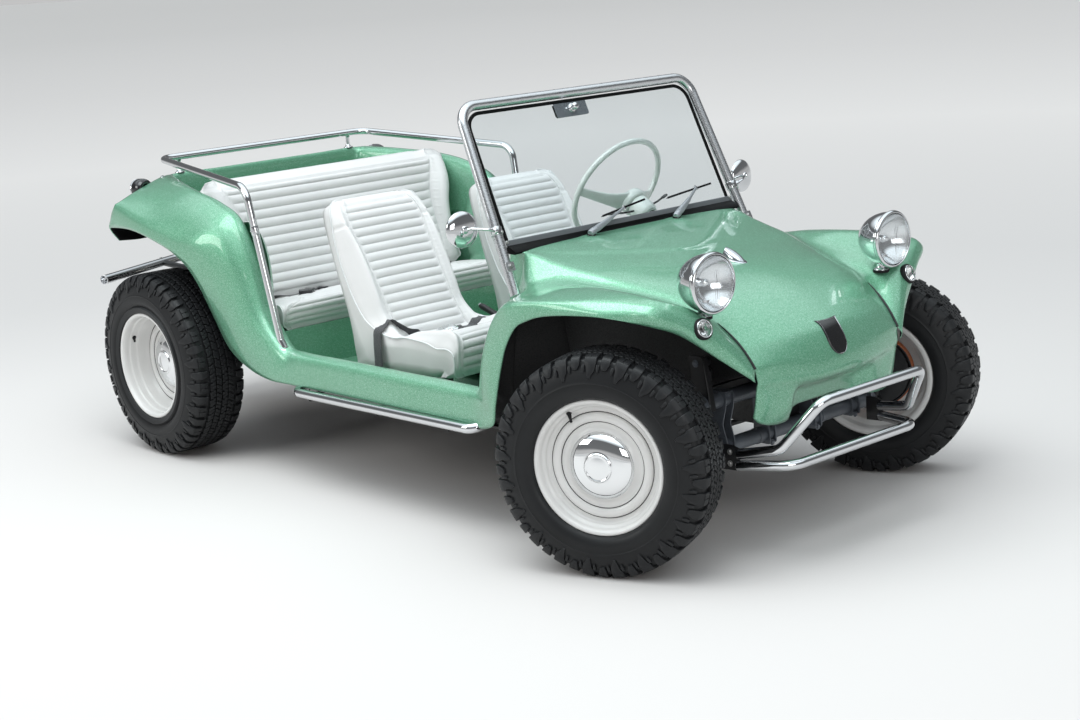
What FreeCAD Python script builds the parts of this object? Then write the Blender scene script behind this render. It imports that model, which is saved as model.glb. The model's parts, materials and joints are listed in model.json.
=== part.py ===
import FreeCAD, Part
import math
import os
import Sketcher
from FreeCAD import Placement, Rotation, Vector

# Open four-seat beach buggy on a rear-engined platform chassis.
# Frame: +X forward, +Y left, +Z up, origin on the ground under the middle of
# the vehicle's box.  Tables below are written from the middle of the
# wheelbase (x = 0 there) and every sub-part is then moved by shift_x.

doc = FreeCAD.newDocument("dune_buggy")
sheet = doc.addObject("Spreadsheet::Sheet", "Dims")

# alias, value (mm or degrees), what it is
DIMS = [
    ("shift_x", 92.0, "middle of the wheelbase, ahead of the box centre"),
    ("half_base", 1200.0, "half the wheelbase"),
    ("king_y", 628.7, "kingpin axis from the centreline"),
    ("king_out", 35.5, "wheel centre plane outboard of the kingpin"),
    ("steer_right", 22.5, "right wheel, turned left at rest"),
    ("steer_left", 24.4, "left wheel, turned left at rest"),
    ("tyre_rad_front", 340.0, "front tyre outer radius"),
    ("tyre_rad_rear", 356.0, "rear tyre outer radius"),
    ("tyre_half_front", 104.0, "half the front tyre's section width"),
    ("tyre_half_rear", 118.0, "half the rear tyre's section width"),
    ("tread_half_front", 86.0, "half the front tread width"),
    ("tread_half_rear", 100.0, "half the rear tread width"),
    ("bead_rad", 190.5, "bead seat radius of a 15 inch rim"),
    ("flange_rad", 207.0, "rim flange outer radius"),
    ("rim_half_front", 84.5, "half the front rim over its flanges"),
    ("rim_half_rear", 111.5, "half the rear rim over its flanges"),
    ("rear_wheel_y", 692.5, "rear wheel centre plane"),
    ("arm_long", 120.0, "steering arm behind the kingpin"),
    ("arm_in", 35.0, "steering arm end inboard of the kingpin"),
    ("drum_rad", 124.0, "brake drum radius"),
    ("cap_rad", 103.0, "chrome hubcap radius"),
    ("skin", 6.0, "laminate thickness of the body mouldings"),
    ("pan_thick", 4.0, "floor plate with its stiffening"),
    ("pan_z", 333.0, "underside of the floor plates"),
    ("tunnel_wide", 150.0, "central tunnel width"),
    ("tunnel_high", 120.0, "central tunnel height above the floor"),
    ("screen_tube", 34.0, "windshield frame tube diameter"),
    ("rail_tube", 28.0, "rear rail tube diameter"),
    ("bumper_tube", 32.0, "front bumper tube diameter"),
    ("rear_bumper_tube", 38.0, "rear bumper tube diameter"),
    ("side_bar_tube", 34.0, "side bar tube diameter"),
    ("beam_tube", 48.0, "front axle beam tube diameter"),
    ("beam_x", 1345.0, "front axle beam from mid wheelbase"),
    ("beam_half", 412.0, "half the beam's length"),
    ("beam_low_z", 320.0, "lower beam tube height"),
    ("beam_gap", 150.0, "upper tube above the lower"),
    ("ring_rad", 195.0, "steering wheel ring radius"),
    ("ring_tube", 11.0, "steering wheel ring section radius"),
    ("ring_x", 323.0, "steering wheel centre from mid wheelbase"),
    ("ring_y", 300.0, "steering column from the centreline"),
    ("ring_z", 977.0, "steering wheel centre height"),
    ("column_tilt", 29.0, "column slope from level"),
    ("glass", 5.0, "windshield glass"),
    ("engine_long", 380.0, "engine block length"),
    ("engine_wide", 680.0, "engine block width"),
    ("engine_high", 430.0, "engine block height"),
    ("engine_front_x", -1350.0, "engine front face from mid wheelbase"),
    ("engine_low_z", 262.0, "engine underside"),
    ("lamp_rad", 93.0, "headlight shell radius"),
    ("park_rad", 30.0, "parking lamp radius"),
    ("mirror_rad", 60.0, "side mirror radius"),
    ("seat_wide", 420.0, "front seat width"),
    ("bench_wide", 1090.0, "rear bench cushion width"),
    ("bench_back_wide", 1180.0, "rear bench back width"),
]
D = {}
for row, (alias, value, what) in enumerate(DIMS, start=1):
    sheet.set("A%d" % row, what)
    sheet.set("B%d" % row, repr(value))
    sheet.setAlias("B%d" % row, alias)
    D[alias] = value
doc.recompute()

PARTS = []          # every sub-part that is written out


def value_of(text):
    """Number of an expression written in sheet aliases."""
    total, sign = 0.0, 1.0
    for word in str(text).replace("-", " - ").replace("+", " + ").split():
        if word == "-":
            sign = -1.0
        elif word == "+":
            sign = 1.0
        else:
            total += sign * (D[word] if word in D else float(word))
            sign = 1.0
    return total


def bound(text):
    """The same expression for setExpression, with the sheet's name."""
    words = str(text).replace("-", " - ").replace("+", " + ").split()
    return " ".join("Dims." + w if w in D else w for w in words)


def keep(obj, label, moved=True):
    """Label a sub-part and bind its place to the sheet's shift."""
    obj.Label = label
    if moved:
        obj.setExpression(".Placement.Base.x", "Dims.shift_x")
    PARTS.append(obj)
    return obj


def origin_plane(body, role):
    for feature in body.Origin.OriginFeatures:
        if feature.Role == role:
            return feature


def poly_sketch(body, name, role, table):
    """Closed outline of straight lines, every corner bound to the sheet."""
    sk = body.newObject("Sketcher::SketchObject", name)
    sk.AttachmentSupport = [(origin_plane(body, role), "")]
    sk.MapMode = "FlatFace"
    pts = [Vector(value_of(u), value_of(v), 0) for u, v in table]
    n = len(pts)
    for i in range(n):
        sk.addGeometry(Part.LineSegment(pts[i], pts[(i + 1) % n]), False)
    for i in range(n):
        sk.addConstraint(Sketcher.Constraint("Coincident", i, 2, (i + 1) % n, 1))
    for i, (u, v) in enumerate(table):
        for kind, text, val in (("DistanceX", u, pts[i].x), ("DistanceY", v, pts[i].y)):
            c = sk.addConstraint(Sketcher.Constraint(kind, -1, 1, i, 1, val))
            if any(w in D for w in str(text).replace("-", " ").replace("+", " ").split()):
                sk.setExpression("Constraints[%d]" % c, bound(text))
    return sk


def turned(label, table, role="YZ_Plane"):
    """Body turned about its own Y axis from a table of (along axis, radius)."""
    body = doc.addObject("PartDesign::Body", label)
    sk = poly_sketch(body, label + "_profile", role, table)
    rev = body.newObject("PartDesign::Revolution", label + "_turn")
    rev.Profile = sk
    rev.ReferenceAxis = (sk, ["H_Axis"])
    rev.Angle = 360.0
    sk.Visibility = False
    body.Tip = rev
    return body


def padded(label, role, table, length, mid=True):
    """Body padded from an outline; length is an expression in the sheet."""
    body = doc.addObject("PartDesign::Body", label)
    sk = poly_sketch(body, label + "_outline", role, table)
    pad = body.newObject("PartDesign::Pad", label + "_pad")
    pad.Profile = sk
    pad.Length = value_of(length)
    if any(w in D for w in str(length).split()):
        pad.setExpression("Length", bound(length))
    pad.Midplane = mid
    sk.Visibility = False
    body.Tip = pad
    return body


def rod(points, radius, bends=None):
    """Round bar along straight runs joined by tangent arcs."""
    pts = [Vector(*p) for p in points]
    n = len(pts)
    if bends is None:
        bends = [0.0] * n
    edges, last = [], pts[0]
    for i in range(1, n - 1):
        a = (pts[i - 1] - pts[i]).normalize()
        b = (pts[i + 1] - pts[i]).normalize()
        turn = math.pi - a.getAngle(b)
        cut = bends[i] * math.tan(turn / 2.0)
        start, stop = pts[i] + a * cut, pts[i] + b * cut
        mid_dir = (a + b).normalize()
        centre = pts[i] + mid_dir * (bends[i] / math.cos(turn / 2.0))
        middle = centre - mid_dir * bends[i]
        edges.append(Part.makeLine(last, start))
        edges.append(Part.Arc(start, middle, stop).toShape())
        last = stop
    edges.append(Part.makeLine(last, pts[-1]))
    path = Part.Wire(edges)
    first = (pts[1] - pts[0]).normalize()
    ring = Part.Wire([Part.makeCircle(radius, pts[0], first)])
    pipe = Part.BRepOffsetAPI.MakePipeShell(path)
    pipe.setFrenetMode(False)
    pipe.add(ring, False, False)
    pipe.build()
    pipe.makeSolid()
    return pipe.shape()


def mirrored(shape):
    return shape.mirror(Vector(0, 0, 0), Vector(0, 1, 0))


def feature(label, shape, moved=True):
    obj = doc.addObject("Part::Feature", label)
    obj.Shape = shape
    return keep(obj, label, moved)


def fused(shapes):
    whole = shapes[0]
    if len(shapes) > 1:
        whole = whole.fuse(shapes[1:])
    return whole


def plate(points, thick):
    """Flat panel: an outline in space, thickened along a vector."""
    pts = [Vector(*p) for p in points]
    return Part.Face(Part.makePolygon(pts + [pts[0]])).extrude(Vector(*thick))


def skin_of(rows, thick):
    """Laminate between a grid of outer points and the same grid set in by
    the thickness.  rows: one list of points a station, first to last."""
    m, n = len(rows), len(rows[0])
    outer = [[Vector(*p) for p in row] for row in rows]
    inner = []
    for i in range(m):
        line = []
        for j in range(n):
            du = outer[min(i + 1, m - 1)][j] - outer[max(i - 1, 0)][j]
            dv = outer[i][min(j + 1, n - 1)] - outer[i][max(j - 1, 0)]
            line.append(outer[i][j] + du.cross(dv).normalize() * thick)
        inner.append(line)
    faces = []

    def tri(a, b, c):
        faces.append(Part.Face(Part.makePolygon([a, b, c, a])))

    def quad(a, b, c, d):
        tri(a, b, c)
        tri(a, c, d)

    for i in range(m - 1):
        for j in range(n - 1):
            quad(outer[i][j], outer[i + 1][j], outer[i + 1][j + 1], outer[i][j + 1])
            quad(inner[i][j], inner[i][j + 1], inner[i + 1][j + 1], inner[i + 1][j])
    for i in range(m - 1):
        for j in (0, n - 1):
            quad(outer[i][j], outer[i + 1][j], inner[i + 1][j], inner[i][j])
    for j in range(n - 1):
        for i in (0, m - 1):
            quad(outer[i][j], outer[i][j + 1], inner[i][j + 1], inner[i][j])
    shell = Part.makeShell(faces)
    shell.sewShape()
    solid = Part.makeSolid(shell)
    if solid.Volume < 0:
        solid.reverse()
    return solid


# ------------------------------------------------------------------ chassis
# Floor plates and tunnel of pressed steel, one section padded along the car.
# columns: across the car, height
PAN = [("-575", "pan_z"), ("575", "pan_z"), ("575", "pan_z + pan_thick"),
       ("75", "pan_z + pan_thick"), ("62", "pan_z + tunnel_high"),
       ("-62", "pan_z + tunnel_high"), ("-75", "pan_z + pan_thick"),
       ("-575", "pan_z + pan_thick")]
pan = padded("floor_pan", "YZ_Plane", PAN, "1340")
pan.setExpression(".Placement.Base.x", "Dims.shift_x + 20")
pan.Label = "floor_pan"
PARTS.append(pan)

# Frame head: box from the tunnel's front to the beam, fork at the back.
head = doc.addObject("Part::Box", "head_box")
head.setExpression("Length", "Dims.beam_x - 719")
head.Width, head.Height = 170, 96
head.Placement = Placement(Vector(692, -85, 335), Rotation())
cross = doc.addObject("Part::Box", "head_cross")
cross.Length, cross.Width, cross.Height = 60, 360, 60
cross.Placement = Placement(Vector(1000, -180, 345), Rotation())
frame_head = doc.addObject("Part::Fuse", "frame_head")
frame_head.Base, frame_head.Tool = head, cross
keep(frame_head, "frame_head")

# Front axle beam: two tubes, four clamp plates and the shock towers.
R = D["beam_tube"] / 2
low, up = D["beam_low_z"], D["beam_low_z"] + D["beam_gap"]
BX, BH = D["beam_x"], D["beam_half"]
beam = [Part.makeCylinder(R, 2 * BH, Vector(BX, -BH, z), Vector(0, 1, 0)) for z in (low, up)]
for y in (-300, -110, 110, 300):
    beam.append(Part.makeBox(70, 8, up - low + 60, Vector(BX - 35, y - 4, low - 30)))
for s in (-1, 1):
    tower = plate([(BX - 30, 0, up - 20), (BX + 30, 0, up - 20), (BX + 10, 0, up + 150),
                   (BX - 50, 0, up + 150)], (0, 10, 0))
    tower.translate(Vector(0, s * 385 - 5, 0))
    beam.append(tower)
    beam.append(plate([(BX - 30, s * 385 - 5, low - 10), (BX + 30, s * 385 - 5, low - 10),
                       (BX + 30, s * 385 - 5, up + 10), (BX - 30, s * 385 - 5, up + 10)], (0, 10, 0)))
feature("front_axle_beam", fused(beam))

# Trailing arms: from the beam's ends back to an eye above and below each
# knuckle.  columns: height at the beam, height at the eye
KX, KY, WZ = D["half_base"], D["king_y"], D["tyre_rad_front"]
ARMS = [(low, WZ - 100), (up, WZ + 100)]
arms = []
for s in (-1, 1):
    for beam_z, eye_z in ARMS:
        a = Vector(BX, s * (BH + 12), beam_z)
        b = Vector(KX, s * KY, eye_z)
        bar = rod([tuple(a), tuple(b)], 14)
        eye = Part.makeCylinder(16, 24, Vector(KX, s * KY, eye_z - 12), Vector(0, 0, 1))
        arms.append(bar.fuse(eye))
feature("front_arms", Part.makeCompound(arms))

# Rear torsion housing, spring plates and axle tubes.
TX, TZ = -790.0, 392.0
AX, AZ = -D["half_base"], D["tyre_rad_rear"]
housing = [Part.makeCylinder(38, 800, Vector(TX, -400, TZ), Vector(0, 1, 0)),
           Part.makeBox(90, 130, 50, Vector(TX - 45, -65, TZ - 60))]
for s in (-1, 1):
    housing.append(Part.makeCylinder(52, 60, Vector(TX, s * 430 - 30, TZ), Vector(0, 1, 0)))
feature("rear_torsion_housing", fused(housing))
axles = []
for s in (-1, 1):
    tube = Part.makeCylinder(30, 499, Vector(AX, s * 376.5 - 249.5, AZ), Vector(0, 1, 0))
    y0 = s * 466 - 4
    spring = plate([(TX + 30, y0, TZ + 26), (TX + 30, y0, TZ - 26), (AX - 40, y0, AZ - 42),
                    (AX - 40, y0, AZ + 42)], (0, 8, 0))
    back = Part.makeCylinder(118, 6, Vector(AX, s * 631 - 3, AZ), Vector(0, 1, 0))
    axles.append(fused([tube, spring, back]))
feature("rear_axles", Part.makeCompound(axles))

# Gearbox: bell housing, case with side plates, and nose cone.
box = [Part.makeCone(118, 165, 120, Vector(-1228, 0, AZ), Vector(-1, 0, 0)),
       Part.makeCylinder(112, 220, Vector(-1010, 0, AZ), Vector(-1, 0, 0)),
       Part.makeCone(80, 112, 60, Vector(-950, 0, AZ), Vector(-1, 0, 0)),
       Part.makeCylinder(58, 60, Vector(-892, 0, AZ), Vector(-1, 0, 0)),
       Part.makeCylinder(95, 246, Vector(AX, -123, AZ), Vector(0, 1, 0))]
feature("gearbox", fused(box))

# Engine: one plain block at its real place and size.
engine = doc.addObject("Part::Box", "engine")
engine.setExpression("Length", "Dims.engine_long")
engine.setExpression("Width", "Dims.engine_wide")
engine.setExpression("Height", "Dims.engine_high")
engine.setExpression(".Placement.Base.x", "Dims.shift_x + Dims.engine_front_x - Dims.engine_long")
engine.setExpression(".Placement.Base.y", "-Dims.engine_wide / 2")
engine.setExpression(".Placement.Base.z", "Dims.engine_low_z")
keep(engine, "engine", moved=False)

# Exhaust: silencer drum across the back, two stub tail pipes.
drum = [Part.makeCylinder(62, 520, Vector(-1822, -260, 330), Vector(0, 1, 0))]
for s in (-1, 1):
    drum.append(rod([(-1822, s * 120, 300), (-1822, s * 120, 240), (-1848, s * 120, 214)], 17, [0, 22, 0]))
feature("exhaust", fused(drum))

# ------------------------------------------------------------------- wheels
# columns: across the wheel from its centre plane (+ outboard), radius
def tyre_profile(end):
    w, t, r = "tyre_half_" + end, "tread_half_" + end, "tyre_rad_" + end
    return [("0 - rim_half_%s + 14" % end, "bead_rad + 3"), ("0 - rim_half_%s + 10" % end, "bead_rad + 20"),
            ("0 - " + w, "bead_rad + 58"), ("0 - " + w, r + " - 74"), ("0 - " + t + " - 6", r + " - 20"),
            ("0 - " + t + " + 10", r + " - 3"), ("0 - " + t + " + 45", r), (t + " - 45", r),
            (t + " - 10", r + " - 3"), (t + " + 6", r + " - 20"), (w, r + " - 74"),
            (w, "bead_rad + 58"), ("rim_half_%s - 10" % end, "bead_rad + 20"),
            ("rim_half_%s - 14" % end, "bead_rad + 3")]


def rim_profile(end, disc):
    h = "rim_half_" + end
    return [("0 - " + h, "flange_rad"), ("0 - " + h, "flange_rad - 14"), ("0 - " + h + " + 12", "bead_rad - 6"),
            ("0 - " + h + " + 34", "bead_rad - 8"), ("0 - " + h + " + 46", "bead_rad - 28"),
            (disc + " - 6", "bead_rad - 28"), (disc + " - 12", "120"), (disc, "84"), (disc, "30"),
            (disc + " + 5", "30"), (disc + " + 5", "86"), (disc + " - 6", "122"), (disc + " + 4", "bead_rad - 30"),
            (h + " - 26", "bead_rad - 22"), (h + " - 12", "bead_rad - 6"), (h, "flange_rad - 14"),
            (h, "flange_rad"), (h + " - 5", "flange_rad"), (h + " - 8", "bead_rad"),
            (h + " - 24", "bead_rad - 1"), (h + " - 40", "bead_rad - 23"),
            ("0 - " + h + " + 48", "bead_rad - 23"), ("0 - " + h + " + 34", "bead_rad - 2"),
            ("0 - " + h + " + 9", "bead_rad"), ("0 - " + h + " + 5", "flange_rad")]


def cap_profile(disc):
    return [(disc + " + 6", "0"), (disc + " + 44", "0"), (disc + " + 43", "38"), (disc + " + 38", "44"),
            (disc + " + 30", "74"), (disc + " + 14", "98"), (disc + " + 6", "cap_rad"),
            (disc + " + 6", "cap_rad - 12")]


def drum_profile(face, deep):
    return [(face + " + 12.3", "0"), (face + " + 12.3", "70"), (face, "80"), (face, "drum_rad - 6"), (face + " - 4", "drum_rad"), (face + " - " + deep, "drum_rad"),
            (face + " - " + deep, "drum_rad - 8"), (face + " - 10", "drum_rad - 10"), (face + " - 10", "34"),
            (face + " - 34", "32"), (face + " - 34", "17"), (face + " - 12", "17"), (face + " - 12", "0")]


WHEELS = [  # side, end, side sign (left +)
    ("right", "front", -1), ("left", "front", 1), ("right", "rear", -1), ("left", "rear", 1)]
DISC = {"front": "44", "rear": "0"}
for side, end, s in WHEELS:
    disc = DISC[end]
    pieces = [("tyre", tyre_profile(end)), ("rim", rim_profile(end, disc)),
              ("hubcap", cap_profile(disc)), ("drum", drum_profile(disc + " - 12.5", "38"))]
    for what, table in pieces:
        name = "%s_%s_%s" % (end, what, side)
        body = turned(name, table)
        body.Label = name
        PARTS.append(body)
        # outboard is +Y of the profile, so the right wheels are turned about
        if end == "front":
            steer = "Dims.steer_" + side
            body.Placement = Placement(Vector(0, 0, 0), Rotation(Vector(0, 0, 1), D["steer_" + side] + (180 if s < 0 else 0)))
            body.setExpression(".Placement.Rotation.Angle", "(%s + %d) * 1 deg" % (steer, 180 if s < 0 else 0))
            body.setExpression(".Placement.Base.x", "Dims.shift_x + Dims.half_base + %d * Dims.king_out * sin(%s)" % (-s, steer))
            body.setExpression(".Placement.Base.y", "%d * (Dims.king_y + Dims.king_out * cos(%s))" % (s, steer))
            body.setExpression(".Placement.Base.z", "Dims.tyre_rad_front")
        else:
            body.Placement = Placement(Vector(0, 0, 0), Rotation(Vector(0, 0, 1), 180 if s < 0 else 0))
            body.setExpression(".Placement.Base.x", "Dims.shift_x - Dims.half_base")
            body.setExpression(".Placement.Base.y", "%d * Dims.rear_wheel_y" % s)
            body.setExpression(".Placement.Base.z", "Dims.tyre_rad_rear")

# Front knuckles: kingpin post, back plate, stub axle and steering arm, made
# for the straight-ahead wheel and then turned about the kingpin.
for side, s in (("right", -1), ("left", 1)):
    post = Part.makeCylinder(16, 150, Vector(0, 0, -75), Vector(0, 0, 1))
    boss = Part.makeCylinder(26, 44, Vector(0, -22, 0), Vector(0, 1, 0))
    stub = Part.makeCylinder(14, 50, Vector(0, 0, 0), Vector(0, 1, 0))
    back = Part.makeCylinder(112, 4, Vector(0, 19, 0), Vector(0, 1, 0))
    AL, AI = D["arm_long"], D["arm_in"]
    arm = plate([(0, -8, -40), (-AL - 14, -AI + 14, -40), (-AL - 14, -AI - 14, -40), (0, -36, -40)], (0, 0, 10))
    boss2 = Part.makeBox(30, 36, 20, Vector(-20, -30, -45))
    shape = fused([post, boss, stub, back, arm, boss2])
    if s < 0:
        shape = mirrored(shape)
    knuckle = feature("front_knuckle_" + side, shape, moved=False)
    knuckle.Placement = Placement(Vector(0, 0, 0), Rotation(Vector(0, 0, 1), D["steer_" + side]))
    knuckle.setExpression(".Placement.Rotation.Angle", "Dims.steer_%s * 1 deg" % side)
    knuckle.setExpression(".Placement.Base.x", "Dims.shift_x + Dims.half_base")
    knuckle.setExpression(".Placement.Base.y", "%d * Dims.king_y" % s)
    knuckle.setExpression(".Placement.Base.z", "Dims.tyre_rad_front")

# Track rod under the two steering arms, between their ends at rest.
ends = []
for side, s in (("right", -1), ("left", 1)):
    a = math.radians(D["steer_" + side])
    u, v = -D["arm_long"], -s * D["arm_in"]
    ends.append(Vector(KX + u * math.cos(a) - v * math.sin(a), s * KY + u * math.sin(a) + v * math.cos(a), WZ - 54))
track = rod([tuple(e) for e in ends], 10)
eyes = [Part.makeCylinder(14, 20, e - Vector(0, 0, 8), Vector(0, 0, 1)) for e in ends]
feature("track_rod", fused([track] + eyes))

# --------------------------------------------------------------------- body
T = D["skin"]
# Front fender, right side, y as distance from the centreline.  One row a
# station, from the sill up the pillar and along the top to the front tip.
# columns: shoulder under the hood's ridge, valley, crest, outer edge, lip
FRONT_FENDER = [
    ((690, 565, 380), (650, 580, 430), (600, 622, 468), (640, 664, 440), (705, 672, 375)),
    ((690, 562, 480), (660, 585, 490), (632, 634, 508), (665, 682, 520), (742, 690, 440)),
    ((695, 548, 620), (684, 585, 610), (680, 640, 600), (712, 704, 610), (795, 705, 560)),
    ((698, 515, 760), (722, 545, 738), (745, 632, 712), (780, 716, 718), (855, 722, 662)),
    ((705, 494, 888), (772, 545, 812), (820, 628, 795), (870, 738, 785), (925, 734, 732)),
    ((892, 463, 852), (905, 520, 828), (930, 600, 826), (960, 738, 803), (1010, 728, 765)),
    ((1050, 422, 820), (1060, 490, 812), (1100, 575, 838), (1110, 708, 816), (1150, 714, 780)),
    ((1149, 391, 797), (1170, 470, 793), (1230, 590, 838), (1240, 666, 826), (1290, 694, 788)),
    ((1290, 366, 756), (1310, 430, 770), (1360, 590, 828), (1390, 627, 814), (1395, 630, 757)),
    ((1400, 358, 712), (1405, 420, 745), (1420, 500, 768), (1435, 545, 765), (1428, 545, 715)),
    ((1470, 348, 650), (1475, 375, 668), (1482, 420, 672), (1487, 436, 664), (1479, 427, 621)),
    ((1517, 340, 590), (1521, 345, 584), (1525, 350, 576), (1526, 353, 568), (1522, 346, 552)),
]
right = [[(x, -y, z) for x, y, z in row] for row in FRONT_FENDER]
fender = skin_of(right, T)
feature("front_fenders", Part.makeCompound([fender, mirrored(fender)]))

# Hood and nose, one moulding.  columns: centre, half way out, ridge
HOOD = [
    ((642, 0, 906), (655, 260, 906), (680, 495, 904)),
    ((892, 0, 869), (892, 240, 867), (892, 462, 857)),
    ((1100, 0, 840), (1100, 210, 834), (1090, 409, 816)),
    ((1250, 0, 812), (1250, 190, 802), (1239, 367, 781)),
    ((1400, 0, 750), (1400, 180, 742), (1385, 354, 722)),
    ((1513, 0, 675), (1500, 175, 670), (1470, 344, 652)),
    ((1572, 0, 528), (1556, 175, 533), (1521, 334, 547)),
    ((1478, 0, 405), (1510, 165, 402), (1512, 292, 421)),
]
rows = [[(r[0], -r[1], r[2]), (m[0], -m[1], m[2]), c, m, r] for c, m, r in HOOD]
feature("front_hood", skin_of([list(reversed(row)) for row in rows], T))

# Rear quarter and fender, right side.
# columns: cabin edge, crest, shoulder, flank edge, lip
REAR_QUARTER = [
    ((-500, 572, 452), (-505, 600, 468), (-480, 645, 440), (-505, 662, 400), (-575, 664, 352)),
    ((-562, 572, 512), (-557, 602, 523), (-555, 655, 508), (-600, 678, 450), (-679, 676, 383)),
    ((-615, 574, 590), (-605, 604, 600), (-620, 665, 590), (-670, 694, 530), (-745, 690, 450)),
    ((-647, 576, 683), (-637, 606, 693), (-665, 676, 690), (-725, 708, 640), (-800, 704, 560)),
    ((-690, 578, 800), (-677, 608, 813), (-710, 688, 805), (-785, 728, 775), (-860, 724, 732)),
    ((-765, 580, 915), (-747, 608, 935), (-775, 680, 905), (-825, 744, 862), (-888, 744, 834)),
    ((-880, 580, 962), (-867, 606, 985), (-890, 676, 950), (-950, 750, 908), (-993, 754, 885)),
    ((-1043, 570, 995), (-1043, 594, 1018), (-1060, 664, 985), (-1120, 752, 958), (-1160, 760, 936)),
    ((-1250, 515, 1016), (-1250, 538, 1038), (-1260, 620, 1010), (-1300, 750, 962), (-1335, 756, 908)),
    ((-1432, 450, 1030), (-1440, 472, 1050), (-1446, 600, 1016), (-1428, 738, 966), (-1500, 737, 868)),
]
right = [[(x, -y, z) for x, y, z in row] for row in REAR_QUARTER]
quarter = skin_of([list(reversed(row)) for row in right], T)
feature("rear_quarters", Part.makeCompound([quarter, mirrored(quarter)]))

# Tub: sills, footwell, cabin sides, heel board, rear well and back panel.
sill_out = [(-655, 352), (-655, 440), (-640, 462), (-612, 472), (-585, 462), (-576, 440), (-576, 352)]
sill_in = [(-649, 358), (-649, 438), (-636, 457), (-612, 466), (-589, 458), (-582, 438), (-582, 358)]
ring = Part.Face([Part.makePolygon([Vector(-560, y, z) for y, z in sill_out + sill_out[:1]]),
                  Part.makePolygon([Vector(-560, y, z) for y, z in reversed(sill_in + sill_in[:1])])])
sill = ring.extrude(Vector(1250, 0, 0))
WALLS = [  # outline of each right-hand panel, then its thickness
    # cabin side beside the rear wheel, up to the wheel house's top
    ([(-500, -566, 338), (-560, -566, 338), (-1430, -566, 640), (-1430, -566, 742), (-640, -566, 742), (-600, -566, 600)], (0, T, 0)),
    # wheel house top, out to the quarter
    ([(-700, -560, 742), (-700, -600, 742), (-1430, -600, 742), (-1430, -560, 742)], (0, 0, T)),
]
walls = [sill]
for outline, thick in WALLS:
    walls.append(plate(outline, thick))
side = fused(walls)
heel = [
    # heel board under the bench, shelf over the torsion housing, rising panel
    plate([(-640, -563, 338), (-640, 563, 338), (-640, 563, 506), (-640, -563, 506)], (-T, 0, 0)),
    plate([(-640, -563, 500), (-640, 563, 500), (-942, 563, 500), (-942, -563, 500)], (0, 0, T)),
    plate([(-930, -563, 500), (-930, 563, 500), (-1012, 563, 745), (-1012, -563, 745)], (-T, 0, 0)),
]
feature("body_tub", fused([side, mirrored(side)] + heel))

# Footwell: side panels running forward and inward, and the toe board.
toe = plate([(690, -560, 338), (810, -420, 338), (810, -420, 850), (762, -476, 850), (732, -511, 770), (690, -560, 600)], (-4.6, 3.9, 0))
board = plate([(810, -420, 338), (810, 420, 338), (810, 420, 850), (810, -420, 850)], (T, 0, 0))
feature("footwell_panels", fused([board, toe, mirrored(toe)]))

# Rear well behind the bench: floor, two flat panels a side, back panel.
well = [
    plate([(-1008, -594, 742), (-1008, 594, 742), (-1043, 594, 742), (-1434, 474, 742), (-1434, -474, 742), (-1043, -594, 742)], (0, 0, T)),
    plate([(-1430, -478, 742), (-1430, 478, 742), (-1436, 470, 1044), (-1436, -470, 1044)], (-T, 0, 0)),
]
flank = [
    plate([(-665, -600, 742), (-1043, -600, 742), (-1043, -600, 1006), (-880, -600, 972), (-765, -600, 922), (-690, -600, 805)], (0, T, 0)),
    plate([(-1043, -600, 742), (-1430, -478, 742), (-1430, -478, 1036), (-1043, -600, 1006)], (1.8, 5.7, 0)),
]
feature("rear_well", fused(well + flank + [mirrored(f) for f in flank]))

# Tail panel below the rear deck's edge, between the two fenders.
TAIL = [
    ((-1442, 0, 1050), (-1442, 300, 1050), (-1442, 465, 1048)),
    ((-1500, 0, 980), (-1498, 320, 980), (-1480, 560, 975)),
    ((-1545, 0, 880), (-1540, 330, 880), (-1512, 610, 878)),
    ((-1560, 0, 800), (-1552, 320, 800), (-1520, 600, 810)),
]
rows = [[(e[0], -e[1], e[2]), (m[0], -m[1], m[2]), c, m, e] for c, m, e in TAIL]
feature("tail_panel", skin_of(rows, T))

# Dashboard: panel under the cowl with its lower edge rolled back.
dash = padded("dashboard", "XZ_Plane", [("632", "896"), ("626", "896"), ("596", "760"), ("604", "742"), ("628", "742"), ("628", "748"), ("608", "748"), ("602", "762")], "940")
keep(dash, "dashboard")

# ----------------------------------------------------------- glass and frame
# Frame tube: foot, corner of the bend, then the same mirrored.
FOOT, CORNER = (734, 566, 775), (472, 528, 1354)
loop = [(FOOT[0], -FOOT[1], FOOT[2]), (CORNER[0], -CORNER[1], CORNER[2]), CORNER, FOOT]
frame_tube = rod(loop, D["screen_tube"] / 2, [0, 70, 70, 0])
lower = Part.makeBox(16, 1052, 22, Vector(-8, -526, 0))
lower.Placement = Placement(Vector(659, 0, 918), Rotation(Vector(0, 1, 0), -23.9))
feature("windshield_frame", frame_tube.fuse(lower))

# Glass in the frame's plane: bottom half width, top half width, height.
glass = doc.addObject("PartDesign::Body", "windshield_glass")
gsk = poly_sketch(glass, "glass_outline", "YZ_Plane",
                  [("-521", "0"), ("521", "0"), ("506", "382"), ("494", "414"), ("464", "426"),
                   ("-464", "426"), ("-494", "414"), ("-506", "382")])
gpad = glass.newObject("PartDesign::Pad", "glass_pad")
gpad.Profile = gsk
gpad.Length = D["glass"]
gpad.setExpression("Length", "Dims.glass")
gpad.Midplane = True
glass.Tip = gpad
glass.Placement = Placement(Vector(0, 0, 0), Rotation(Vector(0, 1, 0), -23.9))
glass.setExpression(".Placement.Base.x", "Dims.shift_x + 650")
glass.setExpression(".Placement.Base.z", "940.5")
glass.Label = "windshield_glass"
PARTS.append(glass)

# Wipers: pivot stub and arm, one each side.
wipers = []
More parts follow.
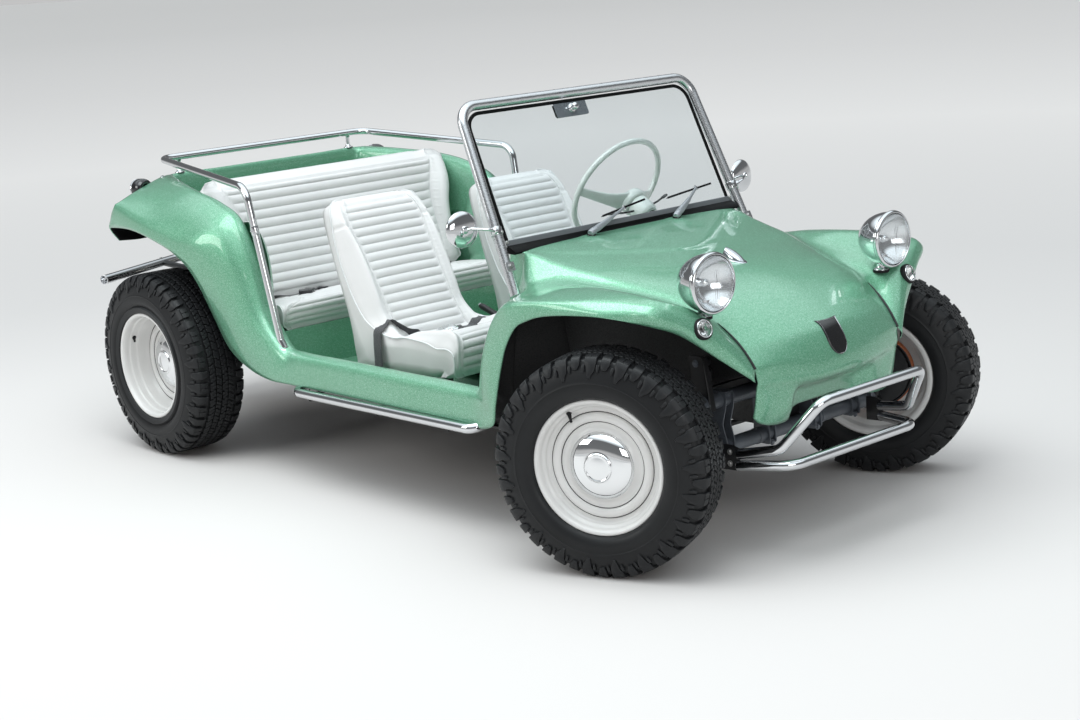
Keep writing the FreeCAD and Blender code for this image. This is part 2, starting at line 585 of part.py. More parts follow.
# columns: pivot y, its height, tip x, y and height
for y, z, tx, ty, tz in ((-190, 903, 651, 12, 967), (212, 900, 645, 375, 985)):
    stub = Part.makeCylinder(9, 30, Vector(690, y, z - 10), Vector(0.3, 0, 1))
    bar = rod([(696, y, z + 14), (tx + 12, ty, tz)], 5)
    blade = rod([(tx + 6, ty - 105, tz - 8), (tx + 6, ty + 105, tz + 8)], 4)
    wipers.append(fused([stub, bar, blade]))
feature("wipers", Part.makeCompound(wipers))

# -------------------------------------------------------------- bars, rails
# columns: path points with the bend radius at each
FRONT_UPPER = [((1440, -344, 322), 0), ((1575, -310, 348), 55), ((1680, -240, 494), 45),
               ((1680, 240, 494), 45), ((1575, 310, 348), 55), ((1440, 344, 322), 0)]
FRONT_LOWER = [((1440, -348, 288), 0), ((1606, -290, 300), 45), ((1612, 290, 300), 45), ((1440, 348, 288), 0)]


def bent(table, radius):
    return rod([p for p, b in table], radius, [b for p, b in table])


rt = D["bumper_tube"] / 2
stays = []
for s in (-1, 1):
    stays.append(Part.makeBox(66, 8, 78, Vector(1382, s * 346 - 4, 270)))
feature("front_bumper", fused([bent(FRONT_UPPER, rt), bent(FRONT_LOWER, rt)] + stays))

REAR_BUMPER = [((-1590, -738, 650), 0), ((-1800, -262, 650), 300), ((-1800, 262, 650), 300), ((-1590, 738, 650), 0)]
rb = bent(REAR_BUMPER, D["rear_bumper_tube"] / 2)
for s in (-1, 1):
    rb = rb.fuse(rod([(-1440, s * 372, 640), (-1750, s * 372, 650)], 14))
feature("rear_bumper", rb)

SIDE_BAR = [((-400, -600, 340), 0), ((-440, -672, 332), 40), ((640, -672, 344), 40), ((600, -600, 352), 0)]
bar = bent(SIDE_BAR, D["side_bar_tube"] / 2)
feature("side_bars", Part.makeCompound([bar, mirrored(bar)]))

RAIL = [((-530, -622, 474), 0), ((-632, -644, 1058), 70), ((-1450, -502, 1114), 60),
        ((-1450, 502, 1114), 60), ((-632, 644, 1058), 70), ((-530, 622, 474), 0)]
rail = [bent(RAIL, D["rail_tube"] / 2)]
for s in (-1, 1):
    rail.append(rod([(-1450, s * 421, 1052), (-1450, s * 421, 1114)], 10))
feature("rear_rail", fused(rail))

# ------------------------------------------------------------------- lamps
LAMP = (1445, 423, 854)
lamps = []
for s in (-1, 1):
    x, y, z = LAMP[0], s * LAMP[1], LAMP[2]
    bowl = Part.makeSphere(D["lamp_rad"] + 7, Vector(x - 44, y, z))
    bowl = bowl.common(Part.makeCone(62, D["lamp_rad"] + 2, 140, Vector(x - 134, y, z), Vector(1, 0, 0)))
    stalk = Part.makeCylinder(13, 110, Vector(1398, s * 422, 748), Vector(0, 0, 1))
    lamps.append(bowl.fuse(stalk))
feature("headlights", Part.makeCompound(lamps))

parks = []
for s in (-1, 1):
    parks.append(Part.makeCylinder(D["park_rad"], 34, Vector(1416, s * 478, 733), Vector(0.86, s * 0.18, -0.25)))
feature("parking_lamps", Part.makeCompound(parks))

tails = []
for s in (-1, 1):
    tails.append(Part.makeCylinder(34, 78, Vector(-1450, s * 588, 1006), Vector(-1, 0, -0.14)))
feature("tail_lamps", Part.makeCompound(tails))

mirrors = []
for s in (-1, 1):
    disc = Part.makeCylinder(D["mirror_rad"], 14, Vector(600, s * 660, 989), Vector(1, 0, 0))
    arm = rod([(640, s * 563, 970), (640, s * 640, 975), (614, s * 660, 985)], 5, [0, 15, 0])
    mirrors.append(disc.fuse(arm))
feature("mirrors", Part.makeCompound(mirrors))

cap = Part.makeSphere(44, Vector(0, 0, 0)).common(Part.makeBox(90, 90, 45, Vector(-45, -45, -4)))
grow = FreeCAD.Matrix()
grow.scale(1.15, 0.8, 0.72)
cap = cap.transformGeometry(grow)
cap.Placement = Placement(Vector(1150, 0, 833), Rotation(Vector(0, 1, 0), 10))
feature("hood_cap", cap)

# ----------------------------------------------------------------- controls
tilt = math.radians(D["column_tilt"])
rx, ry, rz = D["ring_x"], D["ring_y"], D["ring_z"]
fwd = Vector(math.cos(tilt), 0, -math.sin(tilt))
side_dir = Vector(0, 1, 0)
up_dir = fwd.cross(side_dir) * -1
c0 = Vector(rx, ry, rz)
ring = Part.makeTorus(D["ring_rad"], D["ring_tube"], c0, fwd)
hub = Part.makeCylinder(38, 46, c0 + fwd * 62, fwd)
spokes = []
for s in (-1, 1):
    a = c0 + side_dir * (s * D["ring_rad"])
    b = c0 + fwd * 84
    spokes.append(rod([tuple(a), tuple(b)], 9))
feature("steering_wheel", fused([ring, hub] + spokes))
column = rod([tuple(c0 + fwd * 118), tuple(c0 + fwd * 560)], 24)
feature("steering_column", column)

levers = []
levers.append(rod([(330, 0, 452), (310, 0, 600), (250, 0, 690)], 7, [0, 60, 0]).fuse(Part.makeSphere(20, Vector(250, 0, 690))))
levers.append(rod([(90, 0, 452), (60, 0, 500), (-130, 0, 560)], 10, [0, 25, 0]))
feature("floor_levers", Part.makeCompound(levers))

pedals = []
for y in (170, 250, 330):
    pad_ = Part.makeBox(8, 55, 70, Vector(742, y - 27, 470))
    pedals.append(pad_.fuse(rod([(752, y, 500), (790, y, 345)], 6)))
feature("pedals", Part.makeCompound(pedals))

# -------------------------------------------------------------------- seats
# side outline of a front seat: x, height
SEAT = [("-225", "400"), ("285", "432"), ("330", "470"), ("344", "545"), ("318", "584"), ("290", "592"),
        ("10", "526"), ("-30", "540"), ("-255", "930"), ("-300", "992"), ("-345", "1002"), ("-380", "965"),
        ("-250", "560")]
SLIDE = {"right": 0.0, "left": 80.0}    # where each seat stands on its runners
for side, s in (("right", -1), ("left", 1)):
    seat = padded("front_seat_" + side, "XZ_Plane", SEAT, "seat_wide")
    seat.setExpression(".Placement.Base.x", "Dims.shift_x + %g" % SLIDE[side])
    seat.setExpression(".Placement.Base.y", "%d * Dims.ring_y" % s)
    seat.Label = "front_seat_" + side
    PARTS.append(seat)

cushion = padded("rear_seat_cushion", "XZ_Plane",
                 [("-640", "512"), ("-612", "560"), ("-608", "588"), ("-632", "604"), ("-900", "576"), ("-915", "512")], "bench_wide")
keep(cushion, "rear_seat_cushion")
back = padded("rear_seat_back", "XZ_Plane",
              [("-866", "586"), ("-938", "586"), ("-996", "745"), ("-1066", "1000"), ("-1050", "1030"),
               ("-1015", "1028"), ("-985", "985")], "bench_wide")
over = poly_sketch(back, "back_over_arches", "XZ_Plane",
                   [("-915", "756"), ("-1003", "756"), ("-1066", "1000"), ("-1050", "1030"), ("-1015", "1028"), ("-985", "985")])
over_pad = back.newObject("PartDesign::Pad", "back_over_arches_pad")
over_pad.Profile = over
over_pad.Length = D["bench_back_wide"]
over_pad.setExpression("Length", "Dims.bench_back_wide")
over_pad.Midplane = True
over.Visibility = False
back.Tip = over_pad
keep(back, "rear_seat_back")

# --------------------------------------------------- holes, notches and joins
# Each piece gives way to the ones it meets, so that they touch face to face:
# piece, then what is cut out of it.
MEETS = [
    ("footwell_panels", ["frame_head", "steering_column"]),
    ("front_fenders", ["headlights", "parking_lamps", "footwell_panels"]),
    ("front_hood", ["wipers"]),
    ("dashboard", ["steering_column"]),
    ("floor_levers", ["floor_pan"]),
    ("mirrors", ["windshield_frame"]),
    ("rear_well", ["tail_panel"]),
    ("rear_quarters", ["rear_rail", "rear_well"]),
    ("body_tub", ["floor_pan", "front_fenders", "rear_quarters", "rear_well", "side_bars"]),
    ("rear_seat_back", ["rear_quarters", "rear_well"]),
]
doc.recompute()
named = {obj.Label: obj for obj in PARTS}
for label, tools in MEETS:
    blank = named[label]
    blank.Label = label + "_blank"
    base = blank
    for i, tool in enumerate(tools):
        cut = doc.addObject("Part::Cut", "%s_cut_%d" % (label, i))
        cut.Base, cut.Tool = base, named[tool]
        base = cut
    base.Label = label
    PARTS[PARTS.index(blank)] = base
    named[label] = base

# ------------------------------------------------------------------- output
doc.recompute()
bad = []
for obj in doc.Objects:
    if "Invalid" in obj.State or "Error" in obj.State:
        bad.append("%s: %s" % (obj.Label, obj.State))
for obj in PARTS:
    if obj.Shape.isNull() or not obj.Shape.isValid():
        bad.append("%s: shape null or not valid" % obj.Label)
    elif obj.Shape.Volume <= 0 or not obj.Shape.Solids:
        bad.append("%s: no solid" % obj.Label)
if bad:
    raise SystemExit("part.py stopped:\n" + "\n".join(bad))

os.makedirs("parts", exist_ok=True)
whole = FreeCAD.BoundBox()
for obj in PARTS:
    obj.Shape.exportStep(os.path.join("parts", obj.Label + ".step"))
    whole.add(obj.Shape.BoundBox)
print("nodes %d" % len(PARTS))
print("box x %.1f %.1f  y %.1f %.1f  z %.1f %.1f" % (whole.XMin, whole.XMax, whole.YMin, whole.YMax, whole.ZMin, whole.ZMax))
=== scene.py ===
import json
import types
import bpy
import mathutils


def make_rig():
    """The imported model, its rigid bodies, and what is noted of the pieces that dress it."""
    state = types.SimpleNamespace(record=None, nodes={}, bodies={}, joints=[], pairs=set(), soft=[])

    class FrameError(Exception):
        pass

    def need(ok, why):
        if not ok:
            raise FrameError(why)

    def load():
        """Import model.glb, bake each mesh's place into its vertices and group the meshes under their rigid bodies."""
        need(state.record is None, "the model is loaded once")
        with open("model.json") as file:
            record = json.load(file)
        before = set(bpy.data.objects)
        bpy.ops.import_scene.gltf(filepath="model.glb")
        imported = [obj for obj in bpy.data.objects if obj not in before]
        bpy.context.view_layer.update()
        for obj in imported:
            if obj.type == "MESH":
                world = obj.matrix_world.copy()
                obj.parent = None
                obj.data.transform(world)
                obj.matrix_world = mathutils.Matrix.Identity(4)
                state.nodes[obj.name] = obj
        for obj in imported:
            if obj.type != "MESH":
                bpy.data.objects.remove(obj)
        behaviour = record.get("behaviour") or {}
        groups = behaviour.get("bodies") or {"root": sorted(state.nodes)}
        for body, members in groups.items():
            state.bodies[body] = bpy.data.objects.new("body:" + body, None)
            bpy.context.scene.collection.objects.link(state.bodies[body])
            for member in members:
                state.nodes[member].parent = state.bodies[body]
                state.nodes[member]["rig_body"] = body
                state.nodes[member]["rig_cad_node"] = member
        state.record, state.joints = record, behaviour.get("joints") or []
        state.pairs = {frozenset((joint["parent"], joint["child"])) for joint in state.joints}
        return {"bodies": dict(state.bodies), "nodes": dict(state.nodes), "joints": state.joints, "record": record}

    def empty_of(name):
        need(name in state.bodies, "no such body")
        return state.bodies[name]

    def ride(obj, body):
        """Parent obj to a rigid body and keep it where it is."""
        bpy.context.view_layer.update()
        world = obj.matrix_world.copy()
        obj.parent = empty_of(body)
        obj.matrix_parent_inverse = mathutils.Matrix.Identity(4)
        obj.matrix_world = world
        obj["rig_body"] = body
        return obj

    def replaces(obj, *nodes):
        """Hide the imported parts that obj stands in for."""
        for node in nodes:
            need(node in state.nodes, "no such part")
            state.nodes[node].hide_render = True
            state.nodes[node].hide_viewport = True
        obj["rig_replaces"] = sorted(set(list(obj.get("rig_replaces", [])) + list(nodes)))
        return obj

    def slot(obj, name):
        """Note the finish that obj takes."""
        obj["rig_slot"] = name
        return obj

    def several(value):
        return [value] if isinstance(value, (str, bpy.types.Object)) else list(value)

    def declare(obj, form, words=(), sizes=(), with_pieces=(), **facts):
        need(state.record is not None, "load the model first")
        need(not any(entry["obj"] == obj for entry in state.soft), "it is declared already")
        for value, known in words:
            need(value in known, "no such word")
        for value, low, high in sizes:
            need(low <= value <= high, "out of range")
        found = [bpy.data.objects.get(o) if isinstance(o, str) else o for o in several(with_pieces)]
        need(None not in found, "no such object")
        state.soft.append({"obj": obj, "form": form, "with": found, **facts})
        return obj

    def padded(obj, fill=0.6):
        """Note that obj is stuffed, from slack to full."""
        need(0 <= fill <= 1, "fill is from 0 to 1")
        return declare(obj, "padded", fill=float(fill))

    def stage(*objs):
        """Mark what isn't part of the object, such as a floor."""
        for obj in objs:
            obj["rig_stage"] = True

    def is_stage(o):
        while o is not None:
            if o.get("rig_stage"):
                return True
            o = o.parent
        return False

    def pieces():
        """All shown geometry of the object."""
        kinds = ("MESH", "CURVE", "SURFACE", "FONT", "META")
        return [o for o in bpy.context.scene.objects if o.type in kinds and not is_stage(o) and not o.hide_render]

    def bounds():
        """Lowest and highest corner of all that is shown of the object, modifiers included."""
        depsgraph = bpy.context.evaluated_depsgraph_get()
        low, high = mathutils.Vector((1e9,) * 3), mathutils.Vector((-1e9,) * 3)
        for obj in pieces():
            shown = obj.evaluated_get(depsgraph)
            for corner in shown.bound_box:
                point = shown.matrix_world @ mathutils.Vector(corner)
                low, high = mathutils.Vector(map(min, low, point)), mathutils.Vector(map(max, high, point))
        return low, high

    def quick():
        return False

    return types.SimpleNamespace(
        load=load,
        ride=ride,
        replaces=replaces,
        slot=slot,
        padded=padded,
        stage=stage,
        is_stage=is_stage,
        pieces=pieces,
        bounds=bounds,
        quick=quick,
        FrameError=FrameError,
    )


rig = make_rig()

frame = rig.load()

import math
import bpy
import bmesh
import numpy as np
from mathutils import Matrix, Vector

CAD_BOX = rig.bounds()
JOINT = {j["name"]: j for j in frame["joints"]}
# Tables below are in millimetres from the middle of the wheelbase, on the
# ground and the centreline.  SX is that point's place in the row frame.
SX = JOINT["spin_rear_right"]["pos_m"][0] * 1000.0 + 1200.0
SCENE = bpy.context.scene
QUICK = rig.quick()


def place(p):
    """Millimetres from mid wheelbase to metres in the row frame."""
    a = np.asarray(p, float).reshape(-1, 3).copy()
    a[:, 0] += SX
    return a / 1000.0


# ------------------------------------------------------------------ surfaces
def hermite_line(P, W, counts):
    """Points along the line through P (n, k, 3 columns allowed), with
    sharpness W (n) at each: 0 is smooth, 1 a corner.  counts: samples a span."""
    P = np.asarray(P, float)
    n = len(P)
    flat = P.reshape(n, -1)
    d = np.sqrt(((P[1:] - P[:-1]) ** 2).sum(-1))
    if d.ndim > 1:
        d = d.mean(axis=tuple(range(1, d.ndim)))
    dt = np.maximum(d, 1e-6) ** 0.6
    chord = (flat[1:] - flat[:-1]) / dt[:, None]
    tl, tr = np.zeros_like(flat), np.zeros_like(flat)
    W = np.asarray(W, float)
    for i in range(n):
        if i == 0:
            tr[i] = tl[i] = chord[0]
            if n > 2:
                m1 = (chord[0] * dt[1] + chord[1] * dt[0]) / (dt[0] + dt[1])
                tr[i] = tl[i] = 1.5 * chord[0] - 0.5 * m1
        elif i == n - 1:
            tl[i] = tr[i] = chord[-1]
            if n > 2:
                m1 = (chord[-2] * dt[-1] + chord[-1] * dt[-2]) / (dt[-2] + dt[-1])
                tl[i] = tr[i] = 1.5 * chord[-1] - 0.5 * m1
        else:
            m = (chord[i - 1] * dt[i] + chord[i] * dt[i - 1]) / (dt[i - 1] + dt[i])
            w = W[i]
            tl[i] = (1 - w) * m + w * chord[i - 1]
            tr[i] = (1 - w) * m + w * chord[i]
    out = []
    for i in range(n - 1):
        k = counts[i]
        for j in range(k):
            t = j / k
            h00, h10 = 2 * t ** 3 - 3 * t ** 2 + 1, t ** 3 - 2 * t ** 2 + t
            h01, h11 = -2 * t ** 3 + 3 * t ** 2, t ** 3 - t ** 2
            out.append(h00 * flat[i] + h10 * dt[i] * tr[i] + h01 * flat[i + 1] + h11 * dt[i] * tl[i + 1])
    out.append(flat[-1])
    return np.array(out).reshape((-1,) + P.shape[1:])


def span_counts(P, step, axis):
    """Samples wanted in each span of a grid, from its longest edge."""
    d = np.sqrt((np.diff(P, axis=axis) ** 2).sum(-1))
    longest = d.max(axis=1 - axis)
    return [max(2, int(round(x / step))) for x in longest]


def smooth_grid(table, step=14.0, col_sharp=None, row_sharp=None, counts=None):
    """Fine grid through a coarse one (rows of points).  col_sharp[i][j] says
    how hard the corner across the columns is at point (i, j)."""
    P = np.array(table, float)
    m, n = P.shape[:2]
    cw = np.zeros((m, n)) if col_sharp is None else np.array(col_sharp, float).reshape(m, n)
    rw = np.zeros((m, n)) if row_sharp is None else np.array(row_sharp, float).reshape(m, n)
    rc = span_counts(P, step, 0) if counts is None else counts[0]
    cols, ws = [], []
    for j in range(n):
        cols.append(hermite_line(P[:, j], rw[:, j], rc))
    dense = np.stack(cols, 1)
    steps = np.concatenate([np.linspace(i, i + 1, rc[i], endpoint=False) for i in range(m - 1)] + [[m - 1.0]])
    wd = np.stack([np.interp(steps, np.arange(m), cw[:, j]) for j in range(n)], 1)
    cc = span_counts(P, step, 1) if counts is None else counts[1]
    rows = [hermite_line(dense[i], wd[i], cc) for i in range(len(dense))]
    return np.array(rows)


def grid_faces(m, n, base=0, wrap_m=False, wrap_n=False, flip=False):
    faces = []
    for i in range(m if wrap_m else m - 1):
        for j in range(n if wrap_n else n - 1):
            a, b = base + i * n + j, base + ((i + 1) % m) * n + j
            c, d = base + ((i + 1) % m) * n + (j + 1) % n, base + i * n + (j + 1) % n
            faces.append((a, d, c, b) if flip else (a, b, c, d))
    return faces


def mesh_object(name, verts_m, faces, smooth=True):
    me = bpy.data.meshes.new(name)
    me.from_pydata([tuple(v) for v in verts_m], [], faces)
    me.update()
    if smooth:
        me.polygons.foreach_set("use_smooth", [True] * len(me.polygons))
    ob = bpy.data.objects.new(name, me)
    SCENE.collection.objects.link(ob)
    return ob


class Builder:
    """Collects points (mm) and faces of one mesh."""

    def __init__(self):
        self.v, self.f, self.m, self.n = [], [], [], 0

    def add(self, verts, faces, mat=0):
        verts = np.asarray(verts, float).reshape(-1, 3)
        self.v.append(verts)
        b = self.n
        self.f += [tuple(b + k for k in f) for f in faces]
        self.m += [mat] * len(faces)
        self.n += len(verts)
        return b

    def grid(self, G, flip=False, wrap_m=False, wrap_n=False, mat=0):
        m, n = G.shape[:2]
        return self.add(G.reshape(-1, 3), grid_faces(m, n, 0, wrap_m, wrap_n, flip), mat)

    def points(self):
        return np.concatenate(self.v) if self.v else np.zeros((0, 3))

    def mirror_y(self):
        P = self.points().copy()
        P[:, 1] *= -1
        b = self.n
        self.v.append(P)
        self.f += [tuple(b + k for k in reversed(f)) for f in list(self.f)]
        self.m += list(self.m)
        self.n += len(P)

    def object(self, name, weld=0.0, smooth=True, relax=0, keep_border=True, row_frame=False):
        P = self.points()
        ob = mesh_object(name, P / 1000.0 if row_frame else place(P), self.f, smooth)
        if any(self.m):
            ob.data.polygons.foreach_set("material_index", self.m)
        if weld > 0:
            bm = bmesh.new()
            bm.from_mesh(ob.data)
            bmesh.ops.remove_doubles(bm, verts=bm.verts, dist=weld / 1000.0)
            bm.to_mesh(ob.data)
            bm.free()
        if relax:
            relax_mesh(ob, relax, keep_border)
        return ob


def relax_mesh(ob, times, keep_border=True, strength=0.5):
    """Evens out creases by moving points towards their neighbours' middle."""
    me = ob.data
    n = len(me.vertices)
    co = np.zeros(n * 3)
    me.vertices.foreach_get("co", co)
    co = co.reshape(-1, 3)
    e = np.zeros(len(me.edges) * 2, int)
    me.edges.foreach_get("vertices", e)
    e = e.reshape(-1, 2)
    fixed = np.zeros(n, bool)
    if keep_border:
        bm = bmesh.new()
        bm.from_mesh(me)
        bm.verts.ensure_lookup_table()
        for v in bm.verts:
            fixed[v.index] = v.is_boundary
        bm.free()
    deg = np.bincount(e.ravel(), minlength=n).astype(float)
    deg[deg == 0] = 1
    for _ in range(times):
        s = np.zeros_like(co)
        np.add.at(s, e[:, 0], co[e[:, 1]])
        np.add.at(s, e[:, 1], co[e[:, 0]])
        new = co + strength * (s / deg[:, None] - co)
        new[fixed] = co[fixed]
        co = new
    me.vertices.foreach_set("co", co.ravel())
    me.update()


def thicken(ob, mm, offset=-1.0, inner_mat=None, rim_mat=None):
    mod = ob.modifiers.new("thick", "SOLIDIFY")
    mod.thickness = mm / 1000.0
    mod.offset = offset
    mod.use_even_offset = True
    mod.thickness_clamp = 1.0
    if inner_mat is not None:
        mod.material_offset = inner_mat
    if rim_mat is not None:
        mod.material_offset_rim = rim_mat
    return mod


def bevel(ob, mm, segments=3, angle=35):
    mod = ob.modifiers.new("edge", "BEVEL")
    mod.width = mm / 1000.0
    mod.segments = segments
    mod.limit_method = "ANGLE"
    mod.angle_limit = math.radians(angle)
    mod.harden_normals = False
    return mod


def subsurf(ob, levels=2):
    mod = ob.modifiers.new("sub", "SUBSURF")
    mod.levels = levels
    mod.render_levels = levels
    return mod


def sharp_by_angle(ob, degrees=32):
    """Marks edges over an angle sharp, so that smooth shading keeps them."""
    bm = bmesh.new()
    bm.from_mesh(ob.data)
    lim = math.radians(degrees)
    for e in bm.edges:
        if len(e.link_faces) == 2:
            e.smooth = e.calc_face_angle(0.0) < lim
    bm.to_mesh(ob.data)
    bm.free()


def apply_mods(ob):
    dg = bpy.context.evaluated_depsgraph_get()
    dg.update()
    me = bpy.data.meshes.new_from_object(ob.evaluated_get(dg))
    ob.modifiers.clear()
    old = ob.data
    ob.data = me
    bpy.data.meshes.remove(old)
    return ob


# ---------------------------------------------------------- turned and bent
def frame_from(axis):
    """Two directions square to an axis."""
    a = np.array(axis, float)
    a /= np.linalg.norm(a)
    h = np.array([0, 0, 1.0]) if abs(a[2]) < 0.9 else np.array([1.0, 0, 0])
    u = np.cross(h, a)
    u /= np.linalg.norm(u)
    return a, u, np.cross(a, u)


def round_profile(pts, radius=1.5, seg=3):
    """Rounds the corners of an open profile of (a, b) pairs."""
    pts = [np.array(p, float) for p in pts]
    out = [pts[0]]
    for i in range(1, len(pts) - 1):
        p, q, r = pts[i - 1], pts[i], pts[i + 1]
        a, b = p - q, r - q
        la, lb = np.linalg.norm(a), np.linalg.norm(b)
        if la < 1e-6 or lb < 1e-6:
            continue
        a, b = a / la, b / lb
        cosang = float(np.clip(a @ b, -1, 1))
        if cosang < -0.985:
            out.append(q)
            continue
        k = min(radius, 0.42 * la, 0.42 * lb)
        s, e = q + a * k, q + b * k
        for t in np.linspace(0, 1, seg + 1):
            out.append((1 - t) ** 2 * s + 2 * t * (1 - t) * q + t ** 2 * e)
    out.append(pts[-1])
    return out


def turn(B, profile, origin, axis, segments=64, mat=0, radius=None, seg=3, scallop=None):
    """Adds a turned surface: profile of (along the axis, radius), mm."""
    if radius is not None:
        profile = round_profile(profile, radius, seg)
    a, u, w = frame_from(axis)
    o = np.array(origin, float)
    rows = []
    for h, r in profile:
        ang = np.linspace(0, 2 * math.pi, segments, endpoint=False)
        ring = o + a * h + np.outer(np.cos(ang), u) * r + np.outer(np.sin(ang), w) * r
        rows.append(ring)
    G = np.array(rows)
    b = B.grid(G, wrap_n=True, mat=mat)
    return b


def arc_path(points, bends, step=8.0):
    """Straight runs joined by tangent arcs, as closely spaced points."""
    pts = [np.array(p, float) for p in points]
    n = len(pts)
    out = [pts[0]]
    for i in range(1, n - 1):
        a = pts[i - 1] - pts[i]
        b = pts[i + 1] - pts[i]
        a /= np.linalg.norm(a)
        b /= np.linalg.norm(b)
        ang = math.acos(float(np.clip(a @ b, -1, 1)))
        turn_ = math.pi - ang
        R = bends[i]
        if R <= 0 or turn_ < 1e-4:
            out.append(pts[i])
            continue
        cut = R * math.tan(turn_ / 2)
        mid = (a + b) / np.linalg.norm(a + b)
        c = pts[i] + mid * (R / math.cos(turn_ / 2))
        s, e = pts[i] + a * cut, pts[i] + b * cut
        k = max(4, int(math.ceil(turn_ * max(R, 12) / step)))
        k = max(k, int(turn_ / math.radians(6)))
        x = (s - c) / R
        z = (e - c) - ((e - c) @ x) * x
        z /= np.linalg.norm(z)
        for t in np.linspace(0, turn_, k + 1):
            out.append(c + R * (math.cos(t) * x + math.sin(t) * z))
    out.append(pts[-1])
    res = [out[0]]
    for p in out[1:]:
        d = np.linalg.norm(p - res[-1])
        if d < 1e-6:
            continue
        if d > 60:
            k = int(d // 60) + 1
            start = res[-1]
            for j in range(1, k):
                res.append(start + (p - start) * (j / k))
        res.append(p)
    return np.array(res)


def sweep(B, path, radius, segments=20, caps=True, mat=0, radii=None, flat=None, round_cap=True):
    """Round tube along a path.  radii: one radius a point, when given."""
    path = np.asarray(path, float)
    n = len(path)
    T = np.zeros_like(path)
    T[1:-1] = path[2:] - path[:-2]
    T[0], T[-1] = path[1] - path[0], path[-1] - path[-2]
    T /= np.linalg.norm(T, axis=1)[:, None]
    _, u, _ = frame_from(T[0])
    R = np.full(n, float(radius)) if radii is None else np.asarray(radii, float)
    rows = []
    for i in range(n):
        u = u - (u @ T[i]) * T[i]
        u /= np.linalg.norm(u)
        w = np.cross(T[i], u)
        ang = np.linspace(0, 2 * math.pi, segments, endpoint=False)
        k = 1.0
        if 0 < i < n - 1:
            c = float(np.clip((path[i] - path[i - 1]) @ (path[i + 1] - path[i]) / (np.linalg.norm(path[i] - path[i - 1]) * np.linalg.norm(path[i + 1] - path[i])), -1, 1))
            k = 1.0 / max(0.5, math.sqrt((1 + c) / 2))
        su, sw = (1.0, 1.0) if flat is None else flat
        rows.append(path[i] + np.outer(np.cos(ang), u) * R[i] * su + np.outer(np.sin(ang), w) * R[i] * sw)
    G = np.array(rows)
    if caps:
        a0, a1 = [], []
        r = min(R[0], R[-1])
        e = 0.18 * r if round_cap else 0.02 * r
        for f, g in ((0.0, 0.0), (0.55, 0.0), (0.86, 0.25), (1.0, 1.0)):
            a0.append(path[0] - T[0] * e * (1 - g) + (G[0] - path[0]) * f)
            a1.append(path[-1] + T[-1] * e * (1 - g) + (G[-1] - path[-1]) * f)
        G = np.concatenate([np.array(a0[:-1]), G + 0, np.array(a1[:-1][::-1])])
    b = B.grid(G, wrap_n=True, flip=False, mat=mat)
    return b


def tidy(ob, weld=0.02):
    """Welds, recalculates outward normals and drops empty faces."""
    bm = bmesh.new()
    bm.from_mesh(ob.data)
    bmesh.ops.remove_doubles(bm, verts=bm.verts, dist=weld / 1000.0)
    bmesh.ops.dissolve_degenerate(bm, edges=bm.edges, dist=1e-6)
    bmesh.ops.recalc_face_normals(bm, faces=bm.faces)
    bm.to_mesh(ob.data)
    bm.free()
    return ob


# ------------------------------------------------------------------ finishes
def new_mat(name):
    mat = bpy.data.materials.new(name)
    mat.use_nodes = True
    nt = mat.node_tree
    nt.nodes.clear()
    out = nt.nodes.new("ShaderNodeOutputMaterial")
    bsdf = nt.nodes.new("ShaderNodeBsdfPrincipled")
    nt.links.new(bsdf.outputs[0], out.inputs[0])
    return mat, nt, bsdf


def node(nt, kind, **inputs):
    nd = nt.nodes.new(kind)
    for key, val in inputs.items():
        if key.startswith("_"):
            setattr(nd, key[1:], val)
        else:
            nd.inputs[key.replace("__", " ")].default_value = val
    return nd


def coords(nt):
    tc = nt.nodes.new("ShaderNodeTexCoord")
    return tc.outputs["Object"]


def noise(nt, vec, scale, detail=2.0, rough=0.5):
    nd = nt.nodes.new("ShaderNodeTexNoise")
    nd.inputs["Scale"].default_value = scale
    nd.inputs["Detail"].default_value = detail
    nd.inputs["Roughness"].default_value = rough
    nt.links.new(vec, nd.inputs["Vector"])
    return nd


def ramp(nt, fac, stops):
    nd = nt.nodes.new("ShaderNodeValToRGB")
    cr = nd.color_ramp
    while len(cr.elements) < len(stops):
        cr.elements.new(0.5)
    for el, (pos, col) in zip(cr.elements, stops):
        el.position = pos
        el.color = (*col, 1.0) if len(col) == 3 else col
    nt.links.new(fac, nd.inputs[0])
    return nd.outputs[0]


def map_range(nt, fac, lo, hi, out_lo, out_hi):
    nd = nt.nodes.new("ShaderNodeMapRange")
    nd.inputs[1].default_value, nd.inputs[2].default_value = lo, hi
    nd.inputs[3].default_value, nd.inputs[4].default_value = out_lo, out_hi
    nt.links.new(fac, nd.inputs[0])
    return nd.outputs[0]


def bump(nt, height, bsdf, strength=0.2, distance=0.001, before=None):
    nd = nt.nodes.new("ShaderNodeBump")
    nd.inputs["Strength"].default_value = strength
    nd.inputs["Distance"].default_value = distance
    nt.links.new(height, nd.inputs["Height"])
    if before is not None:
        nt.links.new(before, nd.inputs["Normal"])
    nt.links.new(nd.outputs[0], bsdf.inputs["Normal"])
    return nd.outputs[0]


def mix_rgb(nt, fac, a, b, blend="MIX"):
    nd = nt.nodes.new("ShaderNodeMix")
    nd.data_type = "RGBA"
    nd.blend_type = blend
    for sock, val in ((nd.inputs[0], fac), (nd.inputs[6], a), (nd.inputs[7], b)):
        if hasattr(val, "default_value") or hasattr(val, "links"):
            nt.links.new(val, sock)
        elif isinstance(val, (int, float)):
            sock.default_value = val
        else:
            sock.default_value = (*val, 1.0)
    return nd.outputs[2]


